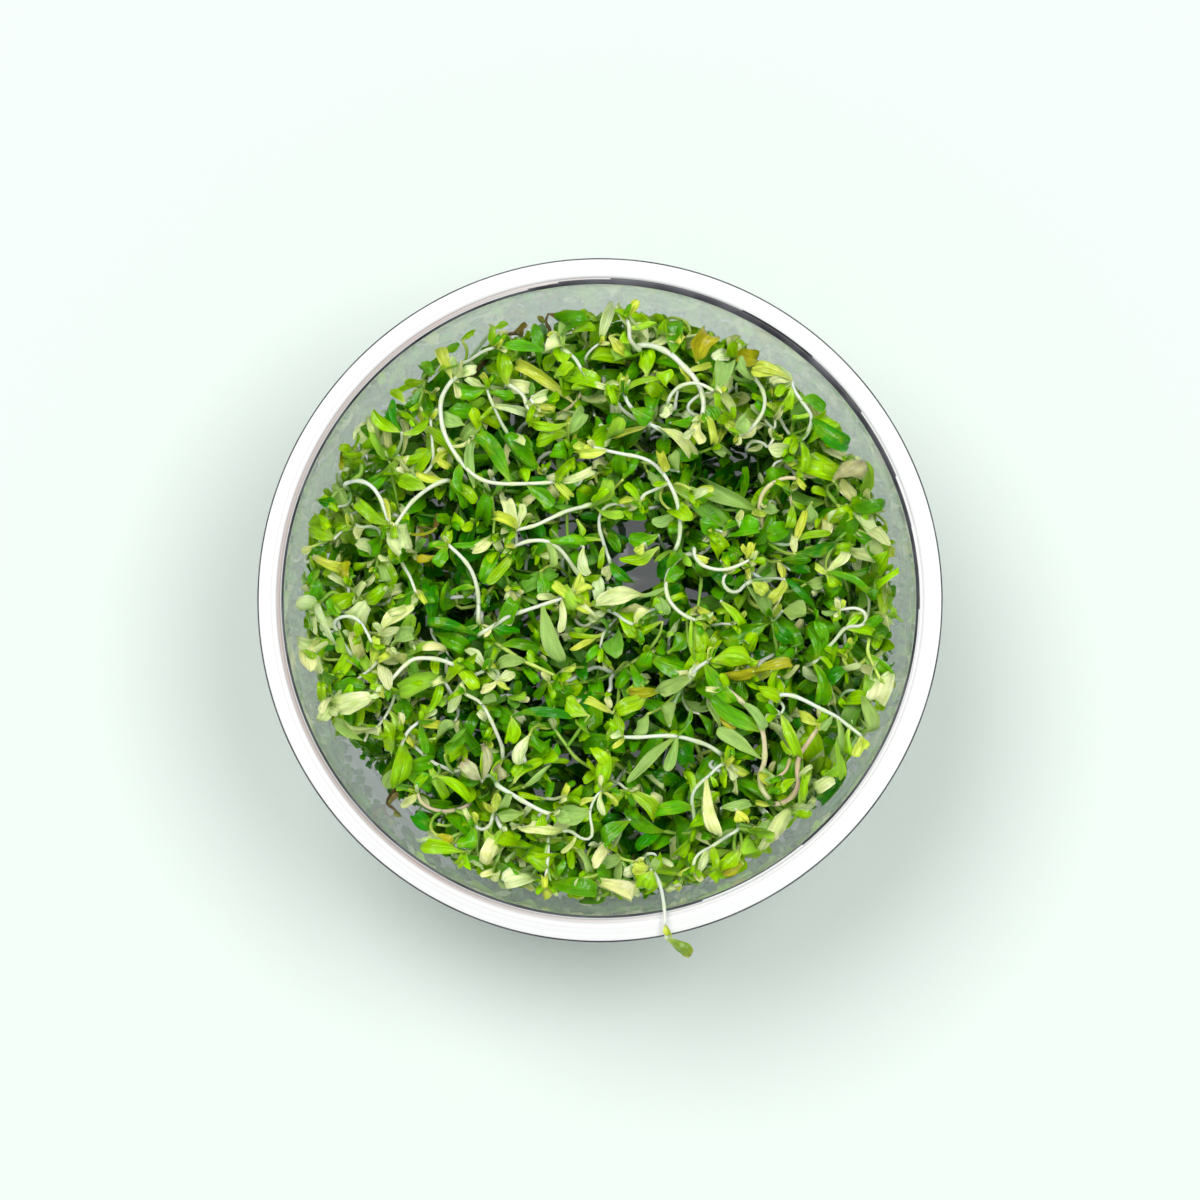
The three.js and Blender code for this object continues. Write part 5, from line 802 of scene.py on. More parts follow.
# %% Leaves that show: bottom
LEAVES += [
    [1.2, -21.8, 0, -26.8, 2.2, "l"], [3.4, -28, 8, -31.9, 2.2, "l"], [4.2, -28.6, 1.2, -29.6, 1.6, "l"],
    [0.5, -28.5, 0.5, -31.9, 1.2, "w"], [0.4, -28.6, 2.3, -30.3, 0.9, "y"],
    [-0.6, -29.2, -2.9, -30.2, 0.9, "y"], [9.2, -33.9, 4, -30.6, 2.2, "m"],
    [4.4, -32.6, 0.8, -35.6, 2.4, "m"], [9.4, -34.6, 5.4, -36.8, 2, "d"], [13, -30.8, 8.9, -31.4, 2.2, "m"],
    [13.4, -28.8, 12.2, -25.4, 1.6, "l"], [16.2, -36.8, 14.4, -40.4, 1.5, "w"],
    [16.6, -36.9, 16.6, -39.6, 1.2, "l"], [16.8, -39.8, 17.6, -41.6, 2.2, "l"],
    [20.7, -36.8, 17.7, -39.6, 2.6, "l"], [21, -39, 18, -40.4, 1.8, "b"], [10.6, -41.6, 11.7, -43, 1, "y"],
    [10.4, -42, 10.6, -44, 1.6, "w"], [7.4, -39.6, 5.2, -38.9, 2.6, "y"],
    [7.3, -39.9, 6.6, -42.3, 2.6, "l"], [7.6, -39.6, 8.4, -38.4, 1.2, "p"], [2.7, -38.2, 0, -38.8, 2, "p"],
    [2.9, -38.5, 2.2, -41.6, 1.6, "p"], [2.4, -37.2, 1.2, -36.2, 0.9, "l"],
    [4.2, -39.2, 5.5, -42.2, 1.4, "p"], [15.8, -26.6, 17.3, -34.8, 2, "w"],
    [18.3, -24.3, 21.8, -25.8, 1.4, "y"], [18.2, -24.5, 20, -26.6, 1.5, "w"],
    [18.4, -24.2, 19.6, -23.3, 1, "w"], [16.2, -26.3, 17, -27.6, 0.9, "l"],
    [19, -26.8, 24.4, -30, 1.8, "m"], [17.8, -30.8, 22, -30, 1.8, "p"], [20, -31, 21.4, -32.8, 2, "y"],
    [20.4, -34, 17.8, -36.6, 2, "p"], [-7.3, -31.4, -4, -32, 2.4, "p"], [-1.8, -31.4, -5, -31.2, 3, "p"],
    [-5.6, -34.1, -11.4, -33.5, 2.4, "w"], [-5.5, -34, -3.7, -32.4, 1.3, "y"],
    [-12.6, -27, -8.4, -23.9, 1.4, "l"], [-11.2, -27.8, -7.2, -24.6, 1, "p"],
    [-8, -25.2, -4.5, -24, 0.9, "l"], [-8.2, -29.4, -7.5, -27.2, 1.2, "m"],
    [-8, -29.5, -12, -28.8, 0.9, "l"], [-11.3, -31.6, -15, -31.8, 1.8, "p"],
    [-13.2, -28.6, -14.2, -30.6, 1.6, "p"], [-15.8, -31.6, -15.2, -28.6, 1.3, "y"],
    [-18.9, -29.6, -17.6, -31, 1.4, "p"], [-18.6, -33.2, -20.8, -36.6, 2.6, "m"],
    [-16.8, -34, -14.9, -37, 2, "l"], [-17.9, -37.8, -16, -36.4, 1, "p"],
    [-22.2, -36.8, -16.3, -38.2, 1.3, "m"], [-24, -34.8, -21.8, -36, 1.4, "b"],
    [-10, -41, -14.4, -39, 2.8, "m"], [-8, -39.8, -10.8, -38.2, 1.8, "l"],
    [-10, -38, -7.9, -36.6, 1.2, "p"], [-8, -41, -8, -44.6, 1.8, "y"], [-4.2, -35.2, -5.7, -37.4, 0.8, "w"],
    [-6.3, -41.3, -0.8, -43.4, 2.2, "m"], [-6.2, -41.6, -5.4, -38.2, 1.6, "m"],
    [-2.2, -41, -3.2, -42.2, 1.6, "w"], [-3.4, -36.8, -1.8, -39.8, 1.3, "p"],
    [-2, -38.2, -0.4, -38.8, 2.2, "m"], [9.7, -50, 13.2, -52.6, 2, "l"], [9.5, -48, 10.3, -49.4, 1.1, "y"],
]
print("leaves listed:", len(LEAVES))

# %% Small leaves that have no solid of their own
SMALL_LEAVES = [
    [-31.1, 11.1, -29.2, 7.4, 3.8, "w"], [-28, 9.6, -24, 10.4, 0.5, "b"], [-39, 12.4, -41.3, 14, 1.6, "d"],
    [-42.3, 7.7, -44, 7, 1.2, "w"], [-33, 8.6, -34.6, 10, 1.4, "m"], [-43, 1.6, -44.8, 4, 1.2, "p"],
    [-32.6, -5.6, -29.5, -4.4, 1.2, "w"], [-38.4, -10.8, -35.9, -11.4, 0.9, "m"],
    [-16.4, -31, -17.2, -29.8, 1, "y"], [-17.2, -26.8, -17.4, -22, 1.6, "r"],
    [-13, -16.5, -4, -17.5, 1.4, "d"], [-8.8, 15.4, -11, 16.4, 1.6, "p"], [-4, 1, -5.6, 1.6, 1.2, "w"],
    [-3.6, 0.2, -2.2, -1.6, 2, "y"], [-3.4, 11.6, -2.8, 9, 1.2, "l"], [-14.2, -12.6, -13.2, -13.2, 1, "y"],
    [-6.6, -12.4, -4.4, -13.4, 1.4, "m"], [-5.4, -10.6, -3.6, -9.6, 1, "y"],
    [-7.4, 28.4, -6, 29.6, 0.8, "l"], [32.8, 27.4, 35.2, 24.4, 1.6, "l"],
    [24, -33.8, 25.4, -34.6, 1.8, "p"], [17.6, -19, 16.2, -16.2, 1.2, "p"], [18, -11.2, 24.8, -10, 2, "y"],
    [34.6, -1.6, 32.7, -2, 0.9, "p"], [38.6, -3.4, 41.4, -2.8, 1.6, "m"],
    [25.8, -17.2, 27.6, -17.4, 0.7, "y"], [39, 1.6, 41, 0.4, 1.8, "m"],
]
print("small leaves listed:", len(SMALL_LEAVES))

# %% [markdown]
# ## Growing the stems
# The routes are drawn as if everything lay at the height of the rim. A point that is lower is
# further from the camera, so it moves outward and back to its true place. Each stem then looks
# for a height at which it passes clear of the stems before it, and for a free spot for its foot.
# The same steps made the solids, so both come out alike.


# %% From the drawing to the cup
def chance(seed):
    """A number between 0 and 1 that is always the same for the same seed."""
    wave = math.sin(seed * 12.9898) * 43758.5453
    return wave - math.floor(wave)


WALL_GAP = 0.7


def placed(x, y, z, wall_gap=WALL_GAP):
    """A place drawn at the rim's height, moved to its own height and kept clear of the wall."""
    depth = CUP_HEIGHT - z
    spread = 1 + depth / VIEW_HEIGHT
    px, py = x * spread, (y + depth * VIEW_LEAN) * spread
    widest = inner_radius(z) - wall_gap
    radius = math.hypot(px, py)
    if z < CUP_HEIGHT - 1 and radius > widest:
        px *= widest / radius
        py *= widest / radius
    return np.array([px, py, z])


def smooth_line(points, t):
    """Points of a smooth line through the given ones, for shares t between 0 and 1."""
    p = np.array(points, float)
    p = np.vstack([2 * p[0] - p[1], p, 2 * p[-1] - p[-2]])
    spans = len(points) - 1
    along = np.clip(np.asarray(t) * spans, 0, spans)
    i = np.minimum(along.astype(int), spans - 1)
    w = (along - i)[:, None]
    a, b, c, d = p[i], p[i + 1], p[i + 2], p[i + 3]
    start, stop = 0.5 * (c - a), 0.5 * (d - b)
    square = -3 * b + 3 * c - 2 * start - stop
    cube = 2 * b - 2 * c + start + stop
    return b + start * w + square * w ** 2 + cube * w ** 3


def reach_along(line):
    """The distance along a line from its start to each of its points."""
    return np.concatenate([[0], np.cumsum(np.linalg.norm(np.diff(line, axis=0), axis=1))])


def even_line(points, count):
    """The same line as count equal spans."""
    fine = np.arange(201) / 200
    line = smooth_line(points, fine)
    length = reach_along(line)
    return smooth_line(points, np.interp(np.arange(count + 1) / count * length[-1], length, fine))


# %% Clearance between stems
BURIED_DIP = 3.5
STEM_GAP = 0.5
FOOT_GAP = 0.5
SAMPLE_STEP = 0.5


def sampled(points):
    """Points along a stem at most SAMPLE_STEP apart, on the straight spans that the solids have."""
    corners = even_line(points, len(points))
    rows = []
    for a, b in zip(corners[:-1], corners[1:]):
        count = math.ceil(np.linalg.norm(b - a) / SAMPLE_STEP)
        rows.append(a + (b - a) * (np.arange(count) / count)[:, None])
    return np.vstack(rows + [corners[-1:]])


stems = []
feet = {}


def clear_of_stems(samples, radius, clump):
    """True where a stem would pass clear of the stems of the other clumps."""
    for other in stems:
        if other["clump"] == clump:
            continue
        least = radius + other["radius"] + STEM_GAP
        apart = samples[:, None, :] - other["samples"][None, :, :]
        if np.min(np.sum(apart ** 2, axis=2)) < least * least:
            return False
    return True


# %% A clear height, then a free foot
LIFTS = [0, 1.3, -1.3, 2.6, -2.6, 3.9, -3.9, 5.2, -5.2, -6.5, -7.8]

# Spots for a foot lie on a spiral round a place a little nearer the axis than the stem's top
FOOT_SPOTS = 160
SPIRAL_TURN = 2.4
SPIRAL_STEP = 0.5
LEANS_OUT_FROM = 0.95
WAIST = 0.55


def heights_of(level, count, lift):
    """A height for each point of a route, lowest where the stem comes out of the mat."""
    if isinstance(level, list):
        return level
    return [level + lift - BURIED_DIP * (1 - i / (count - 1)) ** 2 for i in range(count)]


def visible_part(clump, level, radius, route):
    """The part of a stem that shows, at the first height at which it is clear of the others."""
    for lift in LIFTS:
        heights = heights_of(level, len(route), lift)
        points = [placed(x, y, z) for (x, y), z in zip(route, heights)]
        if clear_of_stems(sampled(points), radius, clump):
            break
    return points


def with_buried_part(clump, radius, points):
    """The same points with a foot and a waist in front of them, on the first free spot."""
    top = points[0]
    for k in range(FOOT_SPOTS):
        turn, away = k * SPIRAL_TURN, SPIRAL_STEP * math.sqrt(k)
        x = top[0] * LEANS_OUT_FROM + away * math.cos(turn)
        y = top[1] * LEANS_OUT_FROM + away * math.sin(turn)
        spread = min(1, (inner_radius(GEL_TOP) - 2) / math.hypot(x, y))
        foot = feet.get(clump, np.array([x * spread, y * spread, GEL_TOP + FOOT_GAP]))
        waist = np.array([x * spread, y * spread, GEL_TOP + (top[2] - GEL_TOP) * WAIST])
        whole = [foot, waist] + points
        if clear_of_stems(sampled(whole), radius, clump):
            break
    feet[clump] = foot
    return whole


for stem_number, (clump, level, radius, route) in enumerate(STEMS):
    whole = with_buried_part(clump, radius, visible_part(clump, level, radius, route))
    stems.append({"clump": clump, "radius": radius, "points": whole, "samples": sampled(whole),
                  "number": stem_number, "visible_from": whole[2][2]})
print("stems:", len(stems), "clumps:", len(feet))


# %% [markdown]
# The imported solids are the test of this: a stem's tip must lie inside the box of its own solid,
# to within a millimetre.

# %% Compare with the solids
misplaced = 0
for stem in stems:
    low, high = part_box("plantlet_" + stem["clump"])
    tip = Vector(stem["points"][-1] * MM)
    slack = 1.0 * MM
    if any(tip[i] < low[i] - slack or tip[i] > high[i] + slack for i in range(3)):
        misplaced += 1
print("stem tips outside their solid's box:", misplaced)

# %% [markdown]
# ## Leaf tones
# Young leaves at the tips are yellow-lime to whitish, because they have little chlorophyll yet.
# Older ones are mid to deep green. The underside has no waxy skin and is pale grey-green. Every
# leaf takes its tone from this list, shifted a little, so that no two are quite alike. Tone s
# is painted shade: a darker green for the leaves that lie deep in the mat.

# %% Tones
def as_tones(colours):
    """Named screen colours as linear red, green and blue."""
    return {name: np.array(linear(colour)[:3]) for name, colour in colours.items()}


LEAF_TONES = as_tones({
    "s": "#166600", "d": "#2c8e00", "m": "#5cac00", "l": "#9ad200", "y": "#d4e652", "w": "#e4f2a8",
    "p": "#a0c468", "b": "#bcb81c", "r": "#b8bc88"})
STEM_TONES = as_tones({
    "white": "#eef5e4", "lime": "#cfe86c", "green": "#9dcb50", "beige": "#e4d6b2",
    "pink": "#e6c8b4", "buried": "#6cae22", "root": "#f2eedf"})
MAIN_STEM_TONES = {"c8": "beige", "c9": "pink", "d9": "beige", "b6": "pink", "d2": "green", "d5": "green",
                   "e1": "green", "e4": "green", "f2": "green", "g6": "green", "g2": "green", "f9": "lime",
                   "a8": "green", "a4": "green", "b3": "green", "e9": "lime", "d3": "lime", "c3": "lime"}


def varied(tone, seed, amount=0.16):
    """A tone made a little lighter or darker, and a little yellower or bluer."""
    light = 1 + amount * (chance(seed) - 0.5) * 2
    yellow = amount * (chance(seed + 0.37) - 0.5)
    return np.clip(tone * light * np.array([1 + yellow, 1, 1 - yellow]), 0, 1)


# %% [markdown]
# ## Building meshes fast
# Thousands of leaves would be slow as objects of their own. Each clump keeps lists of corners,
# faces and tones, and becomes one mesh at the end. The tone and the place on the leaf are stored
# at every corner, so that the materials can read them.

# %% A heap of geometry for each clump
UPPER, UNDER, STEM, ROOT, DRY = range(5)
heaps = {}


def heap_of(clump):
    """The heap of a clump, empty at first."""
    if clump not in heaps:
        heaps[clump] = {part: [] for part in ("verts", "tones", "blades", "edge", "faces", "slots")}
        heaps[clump]["count"] = 0
    return heaps[clump]


def add_to(heap, verts, tones, blades, edge, faces, slots):
    """Adds one part: its corners in mm, tone and blade place at each, edge flags, and faces."""
    start = heap["count"]
    heap["verts"].append(verts)
    heap["tones"].append(tones)
    heap["blades"].append(blades)
    heap["edge"].append(edge)
    heap["faces"].extend([tuple(start + i for i in face) for face in faces])
    heap["slots"].extend(slots)
    heap["count"] += len(verts)


# %% [markdown]
# ## One leaf
# The blade is shaped like a tongue or a narrow spoon: it grows out of the stem as a pale strip,
# is widest past its middle and ends blunt and round. Its midline bends like a spring, often with
# the tip curled down, and its cross-section is a gutter or a roof with a fold along the midrib.
# Its margin waves. The upper and lower faces meet in a sharp margin, so a leaf is a closed body
# and light can pass through it.

# %% Leaf grid, shared by all leaves of one fineness
grids = {}


def leaf_grid(rows, columns):
    """Face lists for a blade: an upper grid, and a lower one that shares its margin."""
    if (rows, columns) in grids:
        return grids[rows, columns]
    upper = np.arange((rows + 1) * (columns + 1)).reshape(rows + 1, columns + 1)
    lower = upper.copy()
    inside = np.zeros_like(upper, bool)
    inside[1:-1, 1:-1] = True
    lower[inside] = upper.size + np.arange(inside.sum())
    faces = []
    slots = []
    for i in range(rows):
        for j in range(columns):
            faces.append((upper[i, j], upper[i, j + 1], upper[i + 1, j + 1], upper[i + 1, j]))
            slots.append(UPPER)
            faces.append((lower[i, j], lower[i + 1, j], lower[i + 1, j + 1], lower[i, j + 1]))
            slots.append(UNDER)
    grids[rows, columns] = (faces, slots, inside)
    return grids[rows, columns]


# %% Outline and midline of a leaf
CURLS_FROM = 0.62


def leaf_outline(u, peak, neck, blunt):
    """Half width, as a share of the widest, at shares u of the length."""
    rising = neck + (1 - neck) * np.sin(math.pi / 2 * np.clip(u / peak, 0, 1)) ** 1.4
    falling = (1 - np.clip((u - peak) / (1 - peak), 0, 0.995) ** blunt) ** (1 / blunt)
    return np.where(u < peak, rising, falling)


def leaf_midline(u, bend, curl):
    """The midline seen from its side, from (0, 0) to (1, 0), and its slope at each point."""
    slope = -bend * u - curl * np.clip((u - CURLS_FROM) / (1 - CURLS_FROM), 0, 1) ** 2
    step = np.diff(u)
    middle = (slope[1:] + slope[:-1]) / 2
    reach = np.concatenate([[0], np.cumsum(step * np.cos(middle))])
    height = np.concatenate([[0], np.cumsum(step * np.sin(middle))])
    chord = math.hypot(reach[-1], height[-1])
    turn = math.atan2(height[-1], reach[-1])
    along = (reach * math.cos(turn) + height * math.sin(turn)) / chord
    up = (height * math.cos(turn) - reach * math.sin(turn)) / chord
    return along, up, slope - turn


# %% Add a leaf
LEAF_THICKNESS = 0.25
LEAST_FOLD = 0.25
PALE_AS_FAR_AS = 0.42
TIP_TONE_FROM = 0.72
MARGIN_WAVE = 0.11
CRINKLE = 0.035
NECK_TONES = as_tones({"w": "#d8ea7c", "y": "#ecf4a0", "l": "#dcee7c", "m": "#bcd83c"})


def unit(direction):
    """The same direction, with a length of one."""
    return direction / max(np.linalg.norm(direction), 1e-6)


FULL_TURN = 6.28


def between(low, high, seed):
    """A value between two others, always the same for the same seed."""
    return low + (high - low) * chance(seed)


# A leaf that is pressed against the wall lies this far off it, on its upper and its lower face
UPPER_GAP = 0.15
LOWER_GAP = 0.3


def pressed_back(corners, gap):
    """The same corners. Those that reach through the wall are pressed back against its inside."""
    radius = np.hypot(corners[:, 0], corners[:, 1])
    widest = inner_radius(corners[:, 2]) - gap
    through = (corners[:, 2] < CUP_HEIGHT - 1) & (radius > widest)
    share = np.where(through, widest / np.maximum(radius, 1), 1)
    return corners * np.stack([share, share, np.ones_like(share)], axis=1)


def add_leaf(heap, base, tip, width, tone, seed, fineness=(12, 6), flip=False, gutter=None, bend=None,
             curl=None, roll=None, pale_neck=0.4, neck="m", tip_tone=None, thickness=LEAF_THICKNESS):
    """Adds one leaf between two points in mm. flip turns its underside up."""
    rows, columns = fineness
    faces, slots, inside = leaf_grid(rows, columns)
    along = tip - base
    length = np.linalg.norm(along)
    along = along / length
    side = unit(np.cross(along, [0, 0, 1]))
    over = np.cross(side, along)
    bend = between(-0.5, 2.3, seed + 0.11) if bend is None else bend
    curl = max(0, between(-1.0, 2.8, seed + 0.13)) if curl is None else curl
    roll = between(-0.6, 0.6, seed + 0.17) if roll is None else roll
    twist = between(-1.4, 1.4, seed + 0.19)
    gutter = between(-2.0, 2.0, seed + 0.23) if gutter is None else gutter
    gutter = math.copysign(max(abs(gutter), LEAST_FOLD), gutter)
    u = 1 - (1 - np.linspace(0, 1, rows + 1)) ** 1.5
    v = np.linspace(-1, 1, columns + 1)[None, :]
    forward, up, slope = leaf_midline(u, bend, curl)
    narrow = min(0.9, 0.5 / width) * between(0.6, 1.0, seed + 0.29)
    outline = leaf_outline(u, between(0.5, 0.74, seed + 0.31), narrow, between(1.9, 3.3, seed + 0.37))
    uneven = 1 + 0.1 * np.sin(between(5, 12, seed + 0.43) * u[:, None] + seed + 1.5 * np.sign(v))
    half = width / 2 * outline[:, None] * uneven
    across = 2 * half / gutter * np.sin(gutter * v / 2)
    raised = 2 * half / gutter * (1 - np.cos(gutter * v / 2))
    wave = np.sin(between(4, 9, seed + 0.47) * u[:, None] + 2 * v + seed)
    raised = raised + MARGIN_WAVE * width * wave * v ** 2
    raised = raised + between(-0.5, 0.8, seed + 0.59) * half * np.abs(v)
    raised = raised + CRINKLE * width * np.sin(19 * u[:, None] + seed) * np.cos(5 * v + 2 * seed)
    angle = (roll + twist * (u - 0.4))[:, None, None]
    drift = between(-0.16, 0.16, seed + 0.41) * length * np.sin(math.pi * u)
    slope = slope[:, None, None]
    normal = over * np.cos(slope) - along * np.sin(slope)
    wide = side * np.cos(angle) + normal * np.sin(angle)
    normal = normal * np.cos(angle) - side * np.sin(angle)
    middle = base + length * (along * forward[:, None] + over * up[:, None]) + side * drift[:, None]
    top = middle[:, None, :] + wide * across[..., None] + normal * raised[..., None]
    thin = thickness * (1 - v ** 2) * np.ones_like(half)
    low = top - normal * thin[..., None]
    upper = pressed_back(top.reshape(-1, 3), UPPER_GAP)
    lower = pressed_back(low[inside], LOWER_GAP)
    verts = np.concatenate([upper, lower])
    blade = np.stack([u[:, None] + 0 * v, v + 0 * half, seed % 17 + 0 * half * v], axis=2)
    share = (np.clip(1 - u / PALE_AS_FAR_AS, 0, 1) ** 1.2 * pale_neck)[:, None, None]
    colour = tone * (1 - share) + NECK_TONES.get(neck, NECK_TONES["m"]) * share + 0 * top
    if tip_tone is not None:
        share = (np.clip((u - TIP_TONE_FROM) / (1 - TIP_TONE_FROM), 0, 1) ** 1.5)[:, None, None]
        colour = colour * (1 - share) + tip_tone * share
    flags = np.concatenate([~inside.reshape(-1), np.zeros(inside.sum(), bool)])
    if flip:
        slots = [UNDER if slot == UPPER else UPPER for slot in slots]
    add_to(heap, verts, np.concatenate([colour.reshape(-1, 3), colour[inside]]),
           np.concatenate([blade.reshape(-1, 3), blade[inside]]), flags, faces, slots)


# %% [markdown]
# ## One stem
# A stem is a round tube that follows its route. It swells a little at each joint where a pair of
# leaves sits, every 4 to 6 mm, and thins towards the tip.


# %% Add a stem
START_DOME, END_DOME = 0.4, 0.6


def add_stem(heap, line, radii, tones, sides, slot=STEM):
    """Adds a closed tube along a line in mm, with a radius and a tone at each of its points."""
    line = np.asarray(line, float)
    ahead = np.gradient(line, axis=0)
    ahead /= np.linalg.norm(ahead, axis=1)[:, None]
    first = np.cross(ahead[0], [0.3, 0.2, 1.0])
    first /= np.linalg.norm(first)
    frames = [first]
    for direction in ahead[1:]:
        nxt = frames[-1] - direction * np.dot(frames[-1], direction)
        frames.append(nxt / np.linalg.norm(nxt))
    a = np.array(frames)
    b = np.cross(ahead, a)
    turn = np.arange(sides) * 2 * math.pi / sides
    radii = np.asarray(radii, float)
    ring = (a[:, None, :] * np.cos(turn)[None, :, None] + b[:, None, :] * np.sin(turn)[None, :, None])
    verts = (line[:, None, :] + ring * radii[:, None, None]).reshape(-1, 3)
    start = line[0] - ahead[0] * radii[0] * START_DOME
    end = line[-1] + ahead[-1] * radii[-1] * END_DOME
    verts = np.vstack([verts, start, end])
    count = len(line)
    faces = []
    for i in range(count - 1):
        for j in range(sides):
            k = (j + 1) % sides
            faces.append((i * sides + j, i * sides + k, (i + 1) * sides + k, (i + 1) * sides + j))
    for j in range(sides):
        k = (j + 1) % sides
        faces.append((count * sides, k, j))
        faces.append((count * sides + 1, (count - 1) * sides + j, (count - 1) * sides + k))
    tones = np.repeat(np.asarray(tones), sides, axis=0)
    tones = np.vstack([tones, tones[0], tones[-1]])
    reach = np.repeat(reach_along(line), sides)
    reach = np.append(reach, [0, reach[-1]])
    around = np.append(np.tile(turn, count), [0, 0])
    blades = np.stack([reach, around, np.zeros(len(verts))], axis=1)
    edge = np.zeros(len(verts), bool)
    add_to(heap, verts, tones, blades, edge, faces, [slot] * len(faces))


JOINT_SPACING = 4.8
JOINT_SWELL = 0.26
JOINT_LENGTH = 0.5


def joints(line, seed):
    """1 at each joint, falling to 0 between them, and the share of the length at each point."""
    reach = reach_along(line)
    phase = (reach + 5 * chance(seed)) % JOINT_SPACING - JOINT_SPACING / 2
    return np.exp(-(phase / JOINT_LENGTH) ** 2), reach / reach[-1]


def stem_radii(line, radius, seed, tip_share=0.72):
    """The radius at each point: swollen at the joints and thinner at the tip."""
    joint, share = joints(line, seed)
    return radius * (1 + JOINT_SWELL * joint) * (1 - (1 - tip_share) * share ** 3)


def stem_tones(line, tone, seed, hidden_below, fade):
    """The tone at each point: buried green low down, and greener at joints and in slow bands."""
    joint, share = joints(line, seed)
    green = (0.35 * joint + 0.1 * (1 + np.sin(9 * share + seed)))[:, None]
    tones = tone * (1 - green) + STEM_TONES["lime"] * green
    shown = np.clip((line[:, 2] - hidden_below) / fade, 0, 1)[:, None]
    return STEM_TONES["buried"] * (1 - shown) + tones * shown


# %% The main stems
ROOTED = 3.0
FINE_STEP = 0.7
MAIN_STEM_SIDES = 9
SLIMMER_THAN_THE_SOLID = 0.9


def main_stem_line(stem):
    """The stem's fine line, carried on into the gel where it is rooted."""
    foot = stem["points"][0]
    rooted = foot - np.array([0, 0, ROOTED])
    count = int(np.linalg.norm(np.diff(stem["samples"], axis=0), axis=1).sum() / FINE_STEP)
    return np.vstack([[rooted], even_line(stem["points"], count)])


for stem in stems:
    line = main_stem_line(stem)
    stem["line"] = line
    tone = varied(STEM_TONES[MAIN_STEM_TONES.get(stem["clump"], "white")], stem["number"] + 0.3, 0.08)
    tones = stem_tones(line, tone, stem["number"], stem["visible_from"] - 5, 7)
    radii = stem_radii(line, stem["radius"] * SLIMMER_THAN_THE_SOLID, stem["number"])
    add_stem(heap_of(stem["clump"]), line, radii, tones, MAIN_STEM_SIDES)
print("main stems built:", len(stems))

# %% [markdown]
# ## Side shoots and thin branches
# A leaf or a branch whose own stem is hidden still has to grow from something. A side shoot
# leaves the nearest stem lower down, swings out and rises to it.


# %% Nearest stem below a point
def nearest_stem(end, drop=(4, 16)):
    """The main stem point nearest to a place, between two drops below it."""
    best, least = None, 1e9
    for stem in stems:
        line = stem["line"]
        lowest = max(end[2] - drop[1], GEL_TOP + FOOT_GAP)
        allowed = (line[:, 2] > lowest) & (line[:, 2] < end[2] - drop[0])
        if not allowed.any():
            continue
        points = line[allowed]
        apart = np.hypot(points[:, 0] - end[0], points[:, 1] - end[1])
        if apart.min() < least:
            least = apart.min()
            best = {"clump": stem["clump"], "start": points[apart.argmin()], "apart": least}
    return best


def shoot_line(start, end, count, seed):
    """A line that leaves a stem, swings out to one side and rises to its end."""
    span = end - start
    across = unit(np.array([-span[1], span[0], 0.0]))
    swing = 2.4 * (chance(seed + 0.9) - 0.5)
    first = start + span * np.array([0.35, 0.35, 0.2]) + across * swing
    second = start + span * np.array([0.75, 0.75, 0.6]) + across * swing
    return even_line([start, first, second, end], count)


# %% Thin branches
attach = []
for number, (level, radius, tone_name, route) in enumerate(BRANCHES):
    heights = heights_of(level, len(route), 0)
    points = [placed(x, y, z) for (x, y), z in zip(route, heights)]
    found = nearest_stem(points[0], (2, 14))
    bend = found["start"] + (points[0] - found["start"]) * np.array([0.75, 0.75, 0.5])
    whole = [found["start"], bend] + points
    line = even_line(whole, len(whole) * 5)
    tone = varied(STEM_TONES[tone_name], number + 90.3, 0.08)
    tones = stem_tones(line, tone, number + 0.4, points[0][2] - 4, 5)
    add_stem(heap_of(found["clump"]), line, stem_radii(line, radius, number + 0.4), tones, 7)
    attach.append({"clump": found["clump"], "line": line, "visible_from": points[0][2]})
print("branches:", len(attach))

# %% [markdown]
# ## The leaves that show
# A listed leaf grows from the stem that passes under its base. Where none does, a side shoot
# is grown for it first. Leaves marked p are turned over, and rosy ones are rolled into a tube.

# %% Attach the listed leaves
REACH_OF_LEAF = 1.3
MAT_HEIGHT = {"d": 33, "m": 35, "l": 38, "y": 40, "w": 41, "p": 37, "b": 38, "r": 40}
FINE_LEAF = (12, 8)
attach += [{"clump": s["clump"], "line": s["line"], "visible_from": s["visible_from"]} for s in stems]
stem_ends = len(attach)


def stem_under(x, y):
    """The visible stem point under a leaf's base, or nothing when its stem is hidden."""
    best, least = None, REACH_OF_LEAF
    for other in attach:
        line = other["line"][other["line"][:, 2] > other["visible_from"] - 6]
        if len(line) == 0:
            continue
        depth = CUP_HEIGHT - line[:, 2]
        spread = 1 + depth / VIEW_HEIGHT
        apart = np.hypot(x * spread - line[:, 0], (y + depth * VIEW_LEAN) * spread - line[:, 1])
        if apart.min() < least:
            least = apart.min()
            best = {"clump": other["clump"], "place": line[apart.argmin()]}
    return best


def shoot_for_leaf(x, y, z, seed):
    """Grows a side shoot that ends at the base of a leaf."""
    end = placed(x, y, z)
    found = nearest_stem(end)
    line = shoot_line(found["start"], end, 14, seed)
    tone = varied(STEM_TONES["white" if chance(seed + 0.66) < 0.4 else "lime"], seed)
    share = np.linspace(0, 1, len(line))[:, None]
    tones = STEM_TONES["buried"] * (1 - share) + tone * share
    add_stem(heap_of(found["clump"]), line, stem_radii(line, 0.26, seed), tones, 6)
    attach.append({"clump": found["clump"], "line": line, "visible_from": z})
    return {"clump": found["clump"], "place": end}


TIP_TONES = as_tones({"b": "#a8a036", "r": "#c2a48c"})
ROLLED_UP = {"gutter": -4.4, "bend": 1.6, "curl": 1.0, "roll": 0.3}
ROLLED_WIDTH = 2.2

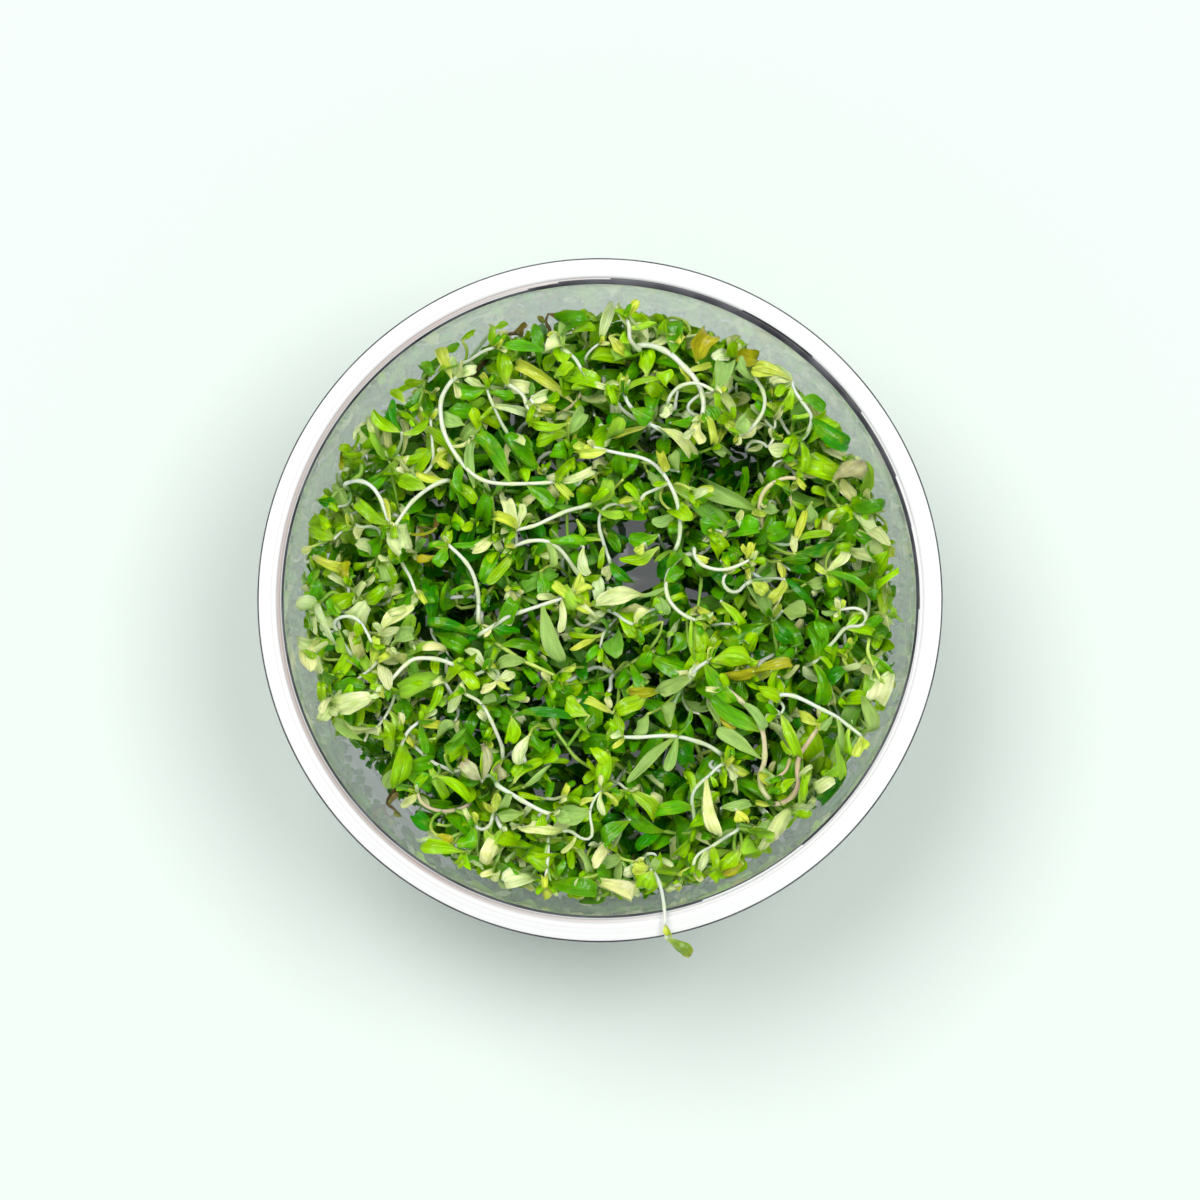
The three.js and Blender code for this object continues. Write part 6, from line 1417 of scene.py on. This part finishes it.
# A folded blade looks narrower than it is, so each is made a little wider than it is listed
FOLDED_WIDTH = 1.08

# The leaf at the end of the shoot that hangs over the rim has begun to wilt
WILTED = np.array(linear("#7b9c30")[:3])
HANGS_BELOW = -52
PALE_NECK = {"s": 0.1, "d": 0.2, "m": 0.45, "l": 0.75, "y": 0.8, "w": 0.7, "p": 0.3, "b": 0.5, "r": 0.0}

for index, (x0, y0, x1, y1, width, tone_name) in enumerate(LEAVES + SMALL_LEAVES):
    found = stem_under(x0, y0) or shoot_for_leaf(x0, y0, MAT_HEIGHT[tone_name] + 3 * chance(index), index)
    base = found["place"]
    rise = 2.5 * (chance(index + 0.5) - 0.4)
    tip = placed(x1, y1, min(base[2] + rise, CUP_HEIGHT + 2.4))
    tone = varied(LEAF_TONES[tone_name], index + 0.21)
    if y1 < HANGS_BELOW:
        tone, tip_tone = WILTED, TIP_TONES["b"]
    else:
        tip_tone = TIP_TONES.get(tone_name)
    shape = ROLLED_UP if tone_name == "r" else {}
    width *= ROLLED_WIDTH if tone_name == "r" else FOLDED_WIDTH
    add_leaf(heap_of(found["clump"]), base, tip, width, tone, index, FINE_LEAF,
             flip=tone_name == "p", pale_neck=PALE_NECK[tone_name], neck=tone_name,
             tip_tone=tip_tone, **shape)
print("listed leaves:", len(LEAVES) + len(SMALL_LEAVES))

# %% [markdown]
# ## The mat under them
# Below the leaves that show, each plantlet is full of side shoots. They lie across one another,
# with pairs of leaves at right angles to the pair before, as on every Rotala. They end on evenly
# spread spots in layers. Some spots stay empty, where the real plant shows the gel between its
# stems, and the upper layers skip the dark hollows.

# %% Gaps and hollows, as drawn: x, y and radius
GAPS = [
    (6.5, 4.2, 2.0), (13, 2, 1.2), (4.3, 10.8, 1.8), (11.5, -33, 1.2), (8.8, -36.8, 1.4),
    (-34.5, 18.8, 1.8), (-36.2, 26.4, 2.4), (-32.6, -25.6, 3.2), (-34.8, -22.6, 1.8), (39, -1, 1.4),
    (-10.6, 43.2, 2.4), (-3, 45, 2.2), (38.6, 3, 1.2), (-39.5, 19.5, 1.6), (-29.6, -31.5, 1.6),
]
HOLLOWS = [
    (17.5, 20.5, 2.2), (21.5, 20.5, 2.4), (26.5, 28.5, 2.2), (-11.5, 25, 2.6), (2, -9.5, 2.4),
    (-36.5, 6, 2.2), (-5, 11, 2.4), (-20.5, -6.5, 2.2), (-24.5, 3.5, 2.0), (-14.5, -20.5, 2.2),
    (5.5, -17, 2.2), (14, -20.5, 2.0), (-27, 14, 2.0), (29.5, 4.5, 2.0), (21.5, -20.5, 2.2),
    (-4.5, -23.5, 2.0), (30, 14.5, 2.0), (-19.5, 33, 2.0),
]


def in_one_of(spots, x, y, room):
    """True inside one of the round spots, or within some room of it."""
    return any(math.hypot(x - sx, y - sy) < radius + room for sx, sy, radius in spots)


# %% Leaf directions and limits
def leaf_direction(ahead, turn, rise):
    """A direction that stands off a shoot, turned about it and raised."""
    side = unit(np.cross(ahead, [0.0, 0.0, 1.0]))
    other = np.cross(side, ahead)
    out = side * math.cos(turn) + other * math.sin(turn)
    return unit(out * math.cos(rise) + np.array([0, 0, 1.0]) * math.sin(rise))


def kept_inside(tip, top=CUP_HEIGHT - 2.5, wall_gap=0.5):
    """A leaf tip, kept inside the wall, above the gel and under the rim."""
    tip = tip.copy()
    tip[2] = min(max(tip[2], GEL_TOP + 0.6), top)
    widest = inner_radius(tip[2]) - wall_gap
    radius = math.hypot(tip[0], tip[1])
    if radius > widest:
        tip[:2] *= widest / radius
    return tip


# Young, paler patches of the mat, and darker ones that are painted shade of the hollows, as drawn: x, y,
# radius and shift in tone
AGE_AND_SHADE_PATCHES = [
    (-34, 22, 12, 0.4), (-35, -6, 9, 0.4), (-28, -17, 9, 0.35), (-36, 8, 8, 0.4), (15, 30, 10, 0.25),
    (24, 33, 9, 0.2), (-4, 0, 5, 0.35), (8, -15, 6, 0.2), (-14, -32, 8, 0.2), (-20, 30, 9, 0.25),
    (24, 2, 8, 0.2), (34, -10, 8, 0.15), (32, 27, 8, 0.15), (38, 8, 7, 0.2), (14, -36, 7, 0.15),
    (-24, 3, 5, -0.2), (-8, -16, 6, -0.2), (20, -18, 5, -0.2), (-12, 26, 5, -0.15), (20, 20, 5, -0.15),
]


def age_and_shade_shift(x, y):
    """How much paler the mat is from young growth, or darker from painted shade, at a place."""
    shift_here = 0
    for patch_x, patch_y, radius, shift in AGE_AND_SHADE_PATCHES:
        apart = math.hypot(x - patch_x, y - patch_y)
        shift_here += shift * max(0, 1 - (apart / radius) ** 2)
    return shift_here


def mat_tone(place, seed):
    """Darker green low in the mat, lighter higher up and near the wall: partly the leaves' age, partly
    painted shade and light.
    """
    x, y, z = place
    # Leaves near the clear wall get a lighter tone: painted light.
    outer = min(max((math.hypot(x, y) - 26) / 12, 0), 1)
    # Lower leaves get darker tones: partly age, partly painted shade.
    level = (z - 15) / 23 + 0.7 * (chance(seed) - 0.5) + 0.22 * outer + age_and_shade_shift(x, y)
    if level < 0.22:
        return "s"
    if level < 0.6:
        return "d"
    if level < 1.02:
        return "m"
    return "w" if level > 1.1 and chance(seed + 0.71) < 0.45 else "l"


# %% A side shoot with its pairs of leaves and the tuft at its tip
MAT_LEAF = (6, 4)
LOW_LEAF = (4, 2)
FINE_ABOVE = 27
STOUT_ABOVE = 29
STOUT, SLIM = 0.34, 0.26
LAST_PAIR = 1.6

# The leaves at the tip of a shoot are as pale as leaves that sit this much higher
TIP_IS_YOUNGER = 5


def add_shoot_leaf(heap, at, out, length, tone_name, seed, fineness):
    tip = kept_inside(at + out * length, wall_gap=between(0.5, 2.8, seed + 0.51))
    tone = varied(LEAF_TONES[tone_name], seed, 0.22)
    width = length * between(0.28, 0.54, seed + 0.21)
    add_leaf(heap, at, tip, width, tone, seed, fineness, flip=chance(seed + 0.27) < 0.16,
             roll=between(-1.2, 1.2, seed + 0.53), pale_neck=PALE_NECK[tone_name], neck=tone_name,
             thickness=0.2)


def add_leafy_shoot(clump, line, seed, size, stem_tone, node_spacing, bare_share=0.3):
    """Adds a shoot in mm and its leaves. Above its bare share it carries pairs of leaves."""
    heap = heap_of(clump)
    fineness = MAT_LEAF if line[-1][2] > FINE_ABOVE else LOW_LEAF
    tones = np.repeat([varied(STEM_TONES[stem_tone], seed)], len(line), axis=0)
    tones[0] = STEM_TONES["buried"]
    radius = STOUT if line[-1][2] > STOUT_ABOVE else SLIM
    add_stem(heap, line, stem_radii(line, radius, seed), tones, 5)
    reach = reach_along(line)
    turn = FULL_TURN * chance(seed + 0.15)
    where = reach[-1] - LAST_PAIR
    while where > bare_share * reach[-1]:
        at = np.array([np.interp(where, reach, line[:, i]) for i in range(3)])
        k = min(int(np.searchsorted(reach, where)), len(line) - 1)
        ahead = unit(line[k] - line[k - 1])
        for half_turn in (0, math.pi):
            leaf_seed = seed + where + half_turn
            out = leaf_direction(ahead, turn + half_turn, between(-0.4, 1.0, leaf_seed))
            out = unit(out + 0.45 * ahead)
            length = size * between(0.65, 1.5, leaf_seed + 0.1)
            add_shoot_leaf(heap, at, out, length, mat_tone(at, leaf_seed), leaf_seed, fineness)
        turn += math.pi / 2
        where -= node_spacing * between(0.8, 1.2, seed + where)
    ahead = unit(line[-1] - line[-2])
    for k in range(3):
        leaf_seed = seed + 3.1 + k
        out = leaf_direction(ahead, turn + k * 2.1 + 0.6, between(0.1, 1.0, leaf_seed))
        out = unit(out + 0.5 * ahead)
        length = size * between(0.35, 0.8, leaf_seed + 0.1)
        tone_name = mat_tone(line[-1] + [0, 0, TIP_IS_YOUNGER], leaf_seed)
        add_shoot_leaf(heap, line[-1], out, length, tone_name, leaf_seed, fineness)


# %% Fill the layers of the mat
def wandering_line(start, end, seed, count):
    """A shoot's line from a stem to its end, with a sideways swing."""
    span = end - start
    across = unit(np.array([-span[1], span[0], 0]))
    swing = between(-3.2, 3.2, seed + 0.7)
    first = start + span * np.array([0.3, 0.3, 0.45]) + across * swing
    second = start + span * np.array([0.7, 0.7, 0.85]) + across * swing * between(-0.6, 1, seed + 0.8)
    return even_line([start, kept_inside(first), kept_inside(second), end], count)


# Height, spacing, tone of the shoot, distance between its pairs of leaves, and its bare share
MAT_LAYERS = [
    (13.2, 5.8, "buried", 3.2, 0.15), (16, 5.6, "buried", 3.6, 0.3), (22, 5.6, "buried", 3.8, 0.3),
    (27.5, 5.2, "green", 4.2, 0.3), (32, 5.2, "lime", 5.0, 0.4), (35, 6.4, "white", 5.5, 0.65),
]

# The mat's edge as it is seen from above: angle in degrees and radius
MAT_EDGE = [
    (-180, 45.5), (-160, 44.5), (-147, 39.5), (-135, 41), (-118, 42), (-90, 44), (-60, 43), (-40, 43),
    (-20, 44), (0, 44), (20, 44.5), (40, 43.5), (60, 43.5), (80, 44.5), (92, 43.5), (104, 39.5), (116, 40),
    (128, 42), (142, 40.5), (156, 44), (180, 45.5),
]
SPARSE_BAND = 5
MAT_WIDTH = 94
OPEN_ABOVE = 26
UNEVEN = 0.6
ROOM_ABOVE, ROOM_BELOW = 1.6, 2.6
FURTHEST_SHOOT = 10
MAT_LEAF_LENGTH = 5.4


def outside_the_mat(x, y, seed):
    """True beyond the mat's edge, and by chance close to it."""
    edge = np.interp(math.degrees(math.atan2(y, x)), *zip(*MAT_EDGE))
    radius = math.hypot(x, y)
    return radius > edge or (radius > edge - SPARSE_BAND and chance(seed + 0.44) < 0.3)


shoot_count = 0
for layer, (height, spacing, stem_tone, node_spacing, bare_share) in enumerate(MAT_LAYERS):
    rows = int(MAT_WIDTH / spacing) + 2
    for row in range(rows):
        for column in range(rows):
            seed = layer * 4000 + row * 61 + column + 0.5
            x = (column + 0.5 * (row % 2) - rows / 2) * spacing + spacing * UNEVEN * (chance(seed) - 0.5)
            y = (row - rows / 2) * spacing + spacing * UNEVEN * (chance(seed + 0.3) - 0.5)
            room = ROOM_ABOVE if height > OPEN_ABOVE else ROOM_BELOW
            if outside_the_mat(x, y, seed) or in_one_of(GAPS, x, y, room):
                continue
            if height > OPEN_ABOVE and in_one_of(HOLLOWS, x, y, 1.0):
                continue
            end = placed(x, y, height + 5 * (chance(seed + 0.6) - 0.5), 1.2)
            found = nearest_stem(end, (2, 14))
            if found is None or found["apart"] > FURTHEST_SHOOT:
                continue
            line = wandering_line(found["start"], end, seed, 11)
            add_leafy_shoot(found["clump"], line, seed, MAT_LEAF_LENGTH, stem_tone, node_spacing,
                            bare_share)
            shoot_count += 1
print("side shoots in the mat:", shoot_count)

# %% [markdown]
# ### Along the wall
# Shoots grow towards the light, so they press against the clear wall, and the wall mirrors them
# as a blurred green band. Rows of shoots end just inside it, from the gel to near the top.

# %% Rows of shoots along the wall: height, degrees between shoots, leaf length, space between pairs
WALL_ROWS = [
    (15, 9, 4.6, 4.2), (18.5, 9, 4.6, 4.2), (22, 8, 4.8, 4.2), (25.5, 8, 5.0, 4.6), (29, 9, 5.6, 5.4),
    (33, 10, 6.2, 6.4), (36, 11, 6.4, 7.5), (38.5, 17, 6.2, 9.0),
]
WALL_SHOOT_GAP = 1.9
FURTHEST_WALL_SHOOT = 13
THIN_BELOW = 42


def in_a_thin_place(angle, height):
    """True where the mat stands back from the wall, as at the top and lower left of the photo."""
    edge = np.interp(math.degrees(angle), *zip(*MAT_EDGE))
    return height > 20 and edge < THIN_BELOW


wall_count = 0
for row, (height, step, size, node_spacing) in enumerate(WALL_ROWS):
    for k in range(int(360 / step)):
        seed = 30000 + row * 400 + k + 0.5
        angle = math.radians(step * (k + 0.5 * (row % 2) + between(-0.3, 0.3, seed)) - 180)
        if in_a_thin_place(angle, height) and chance(seed + 0.2) < 0.8:
            continue
        radius = inner_radius(height) - WALL_SHOOT_GAP
        z = height + between(-1.5, 1.5, seed + 0.6)
        end = np.array([radius * math.cos(angle), radius * math.sin(angle), z])
        found = nearest_stem(end, (1, 16))
        if found is None or found["apart"] > FURTHEST_WALL_SHOOT:
            continue
        line = wandering_line(found["start"], end, seed, 11)
        add_leafy_shoot(found["clump"], line, seed, size, "green", node_spacing)
        wall_count += 1
print("side shoots along the wall:", wall_count)

# %% [markdown]
# ## Growing tips
# Nearly every stem ends in a growing tip: a tuft of tiny folded leaves, yellow-lime because they
# are only days old. They are small leaves set in a tight spiral, so the leaf function makes them
# too. Stems that end at the wall or over the rim go without.

# %% Tufts at the ends of the stems
TUFT_LEAVES = 5


def add_tuft(heap, line, seed, size):
    """Adds a spiral of small pale leaves at the end of a line."""
    ahead = unit(line[-1] - line[-3])
    for k in range(TUFT_LEAVES):
        leaf_seed = seed + 1.7 * k
        rise = between(0.0, 0.8, leaf_seed)
        out = unit(leaf_direction(ahead, k * SPIRAL_TURN + seed, rise) + 0.8 * ahead)
        length = size * between(0.6, 1.3, leaf_seed + 0.1)
        tone_name = "ylwml"[k % TUFT_LEAVES]
        tip = kept_inside(line[-1] + out * length, CUP_HEIGHT + 0.6)
        add_leaf(heap, line[-1], tip, length * between(0.36, 0.55, leaf_seed + 0.2),
                 varied(LEAF_TONES[tone_name], leaf_seed), leaf_seed, MAT_LEAF,
                 pale_neck=0.6, neck=tone_name,
                 gutter=between(1.2, 3.0, leaf_seed + 0.3), bend=between(-1.0, 2.4, leaf_seed + 0.4))


tip_count = 0
for number, other in enumerate(attach[:stem_ends]):
    end = other["line"][-1]
    if math.hypot(end[0], end[1]) > inner_radius(end[2]) - 2.5 or end[2] > CUP_HEIGHT - 1:
        continue
    add_tuft(heap_of(other["clump"]), other["line"], number * 1.3 + 400, between(1.8, 3.2, number + 0.8))
    tip_count += 1
print("growing tips:", tip_count)

# %% Leaves where a stem comes into view
# A stem rises from between the leaves of a joint, and they lie back over its bend. Where a
# listed leaf starts close by, that joint has its leaves. For each leaf: its turn in radians
# from the way the stem runs on, and its rise.
BEND_LEAVES = [(2.3, 0.35), (-2.4, 0.5), (3.3, 0.9)]
HAS_LEAVES_WITHIN = 1.5


def leaf_starts_near(place):
    return any(math.hypot(leaf[0] - place[0], leaf[1] - place[1]) < HAS_LEAVES_WITHIN for leaf in LEAVES)


def add_bend_leaves(other, seed):
    """Adds the leaves of the joint where a stem comes into view, and says how many."""
    line = other["line"]
    k = max(2, int(np.argmax(line[:, 2] > other["visible_from"] - 0.6)))
    if leaf_starts_near(line[k]):
        return 0
    run = line[min(k + 6, len(line) - 1)] - line[k]
    heading = math.atan2(run[1], run[0])
    for number, (turn, rise) in enumerate(BEND_LEAVES):
        leaf_seed = seed + 1.3 * number
        angle = heading + turn + between(-0.4, 0.4, leaf_seed)
        level = math.cos(rise)
        out = np.array([math.cos(angle) * level, math.sin(angle) * level, math.sin(rise)])
        tone_name = mat_tone(line[k] + [0, 0, 3], leaf_seed)
        add_shoot_leaf(heap_of(other["clump"]), line[k], out, between(3.4, 5.6, leaf_seed + 0.4),
                       tone_name, leaf_seed, MAT_LEAF)
    return len(BEND_LEAVES)


bend_leaf_count = 0
for number, other in enumerate(attach[:stem_ends]):
    bend_leaf_count += add_bend_leaves(other, number * 1.7 + 700)
print("leaves on the bends:", bend_leaf_count)

# %% [markdown]
# ## Roots and dry bits
# Fine white roots run down from each foot into the gel, where they hold the plantlet.
# A few dead brown leaf ends and one dead twig lie in the mat, as in the real cup.


# %% Roots
ROOTS_EACH = 4


def add_roots(clump, foot):
    """Roots that spread out and down from a foot, clear of the wall and the cup's bottom."""
    heap = heap_of(clump)
    start = foot - np.array([0, 0, ROOTED * 0.6])
    for k in range(ROOTS_EACH):
        seed = foot[0] * 3.1 + foot[1] * 1.7 + k
        turn = FULL_TURN * chance(seed)
        out = np.array([math.cos(turn), math.sin(turn), 0])
        reach = 2.2 + 3.4 * chance(seed + 0.2)
        low = BASE + 1.2 + 2.4 * chance(seed + 0.4)
        end = start + out * reach
        far = math.hypot(end[0], end[1])
        end[:2] *= min(1, (inner_radius(low) - 1.6) / far)
        end[2] = low
        middle = (start + end) / 2 + np.array([0, 0, 0.9 * (chance(seed + 0.6) - 0.3)])
        line = even_line([start, middle, end], 8)
        tones = np.repeat([STEM_TONES["root"]], len(line), axis=0)
        add_stem(heap, line, np.linspace(0.16, 0.06, len(line)), tones, 5, ROOT)


for clump, foot in feet.items():
    add_roots(clump, foot)
print("roots:", ROOTS_EACH * len(feet))

# %% Dry bits: route, height and width of each
DRY_TONE = np.array(linear("#9c8444")[:3])
DRY_BITS = [
    ([[-7.4, 36.6], [-7.8, 38], [-7.4, 39.6], [-8, 41], [-7.6, 42.2]], 36, 0.34),
    ([[-31.3, -29.8], [-30.4, -31], [-29.4, -31.8]], 28, 0.42),
    ([[-14, 38.6], [-12.6, 39.2], [-11.4, 38.8]], 33, 0.4),
    ([[-28.6, 10.4], [-26.4, 10.6], [-24.4, 10.2]], 33, 0.22),
    ([[6.4, 33.8], [5.4, 34.8], [4.4, 34.6]], 34, 0.24),
]
for number, (route, level, radius) in enumerate(DRY_BITS):
    points = [placed(x, y, z) for (x, y), z in zip(route, heights_of(level, len(route), 0))]
    found = nearest_stem(points[0], (1, 16))
    line = even_line([found["start"], (found["start"] * 2 + points[0]) / 3] + points, 22)
    tones = np.repeat([varied(DRY_TONE, number)], len(line), axis=0)
    add_stem(heap_of(found["clump"]), line, stem_radii(line, radius, number, 0.4), tones, 6, DRY)
    for k in range(2):
        base = line[-1 - 3 * k]
        tip = kept_inside(base + 2.6 * leaf_direction(line[-1] - line[-2], 2 * k + number, 0.3))
        add_leaf(heap_of(found["clump"]), base, tip, 1.2, varied(DRY_TONE, number + k), number + k,
                 MAT_LEAF, gutter=2.4, pale_neck=0)
print("dry bits:", len(DRY_BITS))

# %% [markdown]
# ## What leaf and stem are made of
# A living leaf is a thin wet sponge under a waxy skin. Light sinks in, turns green and comes out
# again, also on the far side, so it glows. The upper face has a soft gloss from the wax, IOR
# about 1.42. The underside scatters more and is dull. The veins are paler than the blade.


# %% Colour and relief, shared by both faces of the leaf
def leaf_colour(tree, patch_colour, patch_share):
    """Node outputs for the leaf's colour and its relief, from the tone and place at each corner."""
    tone = add_node(tree, "ShaderNodeAttribute", {"attribute_name": "tone"})
    blade = add_node(tree, "ShaderNodeAttribute", {"attribute_name": "blade"})
    place = add_node(tree, "ShaderNodeTexCoord")
    along_leaf = add_node(tree, "ShaderNodeMapping", None, {"Vector": blade.outputs["Vector"]})
    along_leaf.inputs["Scale"].default_value = (2.4, 2.8, 1.0)
    blotches = add_node(tree, "ShaderNodeTexNoise", {"Scale": 1.0, "Detail": 3.0},
                     {"Vector": along_leaf.outputs["Vector"]})
    patches = add_node(tree, "ShaderNodeTexNoise", {"Scale": 1 / (2.2 * MM), "Detail": 3.0},
                       {"Vector": place.outputs["Object"]})
    shade = add_node(tree, "ShaderNodeMapRange",
                     {"From Min": 0.3, "From Max": 0.7, "To Min": 0.7, "To Max": 1.24},
                     {"Value": blotches.outputs["Fac"]})
    streaked = add_node(tree, "ShaderNodeVectorMath", {"operation": "SCALE"},
                        {0: tone.outputs["Color"], "Scale": shade.outputs["Result"]})
    share = add_node(tree, "ShaderNodeMapRange",
                     {"From Min": 0.52, "From Max": 0.75, "To Min": 0.0, "To Max": patch_share},
                     {"Value": patches.outputs["Fac"]})
    patched = add_node(tree, "ShaderNodeMix", {"data_type": "RGBA"}, {0: share.outputs["Result"]})
    tree.links.new(streaked.outputs[0], patched.inputs[6])
    patched.inputs[7].default_value = linear(patch_colour)
    split = add_node(tree, "ShaderNodeSeparateXYZ", None, {"Vector": blade.outputs["Vector"]})
    off_rib = add_node(tree, "ShaderNodeMath", {"operation": "ABSOLUTE"}, {0: split.outputs["Y"]})
    rib = add_node(tree, "ShaderNodeMapRange",
                   {"From Min": 0.0, "From Max": 0.14, "To Min": -0.6, "To Max": 0.0},
                   {"Value": off_rib.outputs[0]})
    veined = add_node(tree, "ShaderNodeMath", {"operation": "ADD"},
                      {0: rib.outputs["Result"], 1: blotches.outputs["Fac"]})
    relief = add_node(tree, "ShaderNodeMath", {"operation": "MULTIPLY_ADD", 1: 3.0},
                      {0: patches.outputs["Fac"], 2: veined.outputs[0]})
    return patched.outputs[2], relief.outputs[0]


# Green light gets furthest through the wet tissue, red not as far and blue hardly at all
LEAF_TISSUE = {"Subsurface Weight": 0.3, "Subsurface Scale": 0.4 * MM,
               "Subsurface Radius": (0.6, 1.0, 0.1)}


def waxy_leaf_face():
    """Wax gives the upper face soft highlights, and lime patches lie on it here and there."""
    material, tree = new_material("waxy_leaf_face")
    colour, relief = leaf_colour(tree, "#b0cc08", 0.45)
    bump = add_node(tree, "ShaderNodeBump", {"Strength": 0.6, "Distance": 0.16 * MM}, {"Height": relief})
    shader = add_node(tree, "ShaderNodeBsdfPrincipled",
                      {"Roughness": 0.18, "IOR": 1.42, "Specular IOR Level": 0.42} | LEAF_TISSUE,
                      {"Base Color": colour, "Normal": bump.outputs["Normal"]})
    return with_surface(material, shader)


def matte_leaf_underside():
    """Without the wax the underside is dull, and air between its cells makes it paler."""
    material, tree = new_material("matte_leaf_underside")
    colour, relief = leaf_colour(tree, "#bcd48c", 0.5)
    pale = add_node(tree, "ShaderNodeMix", {"data_type": "RGBA", 0: 0.3})
    tree.links.new(colour, pale.inputs[6])
    pale.inputs[7].default_value = linear("#9cc264")
    bump = add_node(tree, "ShaderNodeBump", {"Strength": 0.5, "Distance": 0.12 * MM}, {"Height": relief})
    shader = add_node(tree, "ShaderNodeBsdfPrincipled",
                      {"Roughness": 0.6, "IOR": 1.4, "Specular IOR Level": 0.2} | LEAF_TISSUE,
                      {"Base Color": pale.outputs[2], "Normal": bump.outputs["Normal"]})
    return with_surface(material, shader)


# %% [markdown]
# ### Stem skin, roots and dry leaf
# A young stem is full of water and nearly without chlorophyll: pale, glossy and see-through at
# its edge, with fine lines along it. Roots are the same without the gloss. A dead leaf dries to
# brown paper: matt, opaque and cockled.


# %% Stem, root and dry leaf
def watery_stem_skin():
    """A thin clear skin over watery tissue: a sharp gloss over a soft pale glow."""
    material, tree = new_material("watery_stem_skin")
    tone = add_node(tree, "ShaderNodeAttribute", {"attribute_name": "tone"})
    blade = add_node(tree, "ShaderNodeAttribute", {"attribute_name": "blade"})
    stretched = add_node(tree, "ShaderNodeMapping", None, {"Vector": blade.outputs["Vector"]})
    stretched.inputs["Scale"].default_value = (0.5, 2.2, 1.0)
    streak = add_node(tree, "ShaderNodeTexNoise", {"Scale": 2.0, "Detail": 2.0},
                      {"Vector": stretched.outputs["Vector"]})
    shade = add_node(tree, "ShaderNodeMapRange",
                     {"From Min": 0.3, "From Max": 0.7, "To Min": 0.86, "To Max": 1.1},
                     {"Value": streak.outputs["Fac"]})
    colour = add_node(tree, "ShaderNodeVectorMath", {"operation": "SCALE"},
                      {0: tone.outputs["Color"], "Scale": shade.outputs["Result"]})
    bump = add_node(tree, "ShaderNodeBump", {"Strength": 0.2, "Distance": 0.05 * MM},
                    {"Height": streak.outputs["Fac"]})
    shader = add_node(tree, "ShaderNodeBsdfPrincipled",
                      {"Roughness": 0.28, "IOR": 1.38, "Subsurface Weight": 0.5,
                       "Subsurface Scale": 0.6 * MM, "Subsurface Radius": (0.9, 1.0, 0.5),
                       "Coat Weight": 0.6, "Coat Roughness": 0.1},
                      {"Base Color": colour.outputs[0], "Normal": bump.outputs["Normal"]})
    return with_surface(material, shader)


def fine_white_root():
    material, tree = new_material("fine_white_root")
    place = add_node(tree, "ShaderNodeTexCoord")
    grain = add_node(tree, "ShaderNodeTexNoise", {"Scale": 1 / (0.8 * MM)},
                     {"Vector": place.outputs["Object"]})
    tint = add_node(tree, "ShaderNodeValToRGB", None, {"Fac": grain.outputs["Fac"]})
    set_ramp(tint, [(0.0, "#cfc8ae"), (1.0, "#f1eee2")])
    shader = add_node(tree, "ShaderNodeBsdfPrincipled",
                      {"Roughness": 0.6, "IOR": 1.38, "Subsurface Weight": 0.3,
                       "Subsurface Scale": 0.4 * MM},
                      {"Base Color": tint.outputs["Color"]})
    return with_surface(material, shader)


def dry_brown_leaf():
    material, tree = new_material("dry_brown_leaf")
    place = add_node(tree, "ShaderNodeTexCoord")
    grain = add_node(tree, "ShaderNodeTexNoise", {"Scale": 1 / (0.7 * MM), "Detail": 4.0},
                     {"Vector": place.outputs["Object"]})
    tint = add_node(tree, "ShaderNodeValToRGB", None, {"Fac": grain.outputs["Fac"]})
    set_ramp(tint, [(0.0, "#4a3a1c"), (1.0, "#9c8450")])
    bump = add_node(tree, "ShaderNodeBump", {"Strength": 0.6, "Distance": 0.1 * MM},
                    {"Height": grain.outputs["Fac"]})
    shader = add_node(tree, "ShaderNodeBsdfPrincipled", {"Roughness": 0.85},
                      {"Base Color": tint.outputs["Color"], "Normal": bump.outputs["Normal"]})
    return with_surface(material, shader)


PLANT_MATERIALS = [
    waxy_leaf_face(), matte_leaf_underside(), watery_stem_skin(), fine_white_root(), dry_brown_leaf()]

# %% [markdown]
# ## From heaps to pieces
# Each clump becomes one mesh that stands for its solid. The margins of the leaves are marked
# sharp, so that the upper and lower faces shade as two faces and not as a pillow.


# %% Make the plantlets
def make_plantlet(clump, heap):
    """Makes the mesh of one clump from its heap, and says how many faces it has."""
    name = "rotala_" + clump
    mesh = bpy.data.meshes.new(name)
    verts = np.concatenate(heap["verts"]) * MM
    mesh.from_pydata(verts.tolist(), [], heap["faces"])
    mesh.polygons.foreach_set("use_smooth", np.ones(len(mesh.polygons), bool))
    mesh.polygons.foreach_set("material_index", np.array(heap["slots"], np.int32))
    tone = mesh.attributes.new("tone", "FLOAT_COLOR", "POINT")
    colours = np.ones((len(verts), 4), np.float32)
    colours[:, :3] = np.concatenate(heap["tones"])
    tone.data.foreach_set("color", colours.ravel())
    blade = mesh.attributes.new("blade", "FLOAT_VECTOR", "POINT")
    blade.data.foreach_set("vector", np.concatenate(heap["blades"]).astype(np.float32).ravel())
    ends = np.zeros(len(mesh.edges) * 2, np.int32)
    mesh.edges.foreach_get("vertices", ends)
    on_margin = np.concatenate(heap["edge"])[ends.reshape(-1, 2)].all(axis=1)
    sharp = mesh.attributes.new("sharp_edge", "BOOLEAN", "EDGE")
    sharp.data.foreach_set("value", on_margin)
    for material in PLANT_MATERIALS:
        mesh.materials.append(material)
    mesh.update()
    piece = add_object(name, mesh)
    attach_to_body(piece, "root")
    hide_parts("plantlet_" + clump)
    return len(heap["faces"])


face_count = sum(make_plantlet(clump, heap) for clump, heap in sorted(heaps.items()))
print("plantlets:", len(heaps), "faces:", face_count)
